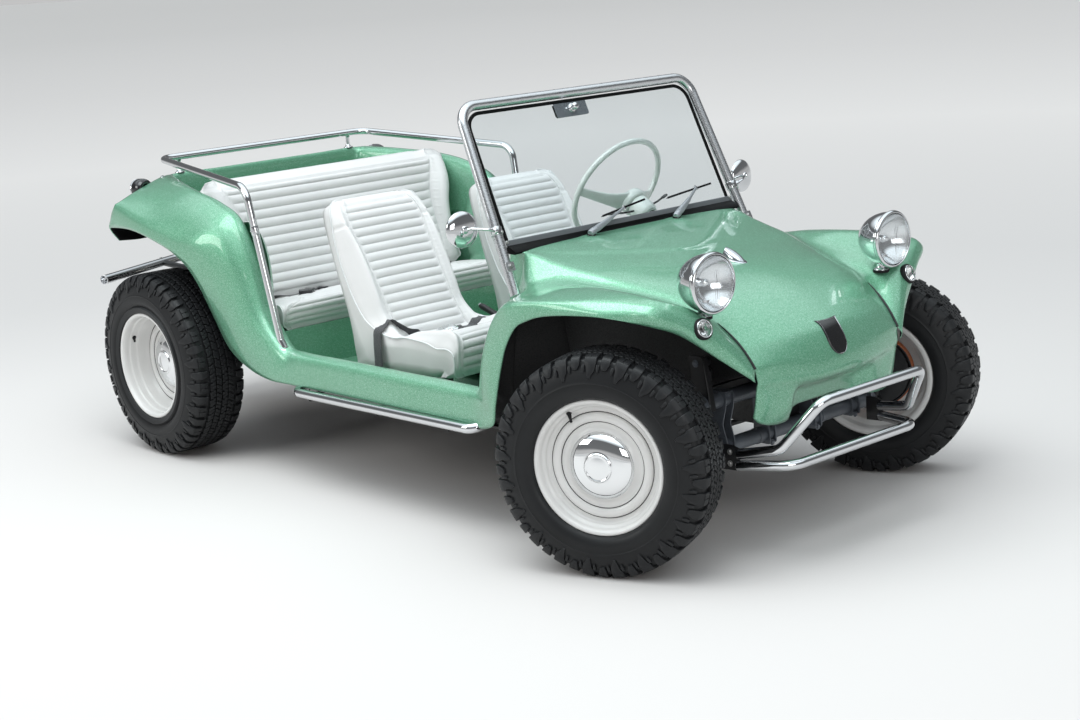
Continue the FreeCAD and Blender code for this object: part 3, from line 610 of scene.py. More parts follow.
def mat_flake_green():
    """Metal-flake gelcoat: coarse flakes that catch light, under clear coat."""
    mat, nt, b = new_mat("flake_green")
    vec = coords(nt)
    cells = nt.nodes.new("ShaderNodeTexVoronoi")
    cells.inputs["Scale"].default_value = 820.0
    nt.links.new(vec, cells.inputs["Vector"])
    sep = nt.nodes.new("ShaderNodeSeparateColor")
    nt.links.new(cells.outputs["Color"], sep.inputs[0])
    flake = ramp(nt, sep.outputs[0], [(0.0, (0.095, 0.300, 0.180)), (0.45, (0.140, 0.385, 0.242)),
                                      (0.8, (0.190, 0.460, 0.300)), (1.0, (0.42, 0.70, 0.55))])
    drift = noise(nt, vec, 3.0, 2.0)
    soft = ramp(nt, drift.outputs[0], [(0.3, (0.92, 0.96, 0.93)), (0.7, (1.0, 1.0, 1.0))])
    col = mix_rgb(nt, 1.0, flake, soft, "MULTIPLY")
    nt.links.new(col, b.inputs["Base Color"])
    b.inputs["Metallic"].default_value = 0.5
    rough = map_range(nt, sep.outputs[1], 0, 1, 0.30, 0.52)
    nt.links.new(rough, b.inputs["Roughness"])
    # every flake lies at its own small angle
    tilt = nt.nodes.new("ShaderNodeVectorMath")
    tilt.operation = "SUBTRACT"
    nt.links.new(cells.outputs["Color"], tilt.inputs[0])
    tilt.inputs[1].default_value = (0.5, 0.5, 0.5)
    scale = nt.nodes.new("ShaderNodeVectorMath")
    scale.operation = "SCALE"
    scale.inputs[3].default_value = 0.24
    nt.links.new(tilt.outputs[0], scale.inputs[0])
    geo = nt.nodes.new("ShaderNodeNewGeometry")
    add = nt.nodes.new("ShaderNodeVectorMath")
    add.operation = "ADD"
    nt.links.new(geo.outputs["Normal"], add.inputs[0])
    nt.links.new(scale.outputs[0], add.inputs[1])
    norm = nt.nodes.new("ShaderNodeVectorMath")
    norm.operation = "NORMALIZE"
    nt.links.new(add.outputs[0], norm.inputs[0])
    nt.links.new(norm.outputs[0], b.inputs["Normal"])
    b.inputs["Coat Weight"].default_value = 1.0
    b.inputs["Coat Roughness"].default_value = 0.03
    b.inputs["Coat IOR"].default_value = 1.5
    return mat


def mat_plain(name, color, rough=0.5, metallic=0.0, coat=0.0, grain=600.0, grain_bump=0.06, vary=0.12, rough_vary=0.1, spec=0.5):
    mat, nt, b = new_mat(name)
    vec = coords(nt)
    n1 = noise(nt, vec, 9.0, 3.0)
    lo = tuple(c * (1 - vary) for c in color)
    hi = tuple(min(1, c * (1 + vary)) for c in color)
    nt.links.new(ramp(nt, n1.outputs[0], [(0.3, lo), (0.7, hi)]), b.inputs["Base Color"])
    n2 = noise(nt, vec, grain, 2.0)
    nt.links.new(map_range(nt, n2.outputs[0], 0.3, 0.7, max(0, rough - rough_vary), min(1, rough + rough_vary)), b.inputs["Roughness"])
    bump(nt, n2.outputs[0], b, grain_bump, 0.0005)
    b.inputs["Metallic"].default_value = metallic
    b.inputs["Specular IOR Level"].default_value = spec
    if coat:
        b.inputs["Coat Weight"].default_value = coat
        b.inputs["Coat Roughness"].default_value = 0.05
    return mat


def mat_chrome(name="chrome", tint=(0.70, 0.71, 0.725), rough=0.06):
    mat, nt, b = new_mat(name)
    vec = coords(nt)
    n1 = noise(nt, vec, 26.0, 3.0)
    nt.links.new(map_range(nt, n1.outputs[0], 0.35, 0.75, rough, rough + 0.05), b.inputs["Roughness"])
    n2 = noise(nt, vec, 7.0, 2.0)
    nt.links.new(ramp(nt, n2.outputs[0], [(0.3, tuple(c * 0.95 for c in tint)), (0.7, tint)]), b.inputs["Base Color"])
    b.inputs["Metallic"].default_value = 1.0
    n3 = noise(nt, vec, 90.0, 2.0)
    bump(nt, n3.outputs[0], b, 0.02, 0.0004)
    return mat


MAT = {
    "green": mat_flake_green(),
    "well_black": mat_plain("well_black", (0.006, 0.006, 0.007), 0.62, grain=260.0, grain_bump=0.5, vary=0.35, rough_vary=0.16),
    "satin_black": mat_plain("satin_black", (0.012, 0.012, 0.013), 0.42, grain=420.0, grain_bump=0.12, vary=0.25),
    "rubber": mat_plain("rubber", (0.010, 0.010, 0.011), 0.6, grain=900.0, grain_bump=0.25, vary=0.25, spec=0.25),
    "chrome": mat_chrome(),
}


def finish_piece(ob, body, mat, slot_name, replaced=()):
    mats = mat if isinstance(mat, (list, tuple)) else [mat]
    which = [0] * len(ob.data.polygons)
    ob.data.polygons.foreach_get("material_index", which)
    ob.data.materials.clear()
    for m_ in mats:
        ob.data.materials.append(MAT[m_] if isinstance(m_, str) else m_)
    # the faces keep the finish they were built with
    ob.data.polygons.foreach_set("material_index", [min(k, len(mats) - 1) for k in which])
    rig.ride(ob, body)
    if slot_name:
        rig.slot(ob, slot_name)
    if replaced:
        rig.replaces(ob, *replaced)
    return ob


# ---------------------------------------------------------------- body tables
# One strip a side, from the front tip over the fender, down the pillar, along
# the sill and up the quarter to the tail.  y is the distance from the
# centreline.  columns: inner, inner mid, inner top, crest, edge, flank, lip.
STRIP = [
    ((1517, 340, 590), (1519, 342, 588), (1521, 345, 584), (1524, 349, 577), (1526, 353, 568), (1525, 351, 560), (1522, 346, 552)),
    ((1470, 346, 652), (1471, 358, 660), (1474, 378, 672), (1480, 410, 680), (1483, 432, 672), (1482, 438, 650), (1479, 427, 621)),
    ((1400, 356, 712), (1402, 380, 722), (1408, 415, 748), (1415, 500, 788), (1428, 548, 780), (1434, 568, 755), (1420, 563, 727)),
    ((1330, 360, 750), (1335, 385, 745), (1345, 425, 768), (1375, 590, 828), (1389, 627, 816), (1393, 652, 792), (1392, 632, 757)),
    ((1239, 369, 782), (1243, 392, 772), (1262, 445, 782), (1300, 588, 836), (1318, 646, 823), (1335, 668, 795), (1345, 662, 770)),
    ((1149, 393, 803), (1152, 415, 793), (1170, 465, 795), (1205, 580, 839), (1212, 675, 826), (1235, 700, 800), (1262, 698, 783)),
    ((1050, 424, 826), (1053, 445, 812), (1060, 485, 811), (1100, 570, 838), (1110, 708, 817), (1130, 716, 795), (1150, 712, 780)),
    ((980, 446, 842), (983, 465, 826), (988, 500, 818), (1010, 580, 832), (1020, 728, 811), (1045, 730, 790), (1075, 722, 774)),
    ((892, 465, 858), (898, 487, 838), (905, 515, 826), (930, 592, 824), (945, 740, 803), (975, 738, 780), (1010, 728, 763)),
    ((800, 482, 877), (815, 505, 846), (835, 532, 822), (872, 612, 811), (903, 741, 797), (935, 742, 770), (965, 731, 748)),
    ((713, 493, 896), (742, 520, 850), (775, 548, 812), (820, 628, 797), (868, 738, 785), (900, 742, 757), (925, 734, 730)),
    ((700, 512, 768), (708, 527, 752), (722, 546, 738), (752, 632, 715), (782, 716, 722), (820, 724, 690), (855, 722, 662)),
    ((695, 548, 620), (690, 568, 613), (684, 590, 610), (684, 640, 602), (712, 702, 610), (754, 710, 585), (795, 705, 560)),
    ((690, 562, 480), (675, 575, 485), (658, 592, 494), (634, 634, 510), (665, 682, 520), (704, 692, 480), (742, 690, 440)),
    ((688, 565, 400), (665, 574, 425), (640, 590, 452), (604, 622, 474), (632, 664, 455), (668, 673, 415), (705, 672, 375)),
    ((640, 572, 352), (620, 577, 410), (600, 588, 455), (566, 616, 471), (582, 654, 453), (606, 661, 402), (640, 659, 350)),
    ((500, 576, 350), (500, 578, 415), (500, 586, 458), (500, 613, 471), (500, 649, 455), (500, 656, 402), (500, 655, 350)),
    ((200, 576, 350), (200, 578, 415), (200, 586, 457), (200, 613, 470), (200, 649, 454), (200, 656, 402), (200, 655, 350)),
    ((-150, 576, 350), (-150, 578, 415), (-150, 586, 457), (-150, 612, 470), (-150, 648, 453), (-150, 655, 401), (-150, 654, 350)),
    ((-400, 574, 350), (-400, 576, 410), (-405, 584, 455), (-405, 611, 469), (-395, 648, 450), (-410, 656, 400), (-440, 656, 350)),
    ((-510, 571, 356), (-506, 572, 420), (-500, 578, 461), (-500, 604, 476), (-478, 646, 447), (-508, 662, 402), (-575, 664, 354)),
    ((-580, 570, 380), (-572, 572, 455), (-562, 576, 517), (-556, 604, 529), (-552, 655, 510), (-600, 678, 452), (-679, 676, 385)),
    ((-648, 571, 440), (-634, 573, 525), (-617, 577, 593), (-605, 606, 604), (-618, 664, 592), (-670, 694, 532), (-775, 690, 450)),
    ((-700, 572, 520), (-678, 575, 612), (-650, 579, 686), (-637, 608, 697), (-662, 676, 692), (-736, 708, 641), (-836, 704, 560)),
    ((-760, 574, 640), (-725, 577, 728), (-692, 581, 803), (-677, 609, 817), (-708, 688, 808), (-800, 730, 766), (-885, 726, 682)),
    ((-810, 576, 740), (-788, 579, 845), (-768, 583, 918), (-747, 609, 938), (-772, 682, 908), (-846, 745, 842), (-912, 744, 745)),
    ((-890, 577, 752), (-886, 580, 862), (-882, 583, 965), (-867, 607, 988), (-890, 678, 953), (-965, 753, 862), (-981, 754, 798)),
    ((-1043, 567, 752), (-1043, 569, 880), (-1043, 572, 998), (-1043, 595, 1020), (-1060, 665, 988), (-1125, 756, 897), (-1114, 760, 843)),
    ((-1245, 512, 752), (-1248, 513, 890), (-1250, 517, 1018), (-1250, 540, 1039), (-1260, 622, 1012), (-1292, 753, 934), (-1294, 756, 875)),
    ((-1426, 448, 752), (-1429, 449, 900), (-1432, 452, 1032), (-1440, 472, 1050), (-1446, 600, 1016), (-1428, 738, 966), (-1500, 737, 868)),
]
# how sharp each column's line is, a row at a time: front rows, then the rest
FRONT_SHARP = (0.0, 0.1, 0.15, 0.45, 0.75, 0.1, 0.0)
PILLAR_SHARP = (0.0, 0.0, 0.15, 0.3, 0.35, 0.0, 0.0)
SILL_SHARP = (0.0, 0.0, 0.1, 0.1, 0.25, 0.0, 0.0)
REAR_SHARP = (0.0, 0.0, 0.1, 0.1, 0.0, 0.82, 0.0)
STRIP_SHARP = [FRONT_SHARP] * 10 + [PILLAR_SHARP] * 4 + [SILL_SHARP] * 6 + [(0, 0, .1, .1, .05, .2, 0)] * 2 + [(0, 0, .1, .05, 0, .35, 0)] * 2 + [REAR_SHARP] * 6
# hood rows at the strip's first eleven stations and the cowl's rear edge.
# columns: centre, quarter, half way, near ridge
HOOD = [
    ((1562, 0, 590), (1556, 110, 590), (1545, 210, 592), (1528, 300, 594)),
    ((1524, 0, 662), (1518, 110, 661), (1506, 215, 658), (1486, 305, 655)),
    ((1438, 0, 727), (1434, 110, 725), (1427, 215, 721), (1413, 310, 716)),
    ((1352, 0, 775), (1350, 110, 772), (1346, 215, 766), (1338, 312, 757)),
    ((1256, 0, 810), (1255, 110, 807), (1252, 220, 801), (1246, 320, 791)),
    ((1160, 0, 831), (1160, 120, 829), (1158, 235, 823), (1154, 340, 813)),
    ((1058, 0, 847), (1058, 130, 845), (1056, 255, 841), (1053, 368, 833)),
    ((982, 0, 858), (982, 135, 857), (982, 268, 854), (981, 390, 848)),
    ((892, 0, 871), (892, 140, 870), (892, 280, 868), (892, 405, 863)),
    ((800, 0, 885), (800, 145, 884), (800, 290, 883), (800, 420, 880)),
    ((708, 0, 898), (709, 148, 898), (711, 296, 898), (712, 430, 897)),
    ((642, 0, 907), (646, 148, 907), (656, 296, 907), (668, 430, 906)),
]
COWL_CORNER = (680, 495, 904)
# nose below its crease: rows down from the crease.  columns across y
NOSE_Y = (0, 60, 112, 150, 188, 235, 290, 322, 337)
NOSE = [
    ((1572, 528), (1570, 528), (1566, 529), (1561, 531), (1555, 533), (1546, 536), (1534, 541), (1527, 545), (1521, 548)),
    ((1560, 514), (1558, 514), (1554, 514), (1548, 515), (1545, 517), (1537, 520), (1527, 524), (1521, 529), (1516, 534)),
    ((1508, 486), (1507, 486), (1506, 486), (1504, 486), (1534, 484), (1534, 484), (1528, 486), (1517, 492), (1508, 500)),
    ((1492, 458), (1491, 458), (1490, 457), (1492, 452), (1526, 446), (1530, 444), (1524, 446), (1512, 455), (1502, 470)),
    ((1478, 432), (1477, 432), (1476, 430), (1480, 420), (1510, 408), (1517, 404), (1512, 410), (1502, 424), (1494, 446)),
]


def strip_points(side):
    t = np.array(STRIP, float)
    t[:, :, 1] *= side
    return t


def hood_step(G):
    """Raised cowl with its swept front edge, and mounds under the wipers."""
    x, y = G[..., 0], np.abs(G[..., 1])
    edge_x = np.interp(y, [0, 26, 118, 305, 497], [986, 978, 944, 834, 694])
    slope = np.interp(y, [0, 60, 200, 400, 500], [1.0, 0.8, 0.87, 0.82, 0.8])
    d = (edge_x - x) * slope
    t = np.clip((d + 8) / 16, 0, 1)
    G[..., 2] += 3.0 * t * t * (3 - 2 * t) * np.clip((500 - y) / 60, 0, 1)
    for py, px in ((-188, 700), (214, 700)):
        r = np.sqrt(((G[..., 0] - px - 8) / 46) ** 2 + ((G[..., 1] - py) / 34) ** 2)
        G[..., 2] += 5.0 * np.exp(-r ** 2 * 1.4)
    return G



# tail: rows down the outside, from the strip's last row.  columns across y
TAIL = [
    ((-1440, 0, 1050), (-1440, 250, 1050), (-1440, 472, 1050), (-1446, 600, 1016), (-1428, 738, 966)),
    ((-1468, 0, 1036), (-1468, 250, 1036), (-1470, 480, 1032), (-1474, 600, 995), (-1455, 741, 934)),
    ((-1505, 0, 975), (-1503, 250, 975), (-1500, 500, 968), (-1500, 620, 935), (-1478, 740, 900)),
    ((-1545, 0, 880), (-1540, 280, 880), (-1530, 520, 878), (-1525, 640, 872), (-1500, 737, 868)),
    ((-1560, 0, 800), (-1552, 280, 800), (-1535, 520, 800), (-1520, 600, 800), (-1500, 700, 810)),
]


def build_tail(B, G):
    """Tail skin and the inner face of the rear well's back wall."""
    last = G[-1]
    cc = [10, 9, 8, 6]
    rows = []
    for k, row in enumerate(TAIL):
        r = hermite_line(np.array(row, float), [0, 0, 0.2, 0.2, 0], cc)
        if k == 0:
            r[19:] = last[13:28]
        rows.append(r)
    rows = np.array(rows)
    D_ = np.stack([hermite_line(rows[:, j], [0, 0.35, 0.1, 0.2, 0], [3, 5, 6, 5]) for j in range(rows.shape[1])], 1)
    full = np.concatenate([D_[:, :0:-1] * [1, -1, 1], D_], 1)
    B.grid(full, flip=False)
    inner = last[:14]
    t = np.linspace(-1, 1, 39)
    wall = np.array([[(p[0], p[1] * k, p[2]) for k in t] for p in inner])
    # the wall's own top row follows the tail's crest, point for point
    wall[-1] = full[0][14:53] if full.shape[1] == 67 else wall[-1]
    B.grid(wall, flip=True)
    return full


def build_body():
    B = Builder()
    P = np.array(STRIP, float)
    W = np.array(STRIP_SHARP, float)
    rc = span_counts(P, 15.0, 0)
    cc = [3, 4, 6, 8, 6, 5]
    G = smooth_grid(P, col_sharp=W, counts=(rc, cc))
    right = G.copy()
    right[..., 1] *= -1
    B.grid(right, flip=False)
    # hood: its outer column is the strip's inner column, point for point
    H = np.array(HOOD, float)
    m = len(H)
    ridge = P[:m - 1, 0]
    ridge = np.concatenate([ridge, [COWL_CORNER]])
    first = rc[:m - 2]
    last = [5]
    cols = [hermite_line(H[:, j], [0, 0.35] + [0] * (m - 2), first + last) for j in range(H.shape[1])]
    strip_ridge = G[:sum(first) + 1, 0]
    tail = hermite_line(np.array([P[9, 0], P[10, 0], COWL_CORNER]), [0, 0, 0], [first[-1], 5])[first[-1]:]
    cols.append(np.concatenate([strip_ridge, tail[1:]]))
    dense = np.stack(cols, 1)
    full = np.concatenate([(dense[:, :0:-1] * [1, 1, 1]), dense * [1, -1, 1]], 1)
    cc2 = [5, 8, 9, 9, 9, 9, 8, 5]
    rows = [hermite_line(r, np.zeros(len(r)), cc2) for r in full]
    HG = hood_step(np.array(rows))
    B.grid(HG, flip=True)
    # nose face between the hood's first row and the crease, then the valance
    n = np.array([[(x, y, z) for (x, z), y in zip(row, NOSE_Y)] for row in NOSE], float)
    up = HG[0]
    ys = up[:, 1]

    def row_at(r):
        full_y = np.concatenate([-r[:0:-1, 1], r[:, 1]])
        fx = np.concatenate([r[:0:-1, 0], r[:, 0]])
        fz = np.concatenate([r[:0:-1, 2], r[:, 2]])
        yy = np.clip(ys, -337, 337) * (337.0 / 340.0)
        k = hermite_line(np.stack([fx, full_y, fz], 1), np.full(len(full_y), 0.0), [8] * (len(full_y) - 1))
        return np.stack([np.interp(yy, k[:, 1], k[:, 0]), yy, np.interp(yy, k[:, 1], k[:, 2])], 1)

    face = [up, row_at(n[0])]
    mid = 0.5 * (face[0] + face[1]) + np.array([4.0, 0, 0]) * (1 - (np.abs(ys) / 340) ** 2)[:, None]
    F = np.stack([hermite_line(np.stack([face[0][i], mid[i], face[1][i]]), [0, 0, 0], [3, 3]) for i in range(len(ys))], 1)
    B.grid(F, flip=False)
    # corner between strip tip and crease
    V = np.stack([row_at(r) for r in n])
    V = np.stack([hermite_line(V[:, i], [0.2, 0.7, 0.2, 0, 0], [2, 5, 4, 4]) for i in range(V.shape[1])], 1)
    B.grid(V, flip=False)
    return B, G, HG, rc


B, STRIP_G, HOOD_G, STRIP_RC = build_body()
lg = STRIP_G.copy()
B.grid(lg, flip=True)
TAIL_G = build_tail(B, STRIP_G)
body = B.object("body_moulding", weld=0.6)
tidy(body, 0.6)
relax_mesh(body, 2)
sharp_by_angle(body, 62)
finish_piece(body, "chassis", ["green", "well_black"], "body_green", ("front_fenders", "front_hood", "rear_quarters", "tail_panel"))
thicken(body, 5.0, -1.0, inner_mat=1, rim_mat=0)
# -------------------------------------------------------------------- wheels
def mat_tyre():
    """Black rubber: painted shade darkens the grooves and hollows, a painted sheen lightens the tops and edges of the
    blocks.
    """
    mat, nt, b = new_mat("tyre_rubber")
    vec = coords(nt)
    n1 = noise(nt, vec, 14.0, 4.0)
    geo = nt.nodes.new("ShaderNodeNewGeometry")
    # lighter where the surface is convex, darker where it is concave: painted sheen on the edges, painted shade in the
    # grooves
    edge = map_range(nt, geo.outputs["Pointiness"], 0.46, 0.56, 0.0, 1.0)
    base = ramp(nt, n1.outputs[0], [(0.3, (0.0040, 0.0042, 0.0047)), (0.7, (0.0075, 0.0078, 0.0086))])
    painted_sheen_and_shade = mix_rgb(nt, edge, base, (0.015, 0.0157, 0.017))
    nt.links.new(painted_sheen_and_shade, b.inputs["Base Color"])
    n2 = noise(nt, vec, 700.0, 2.0)
    nt.links.new(map_range(nt, n2.outputs[0], 0.3, 0.7, 0.36, 0.52), b.inputs["Roughness"])
    bump(nt, n2.outputs[0], b, 0.12, 0.0004)
    b.inputs["Specular IOR Level"].default_value = 0.27
    return mat


def mat_gloss_white():
    mat, nt, b = new_mat("wheel_paint")
    vec = coords(nt)
    n1 = noise(nt, vec, 5.0, 2.0)
    nt.links.new(ramp(nt, n1.outputs[0], [(0.3, (0.66, 0.652, 0.638)), (0.7, (0.71, 0.702, 0.688))]), b.inputs["Base Color"])
    n2 = noise(nt, vec, 120.0, 2.0)
    nt.links.new(map_range(nt, n2.outputs[0], 0.3, 0.7, 0.28, 0.4), b.inputs["Roughness"])
    n3 = noise(nt, vec, 260.0, 1.0)
    bump(nt, n3.outputs[0], b, 0.03, 0.0003)
    b.inputs["Coat Weight"].default_value = 0.6
    b.inputs["Coat Roughness"].default_value = 0.08
    return mat


MAT["tyre"] = mat_tyre()
MAT["white"] = mat_gloss_white()
# near-black for the rim's recessed seam and ring groove: painted shade in recesses of the white-painted wheel
MAT["groove"] = mat_plain("seam_painted_shade", (0.03, 0.03, 0.032), 0.6, grain=300.0, vary=0.2)
MAT["iron"] = mat_plain("drum_iron", (0.035, 0.035, 0.036), 0.55, metallic=0.35, grain=200.0, grain_bump=0.35, vary=0.4)
MAT["orange"] = mat_plain("drum_orange", (0.55, 0.13, 0.02), 0.4, grain=220.0, grain_bump=0.15, vary=0.15)
MAT["hub_chrome"] = mat_chrome("hubcap_chrome", (0.86, 0.87, 0.88), 0.02)


def wheel_frame(end, side):
    """Centre and outboard direction of a wheel, row frame mm."""
    j = JOINT["spin_%s_%s" % (end, side)]
    c = np.array(j["pos_m"], float) * 1000.0
    a = np.array(j["axis"], float)
    a /= np.linalg.norm(a)
    return c, (a if side == "left" else -a)


def axis_points(local, c, a):
    """local: (angle, across, radius) to row frame mm.  Angle 0 is straight
    up and grows clockwise for someone who faces the outboard side."""
    t, h, r = local[:, 0], local[:, 1], local[:, 2]
    upv = np.array([0, 0, 1.0])
    sidev = np.cross(upv, a)          # to the right hand of that person
    return c + np.outer(h, a) + np.outer(r * np.cos(t), upv) + np.outer(r * np.sin(t), sidev)


TREAD_V = (0, 41, 72, 82, 88, 96, 116, 136, 148)     # for a tread half width of 86


def tread_curves(T, R):
    d = T - 86.0
    v = np.array(TREAD_V, float)
    v[1:] += d
    top = np.array([(0, 0), (41, -0.3), (72, -2.2), (82, -5.5), (87.5, -11), (92, -21), (99, -40), (103, -58), (104, -70)], float)
    base = np.array([(0, -10), (41, -10.3), (72, -12.5), (80, -15.5), (83.5, -20), (86.5, -27), (94, -43), (99.5, -60), (102, -72)], float)
    for c in (top, base):
        c[1:, 0] += d
        c[:, 1] += R
    return v, top, base


def curve_at(v, knots, vals):
    """Smooth interpolation through knots (Catmull-Rom slopes)."""
    m = np.zeros_like(vals)
    s = (vals[1:] - vals[:-1]) / (knots[1:] - knots[:-1])[:, None]
    m[1:-1] = 0.5 * (s[1:] + s[:-1])
    m[0], m[-1] = s[0], s[-1]
    i = np.clip(np.searchsorted(knots, v, side="right") - 1, 0, len(knots) - 2)
    h = (knots[i + 1] - knots[i])
    t = ((v - knots[i]) / h)[:, None]
    h = h[:, None]
    return ((2 * t ** 3 - 3 * t ** 2 + 1) * vals[i] + (t ** 3 - 2 * t ** 2 + t) * h * m[i]
            + (-2 * t ** 3 + 3 * t ** 2) * vals[i + 1] + (t ** 3 - t ** 2) * h * m[i + 1])


def loaf(rows, chamfer=1.1, tall=9.6):
    """One tread block.  rows: (v, left, right) with left and right along the
    circumference, mm.  Gives (s, v, level) points and faces."""
    c = chamfer
    rows = [tuple(map(float, r)) for r in rows]
    (v0, l0, r0), (v1, l1, r1) = rows[0], rows[-1]
    lo = 1 - c / tall
    full = []

    def cols(v, l, r, kind):
        m = 0.5 * (l + r)
        s = [l, l, l + c, m, r - c, r, r]
        if kind == "base":
            lv = [-0.12] * 7
        elif kind == "rim":
            lv = [-0.12, lo, lo, lo, lo, lo, -0.12]
        else:
            lv = [-0.12, lo, 1, 1, 1, lo, -0.12]
        return [(a, v, b) for a, b in zip(s, lv)]

    dv = 1.0 if v1 > v0 else -1.0
    full.append(cols(v0, l0, r0, "base"))
    full.append(cols(v0, l0, r0, "rim"))
    full.append(cols(v0 + dv * c, l0, r0, "top"))
    for v, l, r in rows[1:-1]:
        full.append(cols(v, l, r, "top"))
    full.append(cols(v1 - dv * c, l1, r1, "top"))
    full.append(cols(v1, l1, r1, "rim"))
    full.append(cols(v1, l1, r1, "base"))
    G = np.array(full)
    m, n = G.shape[:2]
    return G.reshape(-1, 3), grid_faces(m, n)


def tread_blocks(T, R, W, count):
    """All blocks of one tyre as (angle, across, radius) points and faces."""
    kn, top, base = tread_curves(T, R)
    pitch = 2 * math.pi * R / count
    V, F, base_n = [], [], 0

    def put(block, side, s_off, n_rep, mirror_s=False):
        nonlocal base_n
        P, faces = block
        P = P.copy()
        if mirror_s:
            P[:, 0] *= -1
            faces = [tuple(reversed(f)) for f in faces]
        v = P[:, 1]
        sgn = np.where(v < 0, -1.0, 1.0)
        av = np.abs(v)
        a, b = curve_at(av, kn, top), curve_at(av, kn, base)
        lv = P[:, 2:3]
        hr = b + (a - b) * lv
        h = hr[:, 0] * sgn * side
        step = 2 * math.pi / n_rep
        for k in range(n_rep):
            t = (P[:, 0] + s_off) / R + k * step
            V.append(np.stack([t, h, hr[:, 1]], 1))
            F.extend([tuple(base_n + i for i in (f if side > 0 else reversed(f))) for f in faces])
            base_n += len(P)

    k = T - 86.0
    wide = T / 86.0
    for side, off in ((1, 0.0), (-1, pitch * 0.5)):
        half = count // 2
        # wide lug: two halves parted by a sipe, joined over the shoulder
        for l0, l1, l2, r0, r1, r2 in ((-19, -20, -20, -1.0, -3.0, -1.0), (1.0, -1.0, 1.0, 17, 20, 20)):
            put(loaf([(52 + k, l0, r0), (60 + k, l1 + 2, r1), (68 + k, l1, r2), (79 + k, l2, r2)]), side, off, half)
        put(loaf([(80 + k, -20, 20), (88 + k, -20, 20), (96 + k, -19, 19), (106 + k, -14, 18), (118 + k, -12, 16),
                  (130 + k, -11, 7), (142 + k, -8, 2)], 1.4), side, off, half)
        # narrow lug with a bent flank, shorter on the sidewall
        put(loaf([(48 + k, -15, 7), (57 + k, -12, 11), (66 + k, -15, 14), (76 + k, -15, 15), (86 + k, -15, 15),
                  (95 + k, -14, 14), (106 + k, -13, 9), (114 + k, -10, 5)], 1.4), side, off + pitch, half)
        # small tie blocks between lugs low on the shoulder
        put(loaf([(100 + k, -4.5, 4.5), (110 + k, -5, 5), (122 + k, -3, 3)], 1.0), side, off + pitch * 0.5 + 1.5, count)
        # two rows of hooked blocks a side
        n_mid = int(round(count * 1.5))
        pm = 2 * math.pi * R / n_mid
        g = pm * 0.5 - 2.6
        put(loaf([(25.5 * wide, -g - 4, -0.7 - 4), (31 * wide, -g - 4, -0.7 - 4), (36 * wide, -g + 3, -0.7 + 3), (45 * wide, -g + 4, -0.7 + 4)]), side, off, n_mid)
        put(loaf([(24.5 * wide, 0.7 - 4, g - 4), (31 * wide, 0.7 - 4, g - 4), (36 * wide, 0.7 + 3, g + 3), (43.5 * wide, 0.7 + 4, g + 4)]), side, off, n_mid)
        put(loaf([(2.2 * wide, -g + 4, -0.7 + 4), (8 * wide, -g + 4, -0.7 + 4), (13 * wide, -g - 3, -0.7 - 3), (20 * wide, -g - 4, -0.7 - 4)]), side, off + pm * 0.5, n_mid)
        put(loaf([(3.2 * wide, 0.7 + 4, g + 4), (8 * wide, 0.7 + 4, g + 4), (13 * wide, 0.7 - 3, g - 3), (21 * wide, 0.7 - 4, g - 4)]), side, off + pm * 0.5, n_mid)
    return np.concatenate(V), F


def carcass_profile(T, R, W, rim_half):
    kn, top, base = tread_curves(T, R)
    vv = np.concatenate([np.linspace(0, 72 + T - 86, 7), 72 + T - 86 + np.array([5, 10, 16, 24, 34, 44, 54, 64, 76])])
    out = [tuple(p) for p in curve_at(vv, kn, base)]
    out += [(W - 1.2, R - 78), (W - 0.1, R - 79.5), (W - 0.1, R - 81), (W - 1.2, R - 82.5), (W - 0.6, R - 92), (W - 0.6, R - 102),
            (W - 3.5, R - 113), (W - 7.5, R - 121), (rim_half + 7.5, R - 127), (rim_half + 3.5, 210.5), (rim_half + 0.5, 208.2), (rim_half - 4, 206.5), (rim_half - 9, 200),
            (rim_half - 13, 192.5), (rim_half - 16, 193)]
    if R > 345:
        out = [p for p in out]
    inner = [(rim_half - 14, 214), (W - 12, 248), (W - 13, R - 80), (T - 12, R - 30), (0, R - 22)]
    right = out + inner
    left = [(-h, r) for h, r in reversed(right[1:-1])]
    return right + left


def lathe(B, profile, c, a, segments=96, mat=0, closed=False, spans=None):
    """Turned surface about a wheel's axis: profile of (across, radius)."""
    ang = np.linspace(0, 2 * math.pi, segments, endpoint=False)
    rows = []
    for h, r in profile:
        rows.append(axis_points(np.stack([ang, np.full(segments, float(h)), np.full(segments, float(r))], 1), c, a))
    G = np.array(rows)
    return B.grid(G, wrap_n=True, wrap_m=closed, mat=mat)


TYRE_DIMS = {"front": (86.0, 340.0, 104.0, 84.5, 42), "rear": (100.0, 356.0, 118.0, 111.5, 44)}
RIM = {
    # across from the centre plane, radius: tyre side of the outer flange,
    # round the lip and down into the barrel
    "front": [(76.5, 203), (77, 206.2), (79.5, 207), (82.5, 206.6), (84.3, 204), (84.5, 200.5), (83.5, 197), (80.5, 193.5), (76, 190.8), (70, 189.4),
              (66, 188.6), (62.5, 186.4), (60, 183), (57.5, 180.6), (53, 179.2), (49, 177.8), (46.6, 174), (46, 170), (45.6, 166), (44.8, 163.6)],
    "rear": [(103.5, 203), (104, 206.2), (106.5, 207), (109.5, 206.6), (111.3, 204), (111.5, 200.5), (110.2, 197), (106.5, 193), (101, 190.6), (90, 189.8),
             (82, 189.4), (79.5, 188.2), (78.3, 186.4), (75, 185.6), (62, 184.8), (55, 184), (52.6, 182.6), (51, 180.2), (47, 179), (34, 176.5), (22, 173.5), (14, 170), (8, 165.6), (5.2, 163.6)],
}
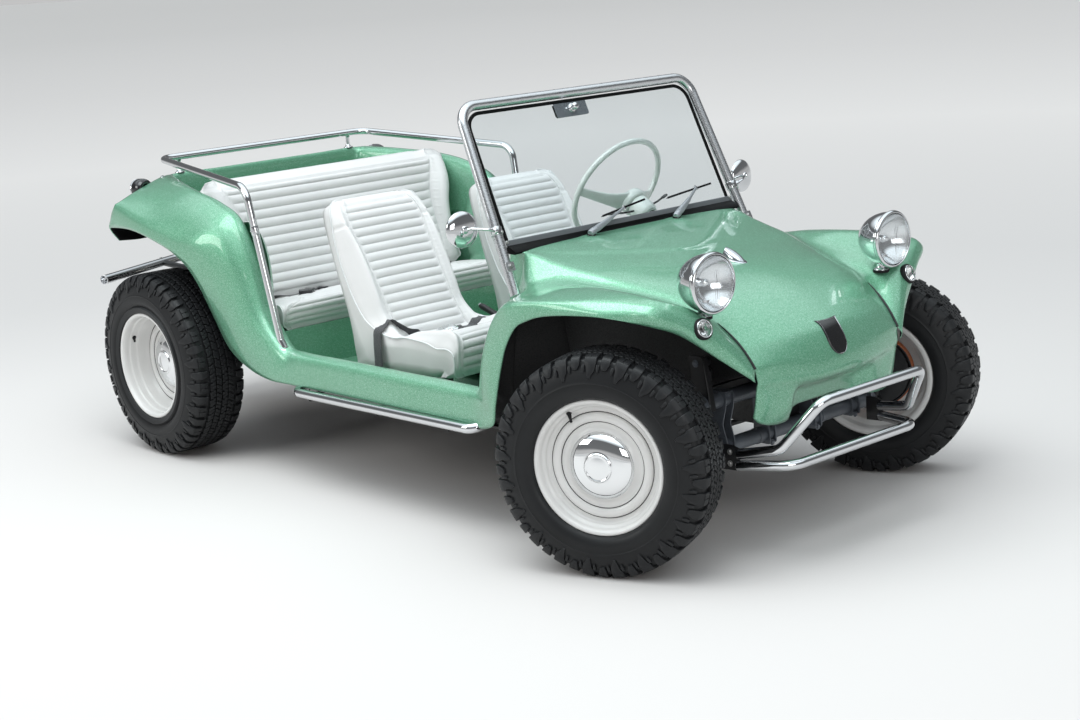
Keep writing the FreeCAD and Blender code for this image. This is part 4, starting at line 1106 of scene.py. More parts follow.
# disc: from the seam with the barrel in to the hub
DISC_RING = [(-0.6, 161.2), (3.5, 160.6), (7.5, 158), (10.2, 153.6), (11, 148), (10.6, 142), (8.8, 137.2), (5.6, 134.2), (2.2, 133.2)]
DISC_CONE = [(1.4, 130.8), (0.4, 128), (-0.6, 124), (-0.4, 119), (1.2, 114), (3.8, 109.4), (6.2, 106.6), (8, 104.5), (8.2, 100), (6, 92), (5, 60), (5, 30)]
DISC_AT = {"front": 44.0, "rear": 0.0}
DRUM = [(13, 0), (13, 66), (9, 74), (2, 80), (-1, 112), (-4, 118), (-6, 122), (-9, 124)]


def build_wheel(end, side):
    T, R, W, rim_half, count = TYRE_DIMS[end]
    c, a = wheel_frame(end, side)
    body_name = "wheel_%s_%s" % (end, side)
    tag = "%s_%s" % (end, side)
    # tyre
    B = Builder()
    lathe(B, carcass_profile(T, R, W, rim_half), c, a, 96, closed=True)
    P, F = tread_blocks(T, R, W, count)
    B.add(axis_points(P, c, a), F)
    ob = B.object("tyre_" + tag, row_frame=True)
    orient_out(ob, c)
    sharp_by_angle(ob, 38)
    finish_piece(ob, body_name, "tyre", "tyre_rubber", ("%s_tyre_%s" % (end, side),))
    # rim
    B = Builder()
    d0 = DISC_AT[end]
    bar = RIM[end]
    lathe(B, bar, c, a, 96)
    # the seam and the ring groove take the dark finish (index 1): painted shade in the recesses
    seam = [(bar[-1][0], bar[-1][1]), (bar[-1][0] - 3.0, bar[-1][1] - 0.8), (d0 - 3.2, 162.0), (d0 + DISC_RING[0][0], DISC_RING[0][1])]
    lathe(B, seam, c, a, 96, mat=1)
    lathe(B, [(d0 + h, r) for h, r in DISC_RING], c, a, 96)
    lathe(B, [(d0 + 2.2, 133.2), (d0 - 0.6, 132.8), (d0 - 1.0, 131.6), (d0 + 1.4, 130.8)], c, a, 96, mat=1)
    lathe(B, [(d0 + h, r) for h, r in DISC_CONE], c, a, 96)
    # back of the disc, and the barrel seen from inboard
    lathe(B, [(d0 + 5, 30), (d0 - 1, 30), (d0 - 4, 84), (d0 - 9, 116), (d0 - 8, 140), (d0 - 10, 161)], c, a, 96)
    hh = rim_half
    lathe(B, [(d0 - 10, 161), (d0 - 14, 163.5), (-hh + 52, 163.5), (-hh + 42, 168), (-hh + 34, 178), (-hh + 28, 181.5), (-hh + 12, 184), (-hh + 5, 188),
              (-hh + 1.5, 194), (-hh, 200), (-hh + 0.4, 204), (-hh + 2.4, 206.6), (-hh + 5, 207), (-hh + 7.5, 206), (-hh + 8, 203)], c, a, 96)
    ob = B.object("rim_" + tag, row_frame=True, weld=0.05)
    orient_turned(ob, c, a)
    finish_piece(ob, body_name, ["white", "groove"], "wheel_white", ("%s_rim_%s" % (end, side),))
    # valve: rubber foot, tapered stem and cap
    B = Builder()
    ang = math.radians({"front": -31.0, "rear": -62.0}[end])
    h0, r0, h1, r1 = {"front": (56.0, 182.0, 73.0, 155.0), "rear": (66.0, 186.5, 78.0, 158.0)}[end]
    pts = axis_points(np.array([(ang, h0 + (h1 - h0) * f, r0 + (r1 - r0) * f) for f in (0, 0.08, 0.14, 0.3, 0.62, 0.64, 0.8, 0.97, 1.0)]), c, a)
    sweep(B, pts, 5, 20, radii=[8.6, 8.4, 6.6, 6.0, 4.4, 4.0, 4.3, 4.1, 3.4])
    ob = B.object("valve_" + tag, row_frame=True)
    tidy(ob, 0.02)
    finish_piece(ob, body_name, "rubber", "tyre_rubber")
    # hubcap: rolled edge, dome, plain raised ring round a low centre
    B = Builder()
    prof = [(6, 96), (5.6, 101.6), (6.6, 103), (8.4, 103), (9.6, 101.8), (10.6, 100.9), (13.4, 99.2), (17.2, 95.4), (21.8, 89.4), (26.4, 81), (30.4, 71),
            (33.4, 60), (35.4, 50.5), (36.0, 46), (36.9, 44.4), (38.6, 43.2), (40.2, 42), (40.8, 40.2), (40.6, 38.6), (39.4, 37.4), (38.8, 36), (39.3, 32), (40.4, 24), (41.3, 14), (41.7, 6), (41.8, 0.0)]
    lathe(B, [(d0 + h, r) for h, r in prof], c, a, 96)
    ob = B.object("hubcap_" + tag, row_frame=True, weld=0.05)
    orient_turned(ob, c, a)
    finish_piece(ob, body_name, "hub_chrome", "chrome", ("%s_hubcap_%s" % (end, side),))
    thicken(ob, 1.2, -1.0)
    # drum: hub boss, face, two cooling rings round the rim
    B = Builder()
    f0 = d0 - 12.5
    ring = 1 if (end, side) == ("front", "left") else 0
    lathe(B, [(f0 + h, r) for h, r in DRUM], c, a, 96)
    lathe(B, [(f0 - 9, 124), (f0 - 13, 124), (f0 - 14, 121), (f0 - 17, 121), (f0 - 18, 124), (f0 - 24, 124), (f0 - 25, 121), (f0 - 28, 121), (f0 - 29, 124),
              (f0 - 37, 124), (f0 - 38, 122)], c, a, 96, mat=ring)
    lathe(B, [(f0 - 38, 122), (f0 - 38, 117), (f0 - 12, 114), (f0 - 10, 36), (f0 - 33, 32), (f0 - 34, 30), (f0 - 34, 18), (f0 - 12, 17)], c, a, 96)
    ob = B.object("drum_" + tag, row_frame=True, weld=0.05)
    orient_turned(ob, c, a)
    finish_piece(ob, body_name, ["iron", "orange"], "drum_iron", ("%s_drum_%s" % (end, side),))
    sharp_by_angle(ob, 40)


def orient_out(ob, c):
    """Outward normals on a piece made of many closed shells."""
    bm = bmesh.new()
    bm.from_mesh(ob.data)
    bmesh.ops.recalc_face_normals(bm, faces=bm.faces)
    bm.to_mesh(ob.data)
    bm.free()


def orient_turned(ob, c, a):
    """Consistent normals on an open turned skin, facing outboard."""
    bm = bmesh.new()
    bm.from_mesh(ob.data)
    bmesh.ops.recalc_face_normals(bm, faces=bm.faces)
    cc, aa = Vector(tuple(c / 1000.0)), Vector(tuple(a))
    score = 0.0
    for f in bm.faces:
        score += f.normal.dot(aa) * f.calc_area() * (1 if (f.calc_center_median() - cc).dot(aa) > 0 else -1)
    if score < 0:
        bmesh.ops.reverse_faces(bm, faces=bm.faces)
    bm.to_mesh(ob.data)
    bm.free()


for end_ in ("front", "rear"):
    for side_ in ("right", "left"):
        build_wheel(end_, side_)

# --------------------------------------------------------------- inner mouldings
def poly_object(name, faces, weld=0.5, mats=None):
    """Faces given as lists of points (mm), welded into one mesh."""
    B = Builder()
    for i, f in enumerate(faces):
        B.add(f, [tuple(range(len(f)))], mat=0 if mats is None else mats[i])
    ob = B.object(name, smooth=True)
    bm = bmesh.new()
    bm.from_mesh(ob.data)
    bmesh.ops.remove_doubles(bm, verts=bm.verts, dist=weld / 1000.0)
    bmesh.ops.recalc_face_normals(bm, faces=bm.faces)
    bm.to_mesh(ob.data)
    bm.free()
    return ob


def face_up(ob, point_mm):
    """Turns all normals so that most faces look towards a point."""
    bm = bmesh.new()
    bm.from_mesh(ob.data)
    q = Vector(tuple(place(point_mm)[0]))
    s = 0.0
    for f in bm.faces:
        s += f.normal.dot((q - f.calc_center_median()).normalized()) * f.calc_area()
    if s < 0:
        bmesh.ops.reverse_faces(bm, faces=bm.faces)
    bm.to_mesh(ob.data)
    bm.free()


FZ = 345.0      # top of the cabin floor's covering


def build_tub():
    faces = []
    pillar = [(713, 495, 874), (700, 514, 768), (695, 550, 620), (690, 564, 480), (688, 567, 400), (676, 571, FZ)]
    toe_z = [874, 768, 620, 480, 400, FZ]
    tops = 62.0
    for s in (-1, 1):
        for i in range(5):
            a, b = pillar[i], pillar[i + 1]
            faces.append([(a[0], s * a[1], a[2]), (b[0], s * b[1], b[2]), (806, s * 415, toe_z[i + 1]), (806, s * 415, toe_z[i])])
        # floor, with its edge carried under the sill's inner wall
        faces.append([(676, s * 571, FZ), (806, s * 415, FZ), (806, s * 88, FZ), (-640, s * 88, FZ), (-640, s * 573, FZ), (-510, s * 573, FZ), (640, s * 577, FZ)])
        faces.append([(806, s * 88, FZ), (-640, s * 88, FZ), (-640, s * tops, 459), (806, s * tops, 459)])
        # wall beside the rear wheel, up to the quarter's inner edge
        wall = [(-510, 573, FZ), (-503, 573, 352), (-572, 572, 376), (-640, 573, 434), (-692, 574, 514), (-752, 576, 634), (-800, 578, 742),
                (-890, 579, 757), (-1012, 572, 757), (-1012, 572, 750), (-930, 573, 503), (-640, 573, 503), (-640, 573, FZ)]
        faces.append([(x, s * y, z) for x, y, z in wall])
        # toe board
    cols = [-415, -88, -tops, tops, 88, 415]
    for i in range(5):
        for j in range(5):
            y0, y1 = cols[j], cols[j + 1]
            z0, z1 = toe_z[i + 1], toe_z[i]
            if i == 4 and j in (1, 2, 3):
                continue
            if i == 3 and j in (1, 2, 3):
                z0 = 459 if j == 2 else None
            if z0 is None:
                continue
            faces.append([(806, y0, z0), (806, y1, z0), (806, y1, z1), (806, y0, z1)])
    for s in (-1, 1):
        faces.append([(806, s * 88, FZ), (806, s * 88, 480), (806, s * tops, 480), (806, s * tops, 459)])
    faces.append([(806, -tops, 459), (806, tops, 459), (-640, tops, 459), (-640, -tops, 459)])
    # heel board round the tunnel, shelf, rising panel and the well's floor
    for s in (-1, 1):
        faces.append([(-640, s * 573, FZ), (-640, s * 88, FZ), (-640, s * tops, 459), (-640, s * tops, 503), (-640, s * 573, 503)])
    faces.append([(-640, -tops, 459), (-640, tops, 459), (-640, tops, 503), (-640, -tops, 503)])
    faces.append([(-640, -573, 503), (-640, -tops, 503), (-640, tops, 503), (-640, 573, 503), (-930, 573, 503), (-930, -573, 503)])
    faces.append([(-930, -573, 503), (-930, 573, 503), (-1012, 572, 750), (-1012, -572, 750)])
    faces.append([(-1012, -572, 750), (-1012, 572, 750), (-1043, 566, 751), (-1245, 511, 751), (-1431, 446, 751),
                  (-1431, -446, 751), (-1245, -511, 751), (-1043, -566, 751)])
    ob = poly_object("cabin_tub", faces)
    face_up(ob, (-100, 0, 900))
    finish_piece(ob, "chassis", ["green", "well_black"], "body_green", ("body_tub", "footwell_panels", "rear_well"))
    bevel(ob, 14, 4, 25)
    thicken(ob, 4.0, -1.0, inner_mat=1, rim_mat=1)
    apply_mods(ob)
    sharp_by_angle(ob, 40)
    return ob


def build_liner():
    """Black panels under the hood that stand in as painted shade for the dark inside of the nose, a tank between them.
    """
    faces = []
    top = [(812, 466, 872), (900, 452, 850), (1050, 415, 816), (1150, 384, 794), (1240, 360, 772), (1330, 350, 738), (1400, 346, 700), (1462, 338, 640)]
    low = [(812, 412, 520), (900, 396, 500), (1050, 352, 486), (1150, 332, 486), (1240, 322, 500), (1330, 318, 520), (1400, 314, 540), (1462, 322, 560)]
    for s in (-1, 1):
        for i in range(len(top) - 1):
            a, b, c, d = top[i], top[i + 1], low[i + 1], low[i]
            faces.append([(p[0], s * p[1], p[2]) for p in (a, b, c, d)])
    for i in range(len(low) - 1):
        a, b = low[i], low[i + 1]
        faces.append([(a[0], -a[1], a[2]), (b[0], -b[1], b[2]), (b[0], b[1], b[2]), (a[0], a[1], a[2])])
    ob = poly_object("hood_shade_liner", faces)
    finish_piece(ob, "chassis", "well_black", "chassis_black")
    bevel(ob, 16, 4, 30)
    thicken(ob, 2.5, 0.0)
    apply_mods(ob)
    sharp_by_angle(ob, 40)
    # fuel tank: two pressed halves with a flange round the middle
    B = Builder()

    def ring(x0, x1, hy, z, r):
        pts = []
        for cx, cy, a0 in ((x1 - r, hy - r, 0), (x0 + r, hy - r, 90), (x0 + r, -hy + r, 180), (x1 - r, -hy + r, 270)):
            for t in np.linspace(a0, a0 + 90, 7):
                pts.append((cx + r * math.cos(math.radians(t)), cy + r * math.sin(math.radians(t)), z))
        return pts
    rows = []
    for inset, z in ((120, 398), (40, 396), (14, 402), (3, 416), (0, 436), (0, 470), (-8, 472), (-8, 476), (0, 478), (0, 486)):
        rows.append(ring(880 + inset, 1230 - inset, 300 - inset, z, max(20, 60 - inset * 0.3)))
    B.grid(np.array(rows), wrap_n=True)
    ob = B.object("fuel_tank")
    bm = bmesh.new()
    bm.from_mesh(ob.data)
    bmesh.ops.holes_fill(bm, edges=[e for e in bm.edges if e.is_boundary], sides=0)
    bmesh.ops.recalc_face_normals(bm, faces=bm.faces)
    bm.to_mesh(ob.data)
    bm.free()
    sharp_by_angle(ob, 40)
    finish_piece(ob, "chassis", "satin_black", "chassis_black")


build_tub()
build_liner()


def disc_profile(B, c, axis, prof, seg=48, mat=0):
    return turn(B, prof, c, axis, seg, mat)


MAT["dial"] = mat_plain("dial_black", (0.01, 0.01, 0.011), 0.35, grain=500.0, vary=0.2)
MAT["dial_marks"] = mat_plain("dial_marks", (0.62, 0.62, 0.58), 0.5, grain=500.0, vary=0.08)


def build_dash():
    # panel under the cowl: face, rolled lower edge, ends
    sec = [(640, 893), (633, 888), (629, 872), (622, 842), (610, 800), (602, 770), (599, 758), (600, 750), (604, 745), (611, 744), (618, 747), (622, 753)]
    sec = round_profile(sec, 5, 3)
    ys = np.concatenate([[-484, -482, -476], np.linspace(-465, 465, 40), [476, 482, 484]])
    drop = np.interp(np.abs(ys), [0, 465, 476, 482, 484], [0, 0, 1.5, 5, 10])
    rows = [[(x - 0 * y + d, y, z) for x, z in sec] for y, d in zip(ys, drop)]
    B = Builder()
    B.grid(np.array(rows))
    ob = B.object("dash_panel")
    tidy(ob)
    face_up(ob, (300, 0, 800))
    finish_piece(ob, "chassis", ["green", "well_black"], "body_green", ("dashboard",))
    thicken(ob, 3.0, -1.0, inner_mat=1)
    # dials: bezel, glass-less face with plain marks, needle
    for name, y, r in (("dial_main", 300, 56), ("dial_small_a", 150, 27), ("dial_small_b", 78, 27)):
        t = (820 - 770) / (842 - 800)
        n = np.array([-1.0, 0, -0.28])
        n /= np.linalg.norm(n)
        c = np.array([616.0, y, 826.0])
        B = Builder()
        turn(B, [(-4, r + 5), (2, r + 5.5), (5, r + 4), (6.4, r + 1.5), (5.6, r - 1), (2.5, r - 2.6)], c, n, 56)
        turn(B, [(2.5, r - 2.6), (1.0, r - 3.2), (0.8, 0.0)], c, n, 56, mat=1)
        a, u, w = frame_from(n)
        for k in range(25 if r > 40 else 11):
            th = math.radians(-130 + 260 * k / (24 if r > 40 else 10)) + math.pi / 2
            d = u * math.cos(th) + w * math.sin(th)
            e = np.cross(a, d)
            r0, r1 = r - (13 if k % 2 == 0 else 9), r - 5
            hw = 0.9 if k % 2 == 0 else 0.55
            q = [c + a * 1.5 + d * r0 - e * hw, c + a * 1.5 + d * r1 - e * hw, c + a * 1.5 + d * r1 + e * hw, c + a * 1.5 + d * r0 + e * hw]
            B.add(q + [p - a * 0.5 for p in q], [(0, 1, 2, 3), (0, 4, 5, 1), (1, 5, 6, 2), (2, 6, 7, 3), (3, 7, 4, 0)], mat=2)
        th = math.radians(-118) + math.pi / 2
        d = u * math.cos(th) + w * math.sin(th)
        e = np.cross(a, d)
        q = [c + a * 3 - d * 6 - e * 1.6, c + a * 3 + d * (r - 10) - e * 0.4, c + a * 3 + d * (r - 10) + e * 0.4, c + a * 3 - d * 6 + e * 1.6]
        B.add(q + [p - a * 0.8 for p in q], [(0, 1, 2, 3), (0, 4, 5, 1), (1, 5, 6, 2), (2, 6, 7, 3), (3, 7, 4, 0)], mat=2)
        turn(B, [(3.8, 0), (3.8, 3.6), (2.6, 4.4), (0.8, 4.4)], c, n, 20, mat=0)
        ob = B.object(name)
        tidy(ob)
        finish_piece(ob, "chassis", ["chrome", "dial", "dial_marks"], "chrome")
        sharp_by_angle(ob, 40)
    # switches: nut, sleeve and ball-ended lever
    B = Builder()
    n = np.array([-1.0, 0, -0.28])
    n /= np.linalg.norm(n)
    for y in (10, -26, -62, -98):
        c = np.array([615.5, y, 822.0])
        turn(B, [(-2, 0), (-2, 9), (2.5, 9), (2.8, 8.4), (2.8, 5), (7, 4.8), (7.4, 4)], c, n, 24)
        d = n + np.array([0, 0, -0.5])
        d /= np.linalg.norm(d)
        sweep(B, [c + n * 6, c + n * 6 + d * 5, c + n * 6 + d * 15, c + n * 6 + d * 18], 2, 16, radii=[1.6, 1.8, 2.8, 3.0])
    ob = B.object("dash_switches")
    tidy(ob)
    sharp_by_angle(ob, 40)
    finish_piece(ob, "chassis", "chrome", "chrome")


build_dash()
# ------------------------------------------------------- places on the body skin
from mathutils.bvhtree import BVHTree

_bm = bmesh.new()
_bm.from_mesh(body.data)
BODY_TREE = BVHTree.FromBMesh(_bm)
_bm.free()


def on_body(p, d, far=300.0):
    """Where a line through p along d (mm) first meets the body skin, coming
    from outside, and the outward normal there."""
    d = np.array(d, float)
    d /= np.linalg.norm(d)
    o = place(np.array(p, float) - d * far)[0]
    hit, n, _, _ = BODY_TREE.ray_cast(Vector(tuple(o)), Vector(tuple(d)), 3.0)
    if hit is None:
        return np.array(p, float), -d
    q = np.array(hit) * 1000.0
    q[0] -= SX
    n = np.array(n)
    if n @ d > 0:
        n = -n
    return q, n / np.linalg.norm(n)


def skin_normal(p, d, spread=8.0):
    """Normal of the skin averaged over a small patch round a point."""
    d = np.array(d, float)
    d /= np.linalg.norm(d)
    _, u, w = frame_from(d)
    pts = [on_body(np.array(p, float) + u * a + w * b, d)[0] for a, b in ((spread, 0), (0, spread), (-spread, 0), (0, -spread))]
    n = np.cross(pts[0] - pts[2], pts[1] - pts[3])
    if n @ d > 0:
        n = -n
    return n / np.linalg.norm(n)
# ---------------------------------------------------------------- small fittings
MAT["alu"] = None


def mat_alu():
    """Brushed and polished aluminium: fine lines run along the section."""
    mat, nt, b = new_mat("frame_alu")
    vec = coords(nt)
    mp = nt.nodes.new("ShaderNodeMapping")
    mp.inputs["Scale"].default_value = (260.0, 12.0, 260.0)
    nt.links.new(vec, mp.inputs[0])
    n1 = noise(nt, mp.outputs[0], 2.0, 3.0)
    nt.links.new(ramp(nt, n1.outputs[0], [(0.3, (0.60, 0.61, 0.625)), (0.7, (0.66, 0.67, 0.685))]), b.inputs["Base Color"])
    nt.links.new(map_range(nt, n1.outputs[0], 0.3, 0.7, 0.24, 0.31), b.inputs["Roughness"])
    bump(nt, n1.outputs[0], b, 0.02, 0.0001)
    b.inputs["Metallic"].default_value = 1.0
    return mat


def mat_glass(name, tint, rough=0.0, ior=1.45, flutes=0.0):
    mat, nt, b = new_mat(name)
    vec = coords(nt)
    n1 = noise(nt, vec, 3.0, 2.0)
    nt.links.new(ramp(nt, n1.outputs[0], [(0.3, tuple(c * 0.985 for c in tint)), (0.7, tint)]), b.inputs["Base Color"])
    nt.links.new(map_range(nt, n1.outputs[0], 0.3, 0.7, rough, rough + 0.012), b.inputs["Roughness"])
    b.inputs["Transmission Weight"].default_value = 1.0
    b.inputs["IOR"].default_value = ior
    return mat


MAT["alu"] = mat_alu()
MAT["screen"] = mat_glass("screen_glass", (0.86, 0.90, 0.91), 0.0, 1.25)
MAT["lens"] = mat_glass("lamp_glass", (0.97, 0.98, 0.98), 0.10, 1.45)
MAT["red_lens"] = mat_glass("lens_red", (0.62, 0.02, 0.02), 0.06, 1.45)
MAT["reflector"] = mat_chrome("reflector", (0.84, 0.86, 0.88), 0.14)
MAT["mirror_face"] = mat_chrome("mirror_face", (0.9, 0.91, 0.92), 0.0)
MAT["beam_grey"] = mat_plain("beam_grey", (0.075, 0.085, 0.10), 0.48, metallic=0.1, coat=0.15, grain=180.0, grain_bump=0.35, vary=0.3)
MAT["steel"] = mat_plain("bolt_steel", (0.42, 0.42, 0.41), 0.38, metallic=0.9, grain=300.0, grain_bump=0.2, vary=0.2)
MAT["wiper_grey"] = mat_plain("wiper_silver", (0.34, 0.36, 0.385), 0.32, metallic=0.45, coat=0.3, grain=500.0, grain_bump=0.08, vary=0.08)
MAT["ivory"] = mat_plain("ivory_plastic", (0.60, 0.655, 0.585), 0.3, coat=0.3, grain=260.0, grain_bump=0.08, vary=0.06)
MAT["cast"] = mat_plain("cast_alloy", (0.23, 0.23, 0.225), 0.5, metallic=0.55, grain=160.0, grain_bump=0.5, vary=0.3)


def hex_bolt(B, c, axis, r=6.5, h=4.5, mat=0, washer=True):
    """Bolt head with a washer and a slightly domed top."""
    a, u, w = frame_from(axis)
    c = np.array(c, float)
    if washer:
        turn(B, [(-0.5, r * 1.5), (1.0, r * 1.5), (1.3, r * 1.4), (1.3, r * 0.8)], c, a, 24, mat)
    ang = np.radians(np.arange(6) * 60.0)
    rows = []
    for hh, rr in ((0.8, r * 1.08), (h * 0.82 + 1, r * 1.08), (h + 1, r * 0.94), (h + 1.2, r * 0.5)):
        rows.append(c + a * hh + np.outer(np.cos(ang), u) * rr + np.outer(np.sin(ang), w) * rr)
    G = np.array(rows)
    B.grid(G, wrap_n=True, mat=mat)
    k = B.add(G[-1], [tuple(range(6))], mat)


def tube_piece(name, paths, mat, slot_name, replaced, extra=None, body_name="chassis", seg=28, mats=None):
    B = Builder()
    for p in paths:
        path, rad = p[0], p[1]
        kw = p[2] if len(p) > 2 else {}
        sweep(B, path, rad, seg, **kw)
    if extra:
        extra(B)
    ob = B.object(name)
    tidy(ob, 0.02)
    sharp_by_angle(ob, 40)
    finish_piece(ob, body_name, mats or mat, slot_name, replaced)
    return ob


def mirrored_path(p):
    q = np.array(p, float).copy()
    q[:, 1] *= -1
    return q


def build_bars():
    up = arc_path([(1440, -344, 322), (1575, -310, 348), (1680, -240, 494), (1680, 240, 494), (1575, 310, 348), (1440, 344, 322)],
                  [0, 55, 45, 45, 55, 0], 5)
    lo = arc_path([(1440, -348, 288), (1606, -290, 300), (1612, 290, 300), (1440, 348, 288)], [0, 60, 60, 0], 5)

    def brackets(B):
        for s in (-1, 1):
            # flat bracket behind the tubes' ends, with two bolts
            P = [(1384, 342, 268), (1446, 342, 272), (1446, 342, 340), (1420, 342, 348), (1384, 342, 346)]
            a = [np.array((x, s * y, z)) for x, y, z in P]
            b = [p + np.array((0, s * 7, 0)) for p in a]
            n = len(a)
            B.add(a + b, [tuple(range(n)), tuple(range(2 * n - 1, n - 1, -1))] + [(i, (i + 1) % n, n + (i + 1) % n, n + i) for i in range(n)], mat=1)
            for z in (290, 326):
                hex_bolt(B, (1412, s * 349, z), (0, s, 0), 6.5, 5, 2)
    tube_piece("front_bumper_bars", [(up, 16), (lo, 16)], None, "chrome", ("front_bumper",), brackets, mats=["chrome", "satin_black", "steel"], seg=32)

    rb = arc_path([(-1590, -738, 650), (-1800, -262, 650), (-1800, 262, 650), (-1590, 738, 650)], [0, 300, 300, 0], 8)

    def stays(B):
        for s in (-1, 1):
            p = arc_path([(-1440, s * 372, 640), (-1600, s * 372, 642), (-1752, s * 372, 650)], [0, 60, 0], 8)
            sweep(B, p, 13, 20, mat=1)
            c = np.array([-1748.0, s * 372, 650])
            hex_bolt(B, (-1762, s * 372, 664), (-0.3, 0, 1), 6.5, 5, 2)
            # open tube end: a short dark bore
            e = rb[0] if s < 0 else rb[-1]
            d = (rb[0] - rb[1]) if s < 0 else (rb[-1] - rb[-2])
            d /= np.linalg.norm(d)
            turn(B, [(-0.2, 19.0), (0.3, 18.4), (0.3, 16.4), (-1, 16.0), (-26, 16.0), (-27, 0.0)], e, d, 32, 0)
    B = Builder()
    G_b = sweep(B, rb, 19, 32, caps=False)
    stays(B)
    ob = B.object("rear_bumper_bar")
    tidy(ob)
    sharp_by_angle(ob, 40)
    finish_piece(ob, "chassis", ["chrome", "satin_black", "steel"], "chrome", ("rear_bumper",))

    paths = []
    for s in (-1, 1):
        paths.append((arc_path([(-400, s * 612, 342), (-440, s * 672, 332), (640, s * 672, 344), (600, s * 612, 354)], [0, 42, 42, 0], 5), 17))

    def hangers(B):
        for s in (-1, 1):
            for x in (-300, 90, 480):
                p = arc_path([(x, s * 600, 338), (x, s * 640, 334), (x, s * 668, 338)], [0, 20, 0], 5)
                sweep(B, p, 7, 14, mat=1)
                hex_bolt(B, (x, s * 672, 338 + (x + 300) * 0.011 - 20), (0, 0, -1), 6, 4, 1)
    tube_piece("side_bar_tubes", paths, None, "chrome", ("side_bars",), hangers, mats=["chrome", "satin_black"], seg=32)

    # rear rail: tube with curled feet, sleeves on its legs, posts and flanges
    rail = arc_path([(-514, -618, 470), (-530, -623, 500), (-632, -644, 1058), (-1450, -502, 1114), (-1450, 502, 1114), (-632, 644, 1058), (-530, 623, 500), (-514, 618, 470)],
                    [0, 24, 70, 60, 60, 70, 24, 0], 5)

    def fittings(B):
        for s in (-1, 1):
            a = np.array([-530.0, s * 623, 500])
            b = np.array([-632.0, s * 644, 1058])
            d = (b - a) / np.linalg.norm(b - a)
            c = a + d * (902 - 500) / d[2]
            turn(B, [(-17, 14.1), (-16.6, 15.2), (-14, 15.7), (14, 15.7), (16.6, 15.2), (17, 14.1)], c, d, 32)
            hex_bolt(B, c + np.array((0, s * 15.5, 0)), (0, s, 0), 3.2, 2.4, 0, False)
            # foot flange on the sill
            turn(B, [(-2, 24), (1, 24), (2.5, 22.5), (3.2, 19), (4.5, 15.8), (10, 14.2)], (-515, s * 618, 471), (0.2, 0, 1), 40)
            for k in (-1, 1):
                hex_bolt(B, (-515 + 4 + k * 0.0, s * 618 + k * 19.5, 472), (0.2, 0, 1), 2.6, 2.0, 0, False)
            # posts with a ball flange on the deck
            p = [(-1450, s * 421, 1050), (-1450, s * 421, 1113)]
            sweep(B, arc_path(p, [0, 0], 8), 8.5, 24)
            turn(B, [(-1, 20), (1.6, 20), (3.2, 18.8), (5, 14), (8, 11), (13, 9.6), (18, 8.6)], (-1450, s * 421, 1050), (-0.12, 0, 1), 36)
            turn(B, [(-10, 8.6), (-6, 10.5), (0, 11.5)], (-1450, s * 421, 1104), (0, 0, 1), 28)
            for k in (-1, 1):
                hex_bolt(B, (-1452, s * 421 + k * 15.5, 1051.5), (-0.12, 0, 1), 2.6, 2.0, 0, False)
            # free pair of bolts on the deck outboard of the post
            hex_bolt(B, (-1418, s * 520, 1045.5), (0.1, s * 0.2, 1), 6.5, 4.2, 0)
    tube_piece("rear_rail_tube", [(rail, 14)], "chrome", "chrome", ("rear_rail",), fittings, seg=32)


build_bars()


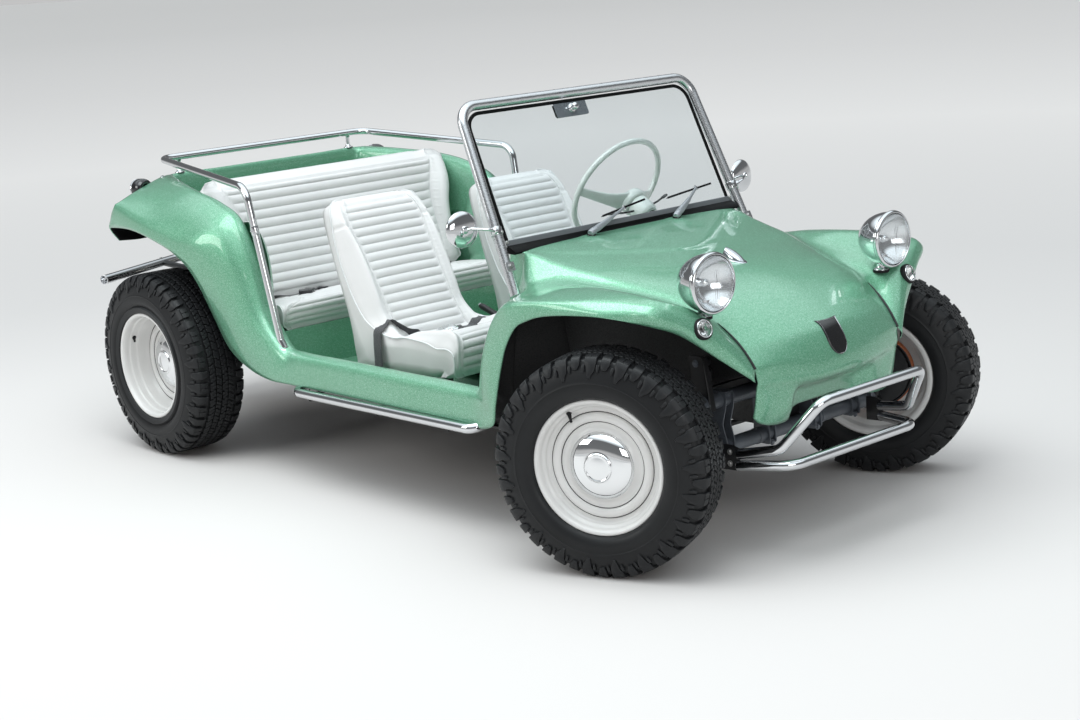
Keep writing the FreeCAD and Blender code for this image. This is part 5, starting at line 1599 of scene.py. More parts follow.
def build_lamps():
    for side, s in (("right", -1), ("left", 1)):
        c = np.array([1445.0, s * 423, 854.0])
        ax = np.array([1.0, s * 0.015, 0.02])
        B = Builder()
        # bullet shell, bezel ring and stalk
        prof = [(-118, 0), (-117.4, 9), (-115, 21), (-109, 36), (-99, 51), (-86, 63.5), (-70, 73.5), (-52, 81), (-34, 85.6), (-20, 87.6), (-12, 88.2),
                (-11.4, 87.2), (-9.8, 87.0), (-9.4, 89.2), (-7, 91.2), (-3, 92.2), (1, 91.6), (4.6, 89.4), (6.4, 86.2), (6.2, 84.2), (4.2, 82.8), (0, 82.4)]
        turn(B, prof, c, ax, 96)
        bq, _ = on_body((1398.0, s * 421.0, 762.0), (0, 0, -1))
        base = (bq[0], bq[1], bq[2] + 3.0)
        turn(B, [(-10, 25), (-4, 25.2), (-2, 24.4), (0, 21.6), (1.4, 18.2), (4, 16.6), (10, 16), (30, 16), (44, 18)], base, (0, 0, 1), 48)
        ob = B.object("headlight_shell_" + side)
        tidy(ob)
        sharp_by_angle(ob, 42)
        finish_piece(ob, "chassis", "chrome", "chrome", ("headlights",) if side == "right" else ())
        B = Builder()
        turn(B, [(-13, 26.5), (-6, 27), (-4.4, 26.6), (-4, 24)], base, (0, 0, 1), 48)
        ob = B.object("headlight_gasket_" + side)
        tidy(ob)
        finish_piece(ob, "chassis", "rubber", "tyre_rubber")
        # reflector, bulb hood
        B = Builder()
        turn(B, [(0, 82.4), (-3, 81), (-8, 78), (-22, 68), (-36, 55), (-46, 41), (-53, 26), (-56, 14), (-57, 11), (-57, 0)], c, ax, 72)
        turn(B, [(-57, 11), (-42, 11), (-40, 10), (-38, 0)], c, ax, 32)
        turn(B, [(-24, 0), (-24.6, 5), (-28, 11), (-32, 13), (-34, 13)], c, ax, 32)
        for k in (-1, 1):
            q = c + np.array((0, k * 10, 0))
            sweep(B, [q + np.array((-52.0, 0, 0)), q + np.array((-30.0, 0, 0))], 1.2, 8)
        ob = B.object("headlight_bowl_" + side)
        tidy(ob)
        sharp_by_angle(ob, 40)
        finish_piece(ob, "chassis", "reflector", "chrome")
        # domed glass, ribs on its back
        B = Builder()
        a, u, w = frame_from(ax)
        rr = np.linspace(0, 82.5, 18)
        th = np.linspace(0, 2 * math.pi, 120, endpoint=False)
        outer = np.array([[c + a * (15.5 - 10.5 * (r / 82.5) ** 2) + (u * math.cos(t) + w * math.sin(t)) * r for t in th] for r in rr])
        yy = np.array([[r * math.cos(t) for t in th] for r in rr])
        zz = np.array([[r * math.sin(t) for t in th] for r in rr])
        rib = 0.55 * np.cos(yy * 2 * math.pi / 7.5) * np.clip((82.5 - np.sqrt(yy ** 2 + zz ** 2)) / 10, 0, 1) * (np.abs(zz + 6) < 52)
        inner = outer - a * (3.4 - rib[..., None])
        B.grid(outer, wrap_n=True)
        B.grid(inner, wrap_n=True, flip=True)
        B.grid(np.array([outer[-1], inner[-1]]), wrap_n=True)
        ob = B.object("headlight_glass_" + side)
        tidy(ob, 0.05)
        finish_piece(ob, "chassis", "lens", "screen_glass")

        # parking lamp: rubber ring, chrome bezel, stepped glass dome
        look = np.array([-0.95, -s * 0.25, -0.25])
        pc, _ = on_body((1436.0, s * 481.0, 727.0), look)
        pa = skin_normal((1436.0, s * 481.0, 727.0), look, 16) * 0.6 - look / np.linalg.norm(look) * 0.4
        pa /= np.linalg.norm(pa)
        pc = pc + pa * 3.0
        B = Builder()
        turn(B, [(-16, 31), (-6, 32.6), (-1, 32.8), (2.4, 31.8), (4.6, 29.2), (5.4, 26.8)], pc, pa, 56)
        ob = B.object("parking_ring_" + side)
        tidy(ob)
        finish_piece(ob, "chassis", "rubber", "tyre_rubber", ("parking_lamps",) if side == "right" else ())
        B = Builder()
        turn(B, [(5.0, 27.4), (7.4, 26.8), (8.2, 25.4), (7.6, 24.0), (4, 23.4)], pc, pa, 56)
        turn(B, [(4, 23.4), (-4, 18), (-9, 8), (-10, 0)], pc, pa, 48)
        ob = B.object("parking_bezel_" + side)
        tidy(ob)
        finish_piece(ob, "chassis", "chrome", "chrome")
        B = Builder()
        turn(B, [(6.0, 23.6), (8.6, 22.6), (9.2, 19.4), (10.6, 19.0), (11.2, 15.6), (12.6, 15.2), (13.2, 11.6), (14.6, 11.2), (15.4, 6), (15.8, 0)], pc, pa, 56)
        turn(B, [(6.0, 23.6), (4.4, 20), (4.2, 0)], pc, pa, 56)
        ob = B.object("parking_glass_" + side)
        tidy(ob)
        finish_piece(ob, "chassis", "lens", "screen_glass")

        # tail lamp: dark housing let into the deck, chrome ring, red dome
        tc = np.array([-1474.0, s * 587, 1004.0])
        ta = np.array([-1.0, s * 0.1, -0.1])
        ta /= np.linalg.norm(ta)
        B = Builder()
        turn(B, [(-34, 20), (-31, 30), (-24, 37), (-12, 40.5), (2, 41.5), (14, 41.2), (18, 40)], tc, ta, 56)
        ob = B.object("tail_housing_" + side)
        tidy(ob)
        finish_piece(ob, "chassis", "gloss_black", "lamp_black", ("tail_lamps",) if side == "right" else ())
        thicken(ob, 1.5, -1.0)
        B = Builder()
        turn(B, [(15, 40.2), (17.5, 42), (21, 41.8), (23.5, 39.8), (23.6, 37.6), (21, 36.2)], tc, ta, 56)
        turn(B, [(21, 36.2), (8, 30), (2, 16), (0, 0)], tc, ta, 48)
        ob = B.object("tail_ring_" + side)
        tidy(ob)
        finish_piece(ob, "chassis", "chrome", "chrome")
        B = Builder()
        turn(B, [(22, 36.8), (28, 35.4), (29, 31.0), (34, 29.8), (35, 24.4), (38.6, 23.2), (39.4, 17), (42, 12), (43.2, 5), (43.4, 0)], tc, ta, 64)
        turn(B, [(22, 36.8), (20.5, 30), (20, 0)], tc, ta, 56)
        ob = B.object("tail_lens_" + side)
        tidy(ob)
        finish_piece(ob, "chassis", "red_lens", "lamp_black")


MAT["gloss_black"] = mat_plain("gloss_black", (0.008, 0.008, 0.009), 0.16, coat=0.6, grain=320.0, grain_bump=0.04, vary=0.2, rough_vary=0.05)
build_lamps()
# ------------------------------------------------- bead between hood and fenders
def build_bead():
    """Soft black bead pressed into the joint beside the nose, on both sides."""
    key = np.array([(1392, 357, 718), (1435, 351, 685), (1470, 346, 652), (1495, 343, 622), (1517, 340, 590)], float)
    path = hermite_line(key, [0, 0, 0, 0, 0], [8, 8, 8, 8])
    t = np.linspace(0, 1, len(path))
    B = Builder()
    for s in (-1, 1):
        out = []
        for p in path:
            q, n = on_body((p[0], s * p[1], p[2]), (-0.68, 0, -0.73), far=60.0)
            if np.linalg.norm(q - np.array([p[0], s * p[1], p[2]])) > 9:
                q = np.array([p[0], s * p[1], p[2]])
            out.append(q + np.array([0.68, 0, 0.73]) * 1.4)
        out = np.array(out)
        for _ in range(3):
            out[1:-1] = 0.5 * out[1:-1] + 0.25 * (out[:-2] + out[2:])
        sweep(B, out, 4.6, 14, radii=np.interp(t, [0, 0.3, 1.0], [0.8, 4.0, 4.8]))
    ob = B.object("hood_bead")
    tidy(ob)
    finish_piece(ob, "chassis", "satin_black", "tyre_rubber")


build_bead()

# ------------------------------------------------------------------ windshield
RAKE = math.radians(23.9)
UPV = np.array([-math.sin(RAKE), 0, math.cos(RAKE)])      # up the glass
OUTV = np.array([math.cos(RAKE), 0, math.sin(RAKE)])      # out of it, forward
GLASS0 = np.array([650.0, 0.0, 940.5])


def glass_pt(y, h, out=0.0):
    return GLASS0 + np.array([0, y, 0]) + UPV * h + OUTV * out


def outline_round(pts, radii, step=4.0):
    """Closed outline with rounded corners in two coordinates."""
    n = len(pts)
    out = []
    for i in range(n):
        p, q, r = (np.array(pts[(i + k) % n], float) for k in (-1, 0, 1))
        R = radii[i]
        a, b = (p - q) / np.linalg.norm(p - q), (r - q) / np.linalg.norm(r - q)
        if R <= 0:
            out.append(q)
            continue
        turn_ = math.pi - math.acos(float(np.clip(a @ b, -1, 1)))
        cut = R * math.tan(turn_ / 2)
        m = (a + b) / np.linalg.norm(a + b)
        c = q + m * (R / math.cos(turn_ / 2))
        s, e = q + a * cut, q + b * cut
        k = max(3, int(turn_ * R / step))
        x = (s - c) / R
        z = (e - c) - ((e - c) @ x) * x
        z /= np.linalg.norm(z)
        out += [c + R * (math.cos(t) * x + math.sin(t) * z) for t in np.linspace(0, turn_, k + 1)]
    return np.array(out)


def plate_from(B, outline3, normal, thick, mat=0, edge=0.6):
    """Flat plate with softened edges; outline3: points round it."""
    n = np.array(normal, float)
    n /= np.linalg.norm(n)
    P = np.asarray(outline3, float)
    c = P.mean(0)

    def inset(k):
        d = P - c
        L = np.linalg.norm(d, axis=1)[:, None]
        return P - d / L * k
    rows = [inset(edge), P + n * edge, P + n * (thick - edge), inset(edge) + n * thick]
    G = np.array(rows)
    B.grid(G, wrap_n=True, mat=mat)
    m = len(P)
    B.add(np.concatenate([G[0], [c]]), [(i, (i + 1) % m, m) for i in range(m)], mat)
    B.add(np.concatenate([G[-1], [c + n * thick]]), [(i, (i + 1) % m, m) for i in range(m)], mat)


def build_screen():
    # frame tube, hoop of one piece with its ends behind the cowl
    loop = arc_path([(734, -566, 775), (472, -528, 1354), (472, 528, 1354), (734, 566, 775)], [0, 70, 70, 0], 5)

    def extras(B):
        # flat pressed along the foot of each post, and its bolt bracket
        for s in (-1, 1):
            a = np.array([734.0, s * 566, 775])
            b = np.array([472.0, s * 528, 1354])
            d = (b - a) / np.linalg.norm(b - a)
            q = a + d * 92
            front = np.cross(d, (0, 1, 0))
            front /= np.linalg.norm(front)
            if front[0] < 0:
                front = -front
            sidev = np.cross(d, front)
            rect = outline_round([(-17, -15), (17, -15), (17, 15), (-17, 15)], [2.5] * 4, 1.5)
            plate_from(B, [q + front * 15.5 + sidev * u + d * v for u, v in rect], front, 4.5)
            hex_bolt(B, q + front * 20, front, 6.0, 4.5, 1)
        # aluminium channel under the glass
        sec = round_profile([(-6.5, -13.5), (-7.5, -10), (-7.5, 5.5), (-5.0, 8.5), (-2.6, 7.4), (2.6, 7.4), (5.0, 8.5), (7.5, 5.5), (7.5, -10), (6.5, -13.5)], 1.5, 3)
        sec = list(sec) + [sec[0]]
        ys = np.concatenate([[-531, -530.4], np.linspace(-528, 528, 30), [530.4, 531]])
        B.grid(np.array([[glass_pt(y, h - 14, o) for o, h in sec] for y in ys]), mat=2)
        for y in (-531, 531):
            B.add([glass_pt(y, h - 14, o) for o, h in sec[:-1]], [tuple(range(len(sec) - 1))], 0)
        for s in (-1, 1):
            q = glass_pt(s * 524, -12, 8)
            hex_bolt(B, q, OUTV, 4.0, 3.0, 1)
    B = Builder()
    sweep(B, loop, 17, 36)
    extras(B)
    ob = B.object("screen_hoop")
    tidy(ob, 0.02)
    sharp_by_angle(ob, 40)
    finish_piece(ob, "chassis", ["alu", "steel", "channel"], "aluminium", ("windshield_frame",))

    # black seal: a thin bead just inside the tube, and the cowl rubber
    seal = arc_path([glass_pt(-517, -4), glass_pt(-505, 424), glass_pt(505, 424), glass_pt(517, -4)], [0, 58, 58, 0], 5)
    B = Builder()
    sweep(B, seal, 6.2, 14)
    ys = np.linspace(-527, 527, 50)
    rows = []
    for y in ys:
        top = glass_pt(y, -26)
        zc = 905.0 - 0.000006 * y * y - 2
        foot_x = 654.0 + 24 * (abs(y) / 495.0) ** 2
        dx = foot_x - 0
        p = [top + OUTV * 9 + UPV * 2, top + OUTV * 10, np.array([dx + 16, y, zc + 7]), np.array([dx + 22, y, zc + 1]), np.array([dx + 20, y, zc - 5]),
             np.array([dx - 10, y, zc - 5]), np.array([dx - 22, y, zc + 2]), top - OUTV * 9, top - OUTV * 8 + UPV * 2]
        q = []
        for i in range(len(p) - 1):
            q += [p[i], 0.5 * (p[i] + p[i + 1])]
        q.append(p[-1])
        rows.append(q)
    B.grid(np.array(rows))
    for r in (rows[0], rows[-1]):
        B.add(np.array(r), [tuple(range(len(r)))])
    ob = B.object("screen_seal")
    tidy(ob, 0.05)
    sharp_by_angle(ob, 45)
    finish_piece(ob, "chassis", "seal_black", "tyre_rubber")

    # glass: rounded top corners, ground edge
    out2 = outline_round([(-519, -16), (519, -16), (507, 424), (-507, 424)], [8, 8, 56, 56], 5)
    B = Builder()
    plate_from(B, [glass_pt(y, h, -2.4) for y, h in out2], OUTV, 4.8, 0, 0.8)
    ob = B.object("screen_glass")
    tidy(ob, 0.05)
    sharp_by_angle(ob, 30)
    finish_piece(ob, "chassis", "screen", "screen_glass", ("windshield_glass",))

    # mirror base on the glass: plate, knob and short ball stem
    B = Builder()
    rect = outline_round([(-129, 368), (17, 368), (17, 417), (-129, 417)], [9, 9, 2, 2], 2.5)
    plate_from(B, [glass_pt(y, h, 2.6) for y, h in rect], OUTV, 2.2, 0, 0.5)
    c = glass_pt(-53, 396, 4.6)
    turn(B, [(0, 17), (1.5, 17), (3.4, 15.8), (4.2, 12), (5.8, 9.6), (9, 8.8), (12, 10.2), (15, 12.4), (19, 13.2), (23, 12), (26, 8.6), (27.2, 4), (27.4, 0)], c, OUTV, 40, 1)
    for k in (-1, 1):
        hex_bolt(B, glass_pt(-53 + k * 26, 396, 4.4), OUTV, 3.2, 2.2, 1, False)
    ob = B.object("mirror_base_plate")
    tidy(ob)
    sharp_by_angle(ob, 40)
    finish_piece(ob, "chassis", ["grey_plate", "chrome"], "aluminium")
    # the mirror itself, back to back with the plate, facing the seats
    B = Builder()
    turn(B, [(-1, 11), (1, 11), (3.4, 10), (3.6, 6)], glass_pt(-53, 396, -2.6), -OUTV, 28)
    rect = outline_round([(-127, 370), (15, 370), (15, 415), (-127, 415)], [9, 9, 2, 2], 2.5)
    plate_from(B, [glass_pt(y, h, -9.2) for y, h in rect], OUTV, 5.0, 1, 0.8)
    face = outline_round([(-123, 374), (11, 374), (11, 411), (-123, 411)], [6, 6, 1.5, 1.5], 2.5)
    plate_from(B, [glass_pt(y, h, -10.0) for y, h in face], OUTV, 1.6, 2, 0.3)
    ob = B.object("inner_mirror")
    tidy(ob)
    sharp_by_angle(ob, 40)
    finish_piece(ob, "chassis", ["chrome", "gloss_black", "mirror_face"], "chrome")


MAT["seal_black"] = mat_plain("seal_black", (0.005, 0.0052, 0.0056), 0.45, grain=300.0, grain_bump=0.02, vary=0.2, spec=0.08)
MAT["channel"] = mat_plain("channel_grey", (0.115, 0.122, 0.13), 0.5, metallic=0.2, grain=300.0, grain_bump=0.0, vary=0.08, spec=0.3)
MAT["cap_metal"] = mat_chrome("cap_metal", (0.50, 0.52, 0.55), 0.14)
MAT["grey_plate"] = mat_plain("plate_grey", (0.17, 0.19, 0.21), 0.28, metallic=0.5, coat=0.4, grain=400.0, grain_bump=0.05, vary=0.08)
build_screen()


def build_wipers():
    B = Builder()
    for py, px, tip, b0, b1 in ((-184, 678, (649, 12, 967), (653, -94, 953), (645, 118, 981)), (217, 680, (641, 375, 985), (649, 226, 971), (636, 452, 988))):
        q, _ = on_body((px + 14.0, py, 905.0), (0, 0, -1))
        up = np.array([0.25, 0, 1.0])
        up /= np.linalg.norm(up)
        # black cap on the cowl, silver knurled sleeve along the arm
        turn(B, [(-6, 13.5), (3, 14.2), (5, 13.6), (7, 11.5), (8, 0)], q, up, 32, 1)
        tip = np.array(tip, float)
        tip = tip + OUTV * (11 - (tip - GLASS0) @ OUTV)
        h0 = q + up * 10
        d = tip - h0
        T = d / np.linalg.norm(d)
        turn(B, [(-12, 0), (-12, 9), (-9, 11.4), (-3, 12.2), (0, 11.4), (2, 12.4), (14, 12.2), (16, 11.0), (19, 11.8), (27, 11.2), (30, 9)], h0, T, 32, 0, radius=0.8)
        mid = h0
        pts = [mid + d * t + OUTV * (9 * math.sin(math.pi * t)) for t in (0.1, 0.16, 0.24, 0.4, 0.56, 0.6, 0.78, 0.93, 1.0)]
        # tapered channel arm, then a flat rod
        G = []
        wdir = np.cross(T, OUTV)
        wdir /= np.linalg.norm(wdir)
        for (w, t), p in zip(((10.6, 8), (11.2, 8), (10.2, 7.4), (8.4, 6.4), (6.8, 5.2), (5.0, 3.4), (4.6, 3.0), (4.6, 3.0), (6.4, 3.6)), pts):
            ring = []
            for a in np.linspace(0, 2 * math.pi, 20, endpoint=False):
                c, s_ = math.cos(a), math.sin(a)
                ring.append(p + wdir * w * np.sign(c) * abs(c) ** 0.55 + OUTV * t * np.sign(s_) * abs(s_) ** 0.55)
            G.append(ring)
        B.grid(np.array(G), wrap_n=True, mat=0)
        B.add(np.array(G[0]), [tuple(range(20))], 0)
        B.add(np.array(G[-1]), [tuple(range(20))], 0)
        # pin and saddle on the blade
        sweep(B, [tip - wdir * 8, tip + wdir * 8], 4.2, 14, mat=2)
        e0, e1 = np.array(b0, float), np.array(b1, float)
        e0 = e0 + OUTV * (7.5 - (e0 - GLASS0) @ OUTV)
        e1 = e1 + OUTV * (7.5 - (e1 - GLASS0) @ OUTV)
        bd = (e1 - e0) / np.linalg.norm(e1 - e0)
        n = 14
        rows = []
        for i in range(n + 1):
            t = i / n
            p = e0 + (e1 - e0) * t + OUTV * (1.5 * math.sin(math.pi * t))
            k = np.cross(bd, OUTV)
            sec = [(-3.6, 2.6), (-3.6, 5.6), (3.6, 5.6), (3.6, 2.6), (2.0, 1.8), (1.1, -4.8), (-1.1, -4.8), (-2.0, 1.8)]
            rows.append([p + k * a + OUTV * b for a, b in sec])
        B.grid(np.array(rows), wrap_n=True, mat=1)
        B.add(np.array(rows[0]), [tuple(range(8))], 1)
        B.add(np.array(rows[-1]), [tuple(range(8))], 1)
    ob = B.object("wiper_pair")
    tidy(ob, 0.02)
    sharp_by_angle(ob, 38)
    finish_piece(ob, "chassis", ["wiper_grey", "gloss_black", "chrome"], "wiper_grey", ("wipers",))


build_wipers()


def build_mirrors():
    for side, s in (("right", -1), ("left", 1)):
        B = Builder()
        c = np.array([604.0, s * 655, 989.0])
        ax = np.array([1.0, s * 0.12, 0.05])
        ax /= np.linalg.norm(ax)
        # domed chrome back with a boss, rim, and the glass behind
        prof = [(16.5, 0), (16.3, 8), (15.6, 18), (13.6, 32), (10, 46), (5, 54.6), (2, 57.2), (-1.5, 58.4), (-4.5, 58.2), (-5.6, 56.6), (-4.8, 55.2)]
        turn(B, prof, c, ax, 72, 0)
        turn(B, [(-4.8, 55.2), (-3.6, 54.8), (-3.4, 40), (-3.2, 0)], c, ax, 72, 1)
        turn(B, [(15, 13), (18, 12.6), (20.5, 11), (21.5, 8), (22, 0)], c, ax, 36, 0)
        hex_bolt(B, c + ax * 21, ax, 4.5, 4, 0, False)
        # stem from the clamp on the post to the boss
        a = np.array([734.0, s * 566, 775])
        b = np.array([472.0, s * 528, 1354])
        d = (b - a) / np.linalg.norm(b - a)
        q = a + d * ((970 - 775) / d[2])
        path = arc_path([q + np.array((14.0, s * 10, 4)), (q[0] + 16, s * 594, 984), (c[0] + 30, s * 640, 992), c + ax * 20 + np.array((0, -s * 2.0, 0))], [0, 14, 12, 0], 3)
        k = np.linspace(0, 1, len(path))
        sweep(B, path, 5, 18, radii=5.2 - 1.2 * k)
        turn(B, [(-13, 19.2), (-12.4, 20.2), (-10, 20.8), (10, 20.8), (12.4, 20.2), (13, 19.2), (12, 17.2)], q, d, 40, 0)
        turn(B, [(-12, 17.2), (-13, 19.2)], q, d, 40, 0)
        blk = q + np.array((12.0, s * 14, 4))
        turn(B, [(-9, 9), (-8, 10.5), (6, 10.5), (9, 9), (11, 6), (11.5, 0)], blk, (0.5, s * 1.0, 0.35), 28, 0)
        hex_bolt(B, q + np.array((19.0, -s * 8.0, 0)), (1, -s * 0.2, 0.3), 4, 4, 2)
        ob = B.object("side_mirror_" + side)
        tidy(ob)
        sharp_by_angle(ob, 40)
        finish_piece(ob, "chassis", ["chrome", "mirror_face", "steel"], "chrome", ("mirrors",) if side == "right" else ())


build_mirrors()


def build_badge_and_cap():
    # plain black shield laid on the nose
    C0, C1 = np.array([1507.0, 0, 683.0]), np.array([1562.0, 0, 574.0])
    t_dir = (C1 - C0) / np.linalg.norm(C1 - C0)
    n_dir = np.array([-t_dir[2], 0, t_dir[0]])
    if n_dir[0] < 0:
        n_dir = -n_dir
    T = [0.0, 0.04, 0.1, 0.2, 0.35, 0.5, 0.62, 0.72, 0.8, 0.87, 0.93, 0.97, 1.0]
    Wd = [49, 46, 43, 41.6, 41.2, 41.2, 40.8, 39.4, 36.4, 31.0, 23.6, 16.0, 0.8]
    U = [-1, -0.94, -0.88, -0.82, -0.5, 0, 0.5, 0.82, 0.88, 0.94, 1]
    ts = np.linspace(0, 1, 34)
    B = Builder()
    L = np.linalg.norm(C1 - C0)

    def height(u, t):
        e = min((1 - abs(u)) * 42, t * L, (1 - t) * L * 1.1)
        base = 3.0 * min(1.0, e / 1.6 + 0.2)
        if 2.6 < e < 4.2:
            base += 0.7
        return base
    rows, mats = [], []
    U2 = [-1, -0.97, -0.93, -0.915, -0.88, -0.85, -0.83, -0.6, -0.3, 0, 0.3, 0.6, 0.83, 0.85, 0.88, 0.915, 0.93, 0.97, 1]
    ts = np.array([0, 0.014, 0.022, 0.026, 0.036, 0.04, 0.06, 0.12, 0.2, 0.3, 0.4, 0.5, 0.6, 0.68, 0.75, 0.81, 0.86, 0.9, 0.93, 0.95, 0.965, 0.975, 0.985, 0.993, 1.0])
    for t in ts:
        w = np.interp(t, T, Wd)
        row = []
        for u in U2:
            y = u * w
            dip = 4.0 * (1 - (y / 49) ** 2) * max(0, 1 - t / 0.3)
            p = C0 + t_dir * (t * L + dip) + np.array((0, y, 0))
            q, _ = on_body(p, -n_dir, 120)
            row.append(q + n_dir * height(u, t))
        rows.append(row)
    G = np.array(rows)
    base = B.grid(G)
    m, n = G.shape[:2]
    skirt = G.copy() - n_dir * 5.0
    edge = [(0, j) for j in range(n)] + [(i, n - 1) for i in range(1, m)] + [(m - 1, j) for j in range(n - 2, -1, -1)] + [(i, 0) for i in range(m - 2, 0, -1)]
    ring = np.array([[G[i, j] for i, j in edge], [skirt[i, j] for i, j in edge]])
    B.grid(ring, wrap_n=True)
    ob = B.object("nose_shield")
    tidy(ob, 0.02)
    face_up(ob, (2500, 0, 1200))
    # the fine raised line inside the edge is bright metal
    for f in ob.data.polygons:
        c = np.array(f.center) * 1000.0
        c[0] -= SX
        t = ((c - C0) @ t_dir) / L
        w = np.interp(np.clip(t, 0, 1), T, Wd)
        e = min((1 - abs(c[1]) / max(w, 1)) * 42, t * L - 4.0 * (1 - (c[1] / 49) ** 2) * max(0, 1 - t / 0.3), (1 - t) * L * 1.1)
        f.material_index = 1 if 2.5 < e < 4.6 else 0
    finish_piece(ob, "chassis", ["gloss_black", "chrome"], "lamp_black")

    # chrome handle cap on the hood, low at the front, open behind
    B = Builder()
    rows = []
    x0, x1 = 1188.0, 1110.0
    for i, k in enumerate(np.linspace(0, 1, 15)):
        x = x0 + (x1 - x0) * k
        half = 20.0 * math.sqrt(max(0.0, 1 - (1 - min(1, k / 0.6)) ** 2)) * (1 - 0.22 * max(0, k - 0.6) / 0.4) + 0.4
        hgt = 2.0 + 30.0 * math.sin(0.5 * math.pi * k ** 0.8)
        row = []
        for a in np.linspace(math.pi, 0, 19):
            y = half * math.cos(a)
            q, _ = on_body((x, y, 850.0), (0, 0, -1))
            z = q[2] - 1.0 + hgt * (math.sin(a) ** 0.9)
            row.append((x + (6.0 * math.sin(a) if k > 0.99 else 0), y, z))
        rows.append(row)
    B.grid(np.array(rows))
    ob = B.object("hood_handle")
    tidy(ob, 0.05)
    face_up(ob, (1160, 0, 2000))
    thicken(ob, 2.6, -1.0)
    apply_mods(ob)
    bevel(ob, 1.0, 3, 50)
    apply_mods(ob)
    finish_piece(ob, "chassis", "cap_metal", "chrome", ("hood_cap",))
    # flange under it
    B = Builder()
    ring = []
    for j, (grow, lift) in enumerate(((4.5, -1.5), (4.5, 0.6), (3.6, 1.6), (0, 2.2), (-6, 2.2))):
        row = []
        for a in np.linspace(0, 2 * math.pi, 48, endpoint=False):
            x = 1149 + (42 + grow) * math.cos(a)
            y = (20 + grow) * math.sin(a)
            q, _ = on_body((x, y, 850.0), (0, 0, -1))
            row.append((x, y, q[2] + lift))
        ring.append(row)
    B.grid(np.array(ring), wrap_n=True)
    ob = B.object("hood_handle_base")
    tidy(ob)
    finish_piece(ob, "chassis", "cap_metal", "chrome")
    # black sheet inside the mouth: painted shade of its hollow
    B = Builder()
    row0 = [np.array(p) for p in rows[-2]]
    c = np.mean(row0, 0) - np.array((0, 0, 6.0))
    B.add(np.array(row0 + [c]), [(i, i + 1, len(row0)) for i in range(len(row0) - 1)] + [(len(row0) - 1, 0, len(row0))])
    ob = B.object("hood_handle_mouth_shade")
    tidy(ob)
    thicken(ob, 1.0, 0.0)
    finish_piece(ob, "chassis", "well_black", "lamp_black")


build_badge_and_cap()
# --------------------------------------------------- jambs under the cowl ends
def build_jambs():
    """Closes the corner between each end of the cowl and the cabin side."""
    B = Builder()
    outer = [(713, 494, 897), (706, 503, 832), (700, 512, 768), (697, 530, 694), (694, 549, 620)]
    inner = [(634, 487, 901), (628, 487, 835), (624, 490, 768), (640, 514, 694), (652, 541, 618)]
    for s in (-1, 1):
        G = []
        for a, b_ in zip(outer, inner):
            a, b_ = np.array(a, float), np.array(b_, float)
            G.append([a + (b_ - a) * t + np.array([0, -5 * math.sin(math.pi * t), 0]) for t in np.linspace(0, 1, 7)])
        G = np.array(G)
        arc = np.arange(5, dtype=float)
        G = smooth_rows(arc, G, np.linspace(0, 4, 17))
        G[..., 1] *= s
        B.grid(G, flip=s > 0)
    ob = B.object("cowl_jambs", weld=0.01)
    thicken(ob, 4.0, 0.0)
    apply_mods(ob)
    tidy(ob)
    sharp_by_angle(ob, 50)
    finish_piece(ob, "chassis", "green", "body_green")


def smooth_rows(xs, G, q):
    out = []
    for k in q:
        i = min(int(k), len(xs) - 2)
        t = k - i
        out.append(G[i] * (1 - t) + G[i + 1] * t)
    return np.array(out)


build_jambs()
# ------------------------------------------------------------------ upholstery
def mat_vinyl():
    """White upholstery vinyl: fine leather grain, painted shade darkening the folds."""
    mat, nt, b = new_mat("white_vinyl")
    vec = coords(nt)
    cells = nt.nodes.new("ShaderNodeTexVoronoi")
    cells.inputs["Scale"].default_value = 700.0
    nt.links.new(vec, cells.inputs["Vector"])
    fine = noise(nt, vec, 1500.0, 2.0)
    wave = noise(nt, vec, 38.0, 3.0, 0.6)
    soil = noise(nt, vec, 5.0, 3.0)
    base = ramp(nt, soil.outputs[0], [(0.3, (0.662, 0.656, 0.653)), (0.7, (0.713, 0.707, 0.704))])
    geo = nt.nodes.new("ShaderNodeNewGeometry")
    # darker where the surface is concave: painted shade in the folds and pleats
    edge = ramp(nt, geo.outputs["Pointiness"], [(0.40, (0.80, 0.82, 0.82)), (0.50, (1.0, 1.0, 1.0))])
    nt.links.new(mix_rgb(nt, 1.0, base, edge, "MULTIPLY"), b.inputs["Base Color"])
    nt.links.new(map_range(nt, wave.outputs[0], 0.3, 0.7, 0.36, 0.50), b.inputs["Roughness"])
    n1 = bump(nt, cells.outputs["Distance"], b, 0.10, 0.0003)
    n2 = bump(nt, fine.outputs[0], b, 0.08, 0.0003, n1)
    bump(nt, wave.outputs[0], b, 0.22, 0.0012, n2)
    b.inputs["Specular IOR Level"].default_value = 0.42
    return mat


def mat_webbing():
    """Woven black belt webbing."""
    mat, nt, b = new_mat("belt_webbing")
    vec = coords(nt)
    w = nt.nodes.new("ShaderNodeTexWave")
    w.inputs["Scale"].default_value = 330.0
    w.inputs["Distortion"].default_value = 0.6
    nt.links.new(vec, w.inputs["Vector"])
    n1 = noise(nt, vec, 900.0, 2.0)
    nt.links.new(ramp(nt, n1.outputs[0], [(0.3, (0.016, 0.017, 0.019)), (0.7, (0.042, 0.043, 0.048))]), b.inputs["Base Color"])
    nt.links.new(map_range(nt, n1.outputs[0], 0.3, 0.7, 0.5, 0.7), b.inputs["Roughness"])
    bump(nt, w.outputs[1], b, 0.35, 0.0005)
    b.inputs["Sheen Weight"].default_value = 0.25
    return mat


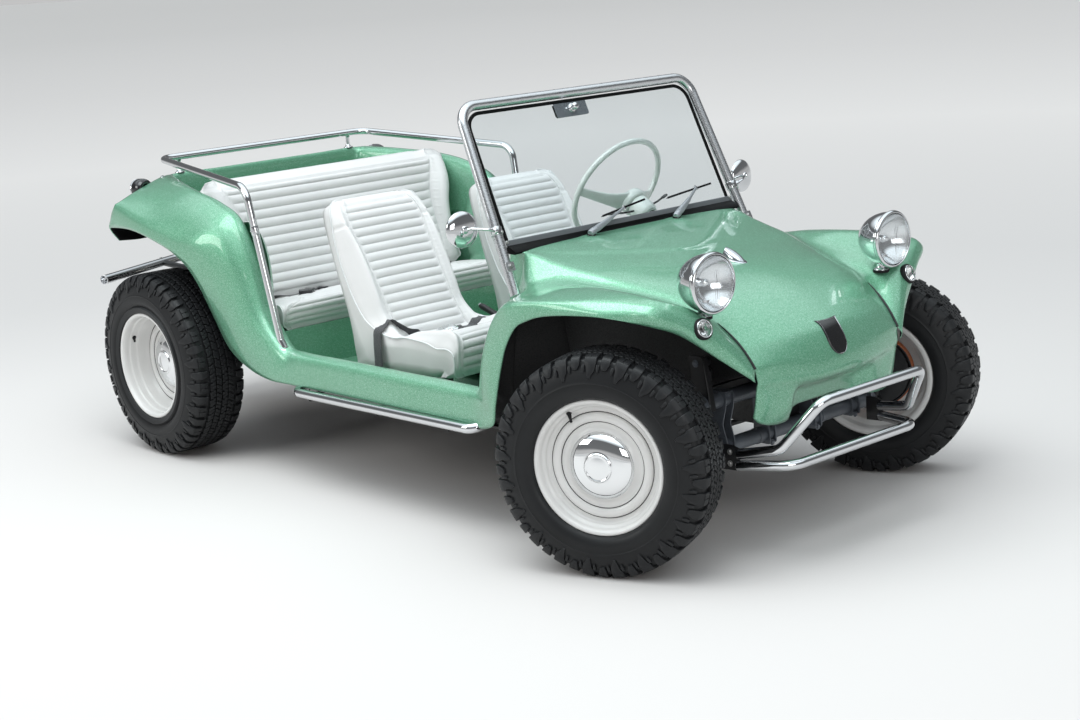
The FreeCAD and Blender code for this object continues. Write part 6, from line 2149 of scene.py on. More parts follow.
MAT["vinyl"] = mat_vinyl()
MAT["webbing"] = mat_webbing()
MAT["piping"] = mat_plain("seat_piping", (0.70, 0.72, 0.72), 0.42, grain=900.0, grain_bump=0.1, vary=0.06)
MAT["buckle_black"] = mat_plain("buckle_black", (0.014, 0.014, 0.016), 0.3, coat=0.2, grain=380.0, grain_bump=0.06, vary=0.2)
MAT["buckle_chrome"] = mat_chrome("buckle_chrome", (0.80, 0.81, 0.82), 0.09)


def smooth_table(xs, Y, xq):
    """Cubic through table rows at positions xs, read at xq."""
    xs, Y, xq = np.asarray(xs, float), np.asarray(Y, float), np.asarray(xq, float)
    n = len(xs)
    h = np.diff(xs)
    s = np.diff(Y, axis=0) / h[:, None]
    m = np.zeros_like(Y)
    m[1:-1] = (s[:-1] * h[1:, None] + s[1:] * h[:-1, None]) / (h[1:] + h[:-1])[:, None]
    m[0], m[-1] = s[0], s[-1]
    i = np.clip(np.searchsorted(xs, xq, side="right") - 1, 0, n - 2)
    t = ((xq - xs[i]) / h[i])[:, None]
    a, b_, c, d = Y[i], Y[i + 1], m[i] * h[i][:, None], m[i + 1] * h[i][:, None]
    return (2 * t ** 3 - 3 * t ** 2 + 1) * a + (t ** 3 - 2 * t ** 2 + t) * c + (-2 * t ** 3 + 3 * t ** 2) * b_ + (t ** 3 - t ** 2) * d


PANEL_C = (0.0, 0.22, 0.44, 0.64, 0.81, 0.93, 1.0)          # centre to the seam
ROLL_C = (0.14, 0.32, 0.52, 0.72, 0.89, 1.0)                # seam to the welt
ROLL_UP = (0.42, 0.86, 1.0, 0.82, 0.34, 0.0)
ROLL_DN = (0.0, 0.0, 0.02, 0.14, 0.52, 1.0)
SIDE_C = (0.3, 0.65)


class Soft:
    """A padded form lofted along a path in the xz plane.  Each station holds
    the face point, the back point, half width, panel half width, roll height
    and how far the welt lies behind the face."""

    def __init__(self, name, stations, y0, crown=6.0, step=14.0, shift=(0, 0, 0), back_in=10.0):
        self.name, self.y0, self.shift = name, y0, np.array(shift, float)
        S = np.array(stations, float)
        arc = np.concatenate([[0], np.cumsum(np.hypot(*(S[1:, :2] - S[:-1, :2]).T))])
        self.length = arc[-1]
        n = int(self.length / step)
        self.sq = np.linspace(0, self.length, n + 1)
        self.table = smooth_table(arc, S, self.sq)
        self.crown, self.back_in = crown, back_in
        self.rows = np.array([self.loop(r, k / n) for k, r in enumerate(self.table)])
        self.nf = len(PANEL_C) + len(ROLL_C)          # columns from centre to welt, both counted

    def loop(self, r, f):
        ix, iz, ox, oz, W, Pw, Hb, D = r
        L = max(1.0, math.hypot(ix - ox, iz - oz))
        ex, ez = (ix - ox) / L, (iz - oz) / L
        Wb = max(W - self.back_in, 0.6 * W)
        ys, al = [], []
        for c in PANEL_C:
            ys.append(Pw * c)
            al.append(self.crown * (1 - c * c))
        for c, u, d in zip(ROLL_C, ROLL_UP, ROLL_DN):
            ys.append(Pw + (W - Pw) * c)
            al.append(Hb * u - min(D, 0.92 * L) * d)
        half_y, half_a = list(ys), list(al)
        side_y = [W + (Wb - W) * c + 2.0 * math.sin(math.pi * c) for c in SIDE_C]
        side_a = [al[-1] + (-L - al[-1]) * c for c in SIDE_C]
        back_y = [y * Wb / W for y in reversed(half_y)]
        back_a = [-L - 3.0 * (1 - (y / Wb) ** 2) for y in back_y]
        ry = half_y + side_y + back_y                 # centre front round to centre back
        ra = half_a + side_a + back_a
        ly = [-y for y in reversed(ry[1:-1])]
        la = list(reversed(ra[1:-1]))
        Y = np.array(ry + ly)
        A = np.array(ra + la)
        P = np.stack([ix + ex * A, Y + self.y0, iz + ez * A], 1)
        return P + self.shift

    def faces(self, m, n):
        return grid_faces(m, n, 0, False, True)

    def cap_rows(self, R):
        """Closes both ends by drawing the loop in to its middle line."""
        n = R.shape[1]
        h = n // 2
        partner = [(n - (k - h)) % n if False else (h - k) % n for k in range(n)]
        out = []
        for row, nxt in ((R[0], R[1]), (R[-1], R[-2])):
            mid = (row + row[partner]) / 2
            d = (row - nxt)
            ln = np.linalg.norm(d, axis=1, keepdims=True)
            dirn = (d / np.maximum(ln, 1e-6)).mean(0)
            c = row.mean(0)
            thick = np.linalg.norm(row - row[partner], axis=1).max()
            r1 = mid + (row - mid) * 0.62 + dirn * thick * 0.16
            r1 = c + (r1 - c) * np.array([1, 0.985, 1])
            r2 = c + (mid - c) * np.array([1, 0.955, 1]) + dirn * thick * 0.22
            out.append((r1, r2))
        return np.concatenate([[out[0][1]], [out[0][0]], R, [out[1][0]], [out[1][1]]])

    def simulate(self, cap=22.0, shrink=7.0, pressure=4.0, keep_free=()):
        R = self.rows
        G = self.cap_rows(R)
        m, n = G.shape[:2]
        B = Builder()
        B.grid(G, wrap_n=True)
        ob = B.object(self.name + "_form")
        me = ob.data
        bm = bmesh.new()
        bm.from_mesh(me)
        bmesh.ops.recalc_face_normals(bm, faces=bm.faces)
        bm.normal_update()
        bm.verts.ensure_lookup_table()
        nrm = np.array([v.normal[:] for v in bm.verts])
        bm.to_mesh(me)
        bm.free()
        co = np.array([v.co[:] for v in me.vertices])
        self.base_n = nrm.reshape(m, n, 3)[2:-2]
        if not QUICK:
            idx = np.arange(m * n).reshape(m, n)
            seam = len(PANEL_C) - 1
            welt = len(PANEL_C) + len(ROLL_C) - 1
            pinned = np.zeros((m, n), bool)
            for k in (seam, welt, n - seam, n - welt):
                pinned[:, k] = True
            h = n // 2
            back = [(k % n) for k in range(h - 8, h + 9)]
            pinned[:, back] = True
            pinned[:2] = pinned[-2:] = True
            start = co - nrm * (shrink / 1000.0) * (~pinned.reshape(-1, 1))
            me.vertices.foreach_set("co", start.ravel())
            me.update()
            vg = ob.vertex_groups.new(name="held")
            vg.add([int(k) for k in idx[pinned]], 1.0, "REPLACE")
            mod = ob.modifiers.new("cloth", "CLOTH")
            cs = mod.settings
            cs.quality = 6
            cs.mass = 0.3
            cs.tension_stiffness = cs.compression_stiffness = 12.0
            cs.shear_stiffness = 6.0
            cs.bending_stiffness = 0.6
            cs.use_pressure = True
            cs.uniform_pressure_force = pressure
            cs.vertex_group_mass = "held"
            cs.effector_weights.gravity = 0.0
            mod.collision_settings.use_collision = False
            mod.point_cache.frame_start, mod.point_cache.frame_end = 1, 20
            for fr in range(1, 21):
                SCENE.frame_set(fr)
            dg = bpy.context.evaluated_depsgraph_get()
            ev = ob.evaluated_get(dg)
            got = np.array([v.co[:] for v in ev.data.vertices])
            SCENE.frame_set(1)
            d = got - start
            ln = np.linalg.norm(d, axis=1, keepdims=True)
            d *= np.minimum(1.0, (cap / 1000.0) / np.maximum(ln, 1e-9))
            self.sim_move = float(np.linalg.norm(d, axis=1).max() * 1000)
            co = start + d
        bpy.data.objects.remove(ob)
        G = co.reshape(m, n, 3) * 1000.0
        G[..., 0] -= SX
        self.rows = G[2:-2]
        return self

    def fine(self, pleat, depth=7.0, first=0.0, last=None, cols=2, seam_depth=5.0, wide=None, cross=None):
        """Finer grid of the simulated form with pleats and seams worked in."""
        last = self.length if last is None else last
        R = self.rows
        m, n = R.shape[:2]
        srow = self.sq
        want = [0.0]
        ph = []
        k = first
        marks = []
        while k < last - 0.35 * pleat:
            marks.append(k)
            k += pleat
        marks.append(min(k, last))
        rows_s, rows_u = [], []
        s = 0.0
        while s < marks[0] - 1:
            rows_s.append(s)
            rows_u.append(-1.0)
            s += pleat * 0.4
        for a, b_ in zip(marks[:-1], marks[1:]):
            for u in (0.0, 0.07, 0.2, 0.4, 0.6, 0.8, 0.93):
                rows_s.append(a + (b_ - a) * u)
                rows_u.append(u)
        s = marks[-1]
        rows_s.append(s)
        rows_u.append(0.0)
        s += pleat * 0.25
        while s < self.length - 1:
            rows_s.append(s)
            rows_u.append(-1.0)
            s += pleat * 0.3
        rows_s.append(self.length)
        rows_u.append(-1.0)
        rows_s, rows_u = np.array(rows_s), np.array(rows_u)
        G = smooth_table(srow, R.reshape(m, -1), rows_s).reshape(len(rows_s), n, 3)
        T = smooth_table(self.sq, self.table, rows_s)
        # columns
        seam = len(PANEL_C) - 1
        welt = len(PANEL_C) + len(ROLL_C) - 1
        h = n // 2
        half = list(np.arange(0, seam - 0.9, 0.5)) + [seam - 0.62, seam - 0.34, seam - 0.15, seam, seam + 0.15, seam + 0.34, seam + 0.66]
        half += list(np.arange(seam + 1, welt, 0.5)) + [welt] + list(np.arange(welt + 1, h + 1, 1.0))
        half = np.array(half, float)
        cq = np.concatenate([half, n - half[1:-1][::-1]])
        ext = np.concatenate([G[:, -3:], G, G[:, :4]], axis=1)
        xs = np.arange(-3, n + 4, dtype=float)
        E = ext.transpose(1, 0, 2).reshape(len(xs), -1)
        F = smooth_table(xs, E, cq).reshape(len(cq), len(rows_s), 3).transpose(1, 0, 2)
        # normals of the fine grid
        du = np.gradient(F, axis=0)
        dv = np.roll(F, -1, axis=1) - np.roll(F, 1, axis=1)
        N = np.cross(du, dv)
        N /= np.maximum(np.linalg.norm(N, axis=2, keepdims=True), 1e-9)
        mid = F.mean(axis=1, keepdims=True)
        if ((F - mid) * N).sum() < 0:
            N = -N
        y = np.abs(F[..., 1] - self.y0 - self.shift[1])
        Pw = T[:, 5][:, None]
        W = T[:, 4][:, None]
        cidx = np.minimum(cq, n - cq)
        front = (cidx <= welt)[None, :]
        inside = np.clip((Pw - y) / 15.0, 0, 1)
        inside = inside * inside * (3 - 2 * inside) * (cidx <= seam)[None, :]
        u = rows_u[:, None]
        puff = np.where(u >= 0, np.abs(np.sin(np.pi * np.clip(u, 0, 1))) ** 0.62, 0.75)
        move = depth * (puff - 0.62) * inside
        groove = -seam_depth * np.exp(-((cidx[None, :] - seam) / 0.26) ** 2)
        env = np.clip(np.minimum(rows_s, self.length - rows_s) / 30.0, 0, 1)[:, None]
        move = move + groove * env * front
        if cross is not None:
            near = np.exp(-((rows_s[:, None] - cross) / 5.0) ** 2)
            move = move - 4.5 * near * ((cidx > seam) & (cidx <= welt))[None, :]
        # little puckers beside the seam
        puck = 0.9 * np.sin(rows_s[:, None] * 2 * np.pi / 17.0 + 0.7 * np.sin(rows_s[:, None] / 31.0)) * np.exp(-((cidx[None, :] - seam - 0.7) / 0.5) ** 2)
        move = move + puck * env * front
        F = F + N * move[..., None]
        self.F, self.cq, self.cidx, self.rows_s = F, cq, cidx, rows_s
        self.welt_cols = [int(np.argmin(np.abs(cq - welt))), int(np.argmin(np.abs(cq - (n - welt))))]
        return self

    def object(self, body_name, slot_name, replaced, shift=(0, 0, 0), name=None):
        G = self.cap_rows(self.F)
        G = G + np.array(shift, float)
        B = Builder()
        B.grid(G, wrap_n=True)
        ob = B.object(name or self.name)
        tidy(ob, 0.05)
        finish_piece(ob, body_name, "vinyl", slot_name, replaced)
        return ob

    def welts(self, B, radius=3.0, s0=20.0, s1=None, shift=(0, 0, 0)):
        s1 = self.length - 12 if s1 is None else s1
        keep = (self.rows_s >= s0) & (self.rows_s <= s1)
        for c in self.welt_cols:
            pts = self.F[keep][:, c]
            use = [pts[0]]
            for p in pts[1:]:
                if np.linalg.norm(p - use[-1]) > 9:
                    use.append(p)
            sweep(B, np.array(use) + np.array(shift, float), radius, 8)


# columns: face x, face z, back x, back z, half width, panel half width, roll, welt
SEAT = [
    (306, 437, 284, 431, 176, 140, 3, 4),
    (330, 462, 268, 430, 197, 166, 4, 8),
    (342, 508, 250, 429, 202, 172, 5, 14),
    (343, 546, 235, 428, 204, 170, 8, 24),
    (326, 576, 215, 427, 206, 160, 14, 44),
    (290, 589, 190, 425, 208, 152, 20, 60),
    (210, 574, 135, 421, 209, 147, 28, 26),
    (120, 553, 65, 416, 210, 146, 36, -4),
    (55, 538, -45, 411, 210, 146, 42, -24),
    (8, 531, -150, 404, 210, 146, 44, -32),
    (-12, 537, -215, 402, 210, 146, 38, -24),
    (-32, 562, -233, 450, 210, 146, 24, 12),
    (-68, 610, -245, 530, 210, 146, 10, 60),
    (-112, 688, -263, 612, 210, 147, 18, 84),
    (-158, 768, -294, 700, 210, 149, 26, 84),
    (-204, 848, -324, 795, 210, 153, 26, 72),
    (-238, 908, -348, 868, 209, 160, 18, 54),
    (-262, 946, -366, 920, 206, 160, 12, 38),
    (-284, 974, -378, 958, 199, 152, 8, 26),
    (-308, 993, -374, 980, 186, 138, 5, 14),
    (-330, 1001, -358, 996, 168, 122, 3, 6),
]
SEAT_Y, SEAT_SHIFT = -308.0, (0, 0, 0)
LEFT_DX, LEFT_Y = 84.0, 306.0

seat = Soft("front_seat_cover_right", SEAT, SEAT_Y, crown=5.0, step=15.0)
seat.simulate(cap=22.0, shrink=6.0)
arc_all = seat.length
seat.fine(33.0, depth=7.5, first=14.0, last=arc_all - 26.0, seam_depth=5.0, cross=arc_all - 118.0)
seat_right = seat.object("chassis", "vinyl_white", ("front_seat_right",))
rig.padded(seat_right, fill=0.8)
left_shift = (LEFT_DX, LEFT_Y - SEAT_Y, 0)
seat_left = seat.object("chassis", "vinyl_white", ("front_seat_left",), shift=left_shift, name="front_seat_cover_left")
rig.padded(seat_left, fill=0.8)
for side_name, sh in (("right", (0, 0, 0)), ("left", left_shift)):
    B = Builder()
    seat.welts(B, 2.6, 16.0, shift=sh)
    ob = B.object("seat_welt_" + side_name)
    tidy(ob)
    finish_piece(ob, "chassis", "piping", "vinyl_white")

BENCH = [
    (-646, 513, -662, 513, 520, 495, 1, 2),
    (-628, 530, -690, 513, 538, 520, 2, 5),
    (-613, 560, -715, 513, 543, 528, 3, 8),
    (-607, 590, -740, 513, 545, 520, 5, 12),
    (-616, 608, -765, 513, 545, 480, 7, 16),
    (-646, 612, -785, 513, 545, 432, 7, 14),
    (-700, 608, -810, 513, 545, 415, 6, 12),
    (-780, 600, -850, 513, 545, 412, 6, 12),
    (-850, 590, -885, 513, 545, 420, 5, 12),
    (-890, 580, -902, 514, 540, 430, 3, 10),
    (-904, 566, -908, 520, 525, 430, 1, 6),
]
bench = Soft("bench_cushion_cover", BENCH, 0.0, crown=6.0, step=15.0, back_in=6.0)
bench.simulate(cap=22.0, shrink=6.0)
bench.fine(28.0, depth=6.5, first=8.0, last=bench.length - 60.0, seam_depth=4.5)
bench_ob = bench.object("chassis", "vinyl_white", ("rear_seat_cushion",))
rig.padded(bench_ob, fill=0.8)

BACK = [
    (-880, 590, -905, 588, 520, 440, 2, 3),
    (-872, 604, -936, 592, 538, 446, 6, 12),
    (-876, 640, -953, 628, 543, 450, 14, 26),
    (-890, 690, -974, 684, 545, 452, 22, 34),
    (-904, 736, -992, 736, 545, 452, 28, 38),
    (-918, 784, -1006, 784, 547, 452, 34, 42),
    (-937, 840, -1022, 842, 560, 454, 40, 46),
    (-957, 905, -1040, 906, 586, 466, 42, 48),
    (-975, 960, -1055, 962, 593, 486, 34, 44),
    (-988, 996, -1064, 996, 594, 500, 20, 34),
    (-1004, 1019, -1062, 1012, 590, 508, 9, 20),
    (-1024, 1029, -1054, 1024, 580, 502, 3, 8),
]
back = Soft("bench_back_cover", BACK, 0.0, crown=6.0, step=15.0, back_in=6.0)
back.simulate(cap=22.0, shrink=6.0)
back.fine(36.5, depth=7.5, first=20.0, last=back.length - 30.0, seam_depth=5.0)
back_ob = back.object("chassis", "vinyl_white", ("rear_seat_back",))
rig.padded(back_ob, fill=0.8)
B = Builder()
bench.welts(B, 2.4, 8.0)
back.welts(B, 2.4, 12.0)
ob = B.object("bench_welts")
tidy(ob)
finish_piece(ob, "chassis", "piping", "vinyl_white")


def tree_of(obs):
    bm = bmesh.new()
    for o in obs:
        bm.from_mesh(o.data)
    t = BVHTree.FromBMesh(bm)
    bm.free()
    return t


SEAT_TREE = tree_of([seat_right, seat_left, bench_ob, back_ob])


def drop(x, y, top=1200.0, d=(0, 0, -1)):
    """Height of the upholstery under a point; its normal too."""
    o = Vector(tuple(place((x, y, top))[0]))
    hit, n, _, _ = SEAT_TREE.ray_cast(o, Vector(d), 2.0)
    if hit is None:
        return None, None
    return hit[2] * 1000.0, np.array(n)


def strap(B, pts, widths, wdir, thick=1.8, mat=0):
    """Flat webbing through points, with the direction across it at each."""
    P = np.array(pts, float)
    Wd = np.array(wdir, float)
    arc = np.concatenate([[0], np.cumsum(np.linalg.norm(P[1:] - P[:-1], axis=1))])
    q = np.linspace(0, arc[-1], max(4, int(arc[-1] / 9.0)))
    P, Wd = smooth_table(arc, P, q), smooth_table(arc, Wd, q)
    wid = np.interp(q, arc, widths)
    T = np.gradient(P, axis=0)
    T /= np.linalg.norm(T, axis=1)[:, None]
    Wd = Wd - (Wd * T).sum(1)[:, None] * T
    Wd /= np.linalg.norm(Wd, axis=1)[:, None]
    N = np.cross(T, Wd)
    sec = [(-0.5, 0.15), (-0.47, 0.5), (-0.25, 0.5), (0, 0.5), (0.25, 0.5), (0.47, 0.5), (0.5, 0.15), (0.5, -0.15),
           (0.47, -0.5), (0.25, -0.5), (0, -0.5), (-0.25, -0.5), (-0.47, -0.5), (-0.5, -0.15)]
    rows = []
    for p, w, n_, wd in zip(P, Wd, N, wid):
        rows.append([p + w * (a * wd) + n_ * (b_ * thick) for a, b_ in sec])
    G = np.array(rows)
    c0, c1 = G[0].mean(0), G[-1].mean(0)
    G = np.concatenate([[c0 + (G[0] - c0) * np.array([0.9, 0.9, 0.9]) * 0.5 + 0 * G[0]], G, [c1 + (G[-1] - c1) * 0.5]])
    b = B.grid(G, wrap_n=True, mat=mat)
    k = len(sec)
    B.add(G[0], [tuple(range(k))], mat)
    B.add(G[-1], [tuple(reversed(range(k)))], mat)


def lay(xy, lift=2.0):
    out = []
    for x, y in xy:
        z, n = drop(x, y)
        out.append((x, y, (z if z is not None else 560.0) + lift))
    return out


def seat_belt(side_name, dx, dy):
    B = Builder()
    s = 1.0
    # floor anchor, up the outer side, over the roll and down to the buckle
    xa, ya = -66 + dx, dy
    over = lay([(xa + 4, ya - 196), (xa + 12, ya - 176), (xa + 22, ya - 150), (xa + 40, ya - 122), (xa + 66, ya - 92), (xa + 100, ya - 64), (xa + 140, ya - 40)], 2.6)
    top = max(p[2] for p in over[:3])
    pts = [(xa - 6, ya - 219, FZ + 8), (xa - 4, ya - 221, 400), (xa - 2, ya - 220, 470), (xa - 1, ya - 219, 530), (xa + 1, ya - 213, over[0][2] - 12)] + over
    wd = [(1, 0, 0)] * 5 + [(1, 0.05, 0), (1, 0.1, 0), (1, 0.3, 0), (0.9, 0.55, 0), (0.7, 0.8, 0), (0.55, 0.9, 0), (0.5, 0.95, 0)]
    strap(B, pts, [46] * len(pts), wd)
    # from the buckle, over the inner roll and down between the seats
    xb = 30 + dx
    over2 = lay([(xb + 62, ya + 4), (xb + 40, ya + 40), (xb + 20, ya + 78), (xb + 6, ya + 112), (xb - 4, ya + 142), (xb - 12, ya + 168), (xb - 18, ya + 190)], 2.6)
    pts2 = over2 + [(xb - 22, ya + 207, over2[-1][2] - 14), (xb - 24, ya + 214, 520), (xb - 24, ya + 214, 430), (xb - 24, ya + 212, FZ + 8)]
    wd2 = [(0.55, 0.9, 0), (0.6, 0.85, 0), (0.7, 0.7, 0), (0.85, 0.5, 0), (0.95, 0.3, 0), (1, 0.15, 0), (1, 0.05, 0), (1, 0, 0), (1, 0, 0), (1, 0, 0), (1, 0, 0)]
    strap(B, pts2, [46] * len(pts2), wd2)
    ob = B.object("lap_belt_" + side_name)
    tidy(ob)
    finish_piece(ob, "chassis", "webbing", "chassis_black")
    # buckle: plate with a lifting lid, and a tongue
    B = Builder()
    p0, p1 = np.array(over[-1]), np.array(over2[0])
    ax = p1 - p0
    ax[2] *= 0.6
    L = np.linalg.norm(ax)
    ax /= L
    up_ = np.array([0.12, 0, 1.0])
    up_ -= (up_ @ ax) * ax
    up_ /= np.linalg.norm(up_)
    ac = np.cross(up_, ax)
    mid = (p0 + p1) / 2 + up_ * 7

    def slab(c, hx, hy, hz, r, mat=0):
        ring = []
        for k in range(24):
            t = 2 * math.pi * k / 24
            cx, sy = math.cos(t), math.sin(t)
            ring.append((math.copysign(abs(cx) ** 0.35, cx) * hx, math.copysign(abs(sy) ** 0.35, sy) * hy))
        rows = []
        for k, hh in ((0.0, -hz), (0.92, -hz), (1.0, -hz + r), (1.0, hz - r), (0.92, hz), (0.5, hz + 0.6), (0.0, hz + 0.8)):
            rows.append([c + ax * a * k + ac * b_ * k + up_ * hh for a, b_ in ring])
        B.grid(np.array(rows), wrap_n=True, mat=mat)
    slab(mid, 34, 24, 6, 2.0, 0)
    slab(mid + ax * 4 + up_ * 8, 22, 21, 2.2, 1.0, 0)
    slab(mid - ax * 40 - up_ * 4, 14, 25, 2.0, 1.0, 0)
    slab(mid + ax * 42 - up_ * 3, 12, 25, 3.5, 1.0, 1)
    ob = B.object("lap_buckle_" + side_name)
    tidy(ob)
    sharp_by_angle(ob, 40)
    finish_piece(ob, "chassis", ["buckle_chrome", "buckle_black"], "chrome")


seat_belt("right", 0.0, SEAT_Y)
seat_belt("left", LEFT_DX, LEFT_Y)


def bench_belts():
    B = Builder()
    C = Builder()
    for y0, yb, ye in ((-470, -392, -352), (-190, -252, -262), (440, 372, 340), (150, 205, 232)):
        s = 1 if yb > y0 else -1
        over = lay([(-858, y0), (-846, (y0 + yb) / 2 - 4 * s), (-838, yb), (-822, ye + 4 * s), (-800, ye + 22 * s)], 4.0)
        over = [(x, y, z + 3.0 * math.sin(k * 1.4)) for k, (x, y, z) in enumerate(over)]
        pts = [(-872, y0 - 12 * s, over[0][2] - 4)] + over
        wd = [(1, 0.2 * s, 0), (0.9, -0.5 * s, 0.2), (0.8, -0.6 * s, 0.5), (0.9, -0.2 * s, 0.2), (0.9, -0.5 * s, 0), (0.8, -0.6 * s, 0)]
        strap(B, pts, [44] * len(pts), wd)
        c = np.array(over[-1]) + np.array([6, 16 * s, 7.0])
        rows = []
        d = np.array([0.55, 0.83 * s, 0.0])
        e = np.array([-0.83 * s, 0.55, 0.0])
        for k, hh in ((0.0, -6), (0.9, -6), (1.0, -4), (1.0, 5), (0.9, 7.5), (0.55, 8.2), (0.0, 8.4)):
            ring = []
            for j in range(20):
                t = 2 * math.pi * j / 20
                cx, sy = math.cos(t), math.sin(t)
                ring.append(c + d * (math.copysign(abs(cx) ** 0.4, cx) * 27 * k) + e * (math.copysign(abs(sy) ** 0.4, sy) * 20 * k) + np.array([0, 0, hh]))
            rows.append(ring)
        C.grid(np.array(rows), wrap_n=True)
    ob = B.object("bench_belts")
    tidy(ob)
    finish_piece(ob, "chassis", "webbing", "chassis_black")
    ob = C.object("bench_belt_buckles")
    tidy(ob)
    sharp_by_angle(ob, 40)
    finish_piece(ob, "chassis", "buckle_black", "chassis_black")


bench_belts()


def seat_tags():
    """Small bare black tab sewn on the front edge, and the seats' runners."""
    for side_name, dx, dy in (("right", 0.0, SEAT_Y), ("left", LEFT_DX, LEFT_Y)):
        B = Builder()
        pts = []
        o = Vector(tuple(place((600 + dx, dy + 26, 548))[0]))
        hit, n, _, _ = SEAT_TREE.ray_cast(o, Vector((-1, 0, 0)), 2.0)
        c = np.array(hit) * 1000.0
        c[0] -= SX
        n = np.array(n)
        u = np.array([0, 1.0, 0])
        v = np.cross(n, u)
        v /= np.linalg.norm(v)
        out = [(-20, 17), (20, 17), (20, -10), (14, -17), (-14, -17), (-20, -10)]
        rows = []
        for k, hh in ((0.0, 2.4), (0.86, 2.4), (0.93, 4.0), (1.0, 3.6), (1.0, -4)):
            rows.append([c + u * a * k + v * b_ * k + n * (hh + 1.5) for a, b_ in out])
        B.grid(np.array(rows), wrap_n=True)
        ob = B.object("seat_tab_" + side_name)
        tidy(ob)
        sharp_by_angle(ob, 40)
        finish_piece(ob, "chassis", "satin_black", "chassis_black")
        B = Builder()
        for y in (dy - 150, dy + 150):
            path = arc_path([(-215 + dx, y, FZ + 12), (-190 + dx, y, FZ + 12), (270 + dx, y, FZ + 12), (285 + dx, y, FZ + 12)], [0, 0, 0, 0])
            sweep(B, path, 11, 12, flat=(0.6, 1.1))
            for x in (-160 + dx, 60 + dx, 240 + dx):
                sweep(B, np.array([(x, y, FZ + 2), (x, y, 425.0)]), 9, 12)
        ob = B.object("seat_runners_" + side_name)
        tidy(ob)
        finish_piece(ob, "chassis", "satin_black", "chassis_black")


seat_tags()
# ------------------------------------------------------------------- controls
CF = np.array([math.cos(math.radians(29)), 0.0, -math.sin(math.radians(29))])
CC = np.array([323.0, 300.0, 977.0])
WU = np.array([math.sin(math.radians(29)), 0.0, math.cos(math.radians(29))])      # up in the wheel's plane
WL = np.array([0.0, 1.0, 0.0])


def wp(a, r, ang):
    """Point of the steering wheel: a along the column, r out, ang from left."""
    t = math.radians(ang)
    return CC + CF * a + (WL * math.cos(t) + WU * math.sin(t)) * r


def build_steering_wheel():
    B = Builder()
    # rim, its section slightly oval, with finger swells on its far side
    rows = []
    for i in range(120):
        t = 360.0 * i / 120
        th = math.radians(t)
        rad = WL * math.cos(th) + WU * math.sin(th)
        ring = []
        for j in range(18):
            p = 2 * math.pi * j / 18
            swell = 0.9 * (0.5 + 0.5 * math.cos(th * 40)) * max(0.0, math.sin(p)) ** 2
            ring.append(CC + rad * (195.0 + math.cos(p) * 10.4) + CF * (math.sin(p) * (10.9 - 0.6 + swell)))
        rows.append(ring)
    B.grid(np.array(rows), wrap_m=True, wrap_n=True)
    # two spokes, wide at the hub, dished back from the rim
    for s in (0, 180):
        tilt = -5.0
        rows = []
        for k, (r, a, hw, th_) in enumerate([(188, 2, 15, 8), (180, 6, 16, 7.5), (165, 18, 17, 6.5), (140, 38, 19, 6), (110, 58, 22, 6), (80, 72, 27, 7), (55, 80, 33, 8), (36, 84, 38, 10), (20, 88, 38, 12)]):
            c = wp(a, r, s + tilt)
            th = math.radians(s + tilt)
            tang = -WL * math.sin(th) + WU * math.cos(th)
            nrm = CF * 0.93 + (WL * math.cos(th) + WU * math.sin(th)) * 0.36
            ring = []
            for j in range(22):
                p = 2 * math.pi * j / 22
                cx, sy = math.cos(p), math.sin(p)
                x = math.copysign(abs(cx) ** 0.75, cx) * hw
                y = math.copysign(abs(sy) ** 0.8, sy) * th_
                if sy < 0:
                    y += 2.6 * (1 - (x / hw) ** 2) ** 2 * (1 if r > 40 else 0)
                ring.append(c + tang * x + nrm * y)
            rows.append(ring)
        B.grid(np.array(rows), wrap_n=True)
        B.add(np.array(rows[0]), [tuple(range(22))])
    # hub
    turn(B, [(60, 0), (60.5, 14), (61.5, 27), (64, 31), (66, 33), (67, 36), (69, 42), (76, 48), (88, 51), (100, 51), (108, 48), (110, 44), (110, 0.0)], CC, CF, 56, radius=1.6)
    ob = B.object("steering_wheel_rim")
    tidy(ob)
    sharp_by_angle(ob, 50)
    finish_piece(ob, "steering_wheel", "wheel_ivory", "ivory_plastic", ("steering_wheel",))
    # horn button with a plain ring
    B = Builder()
    turn(B, [(61.8, 26), (59.4, 25.6), (57.6, 24.4), (57.2, 20.6), (58.6, 19.6), (59.0, 18.6), (56.4, 12.0), (55.4, 6.0), (55.2, 0.0)], CC, CF, 56, radius=0.8)
    ob = B.object("horn_button")
    tidy(ob)
    sharp_by_angle(ob, 45)
    finish_piece(ob, "steering_wheel", "gloss_black", "lamp_black")


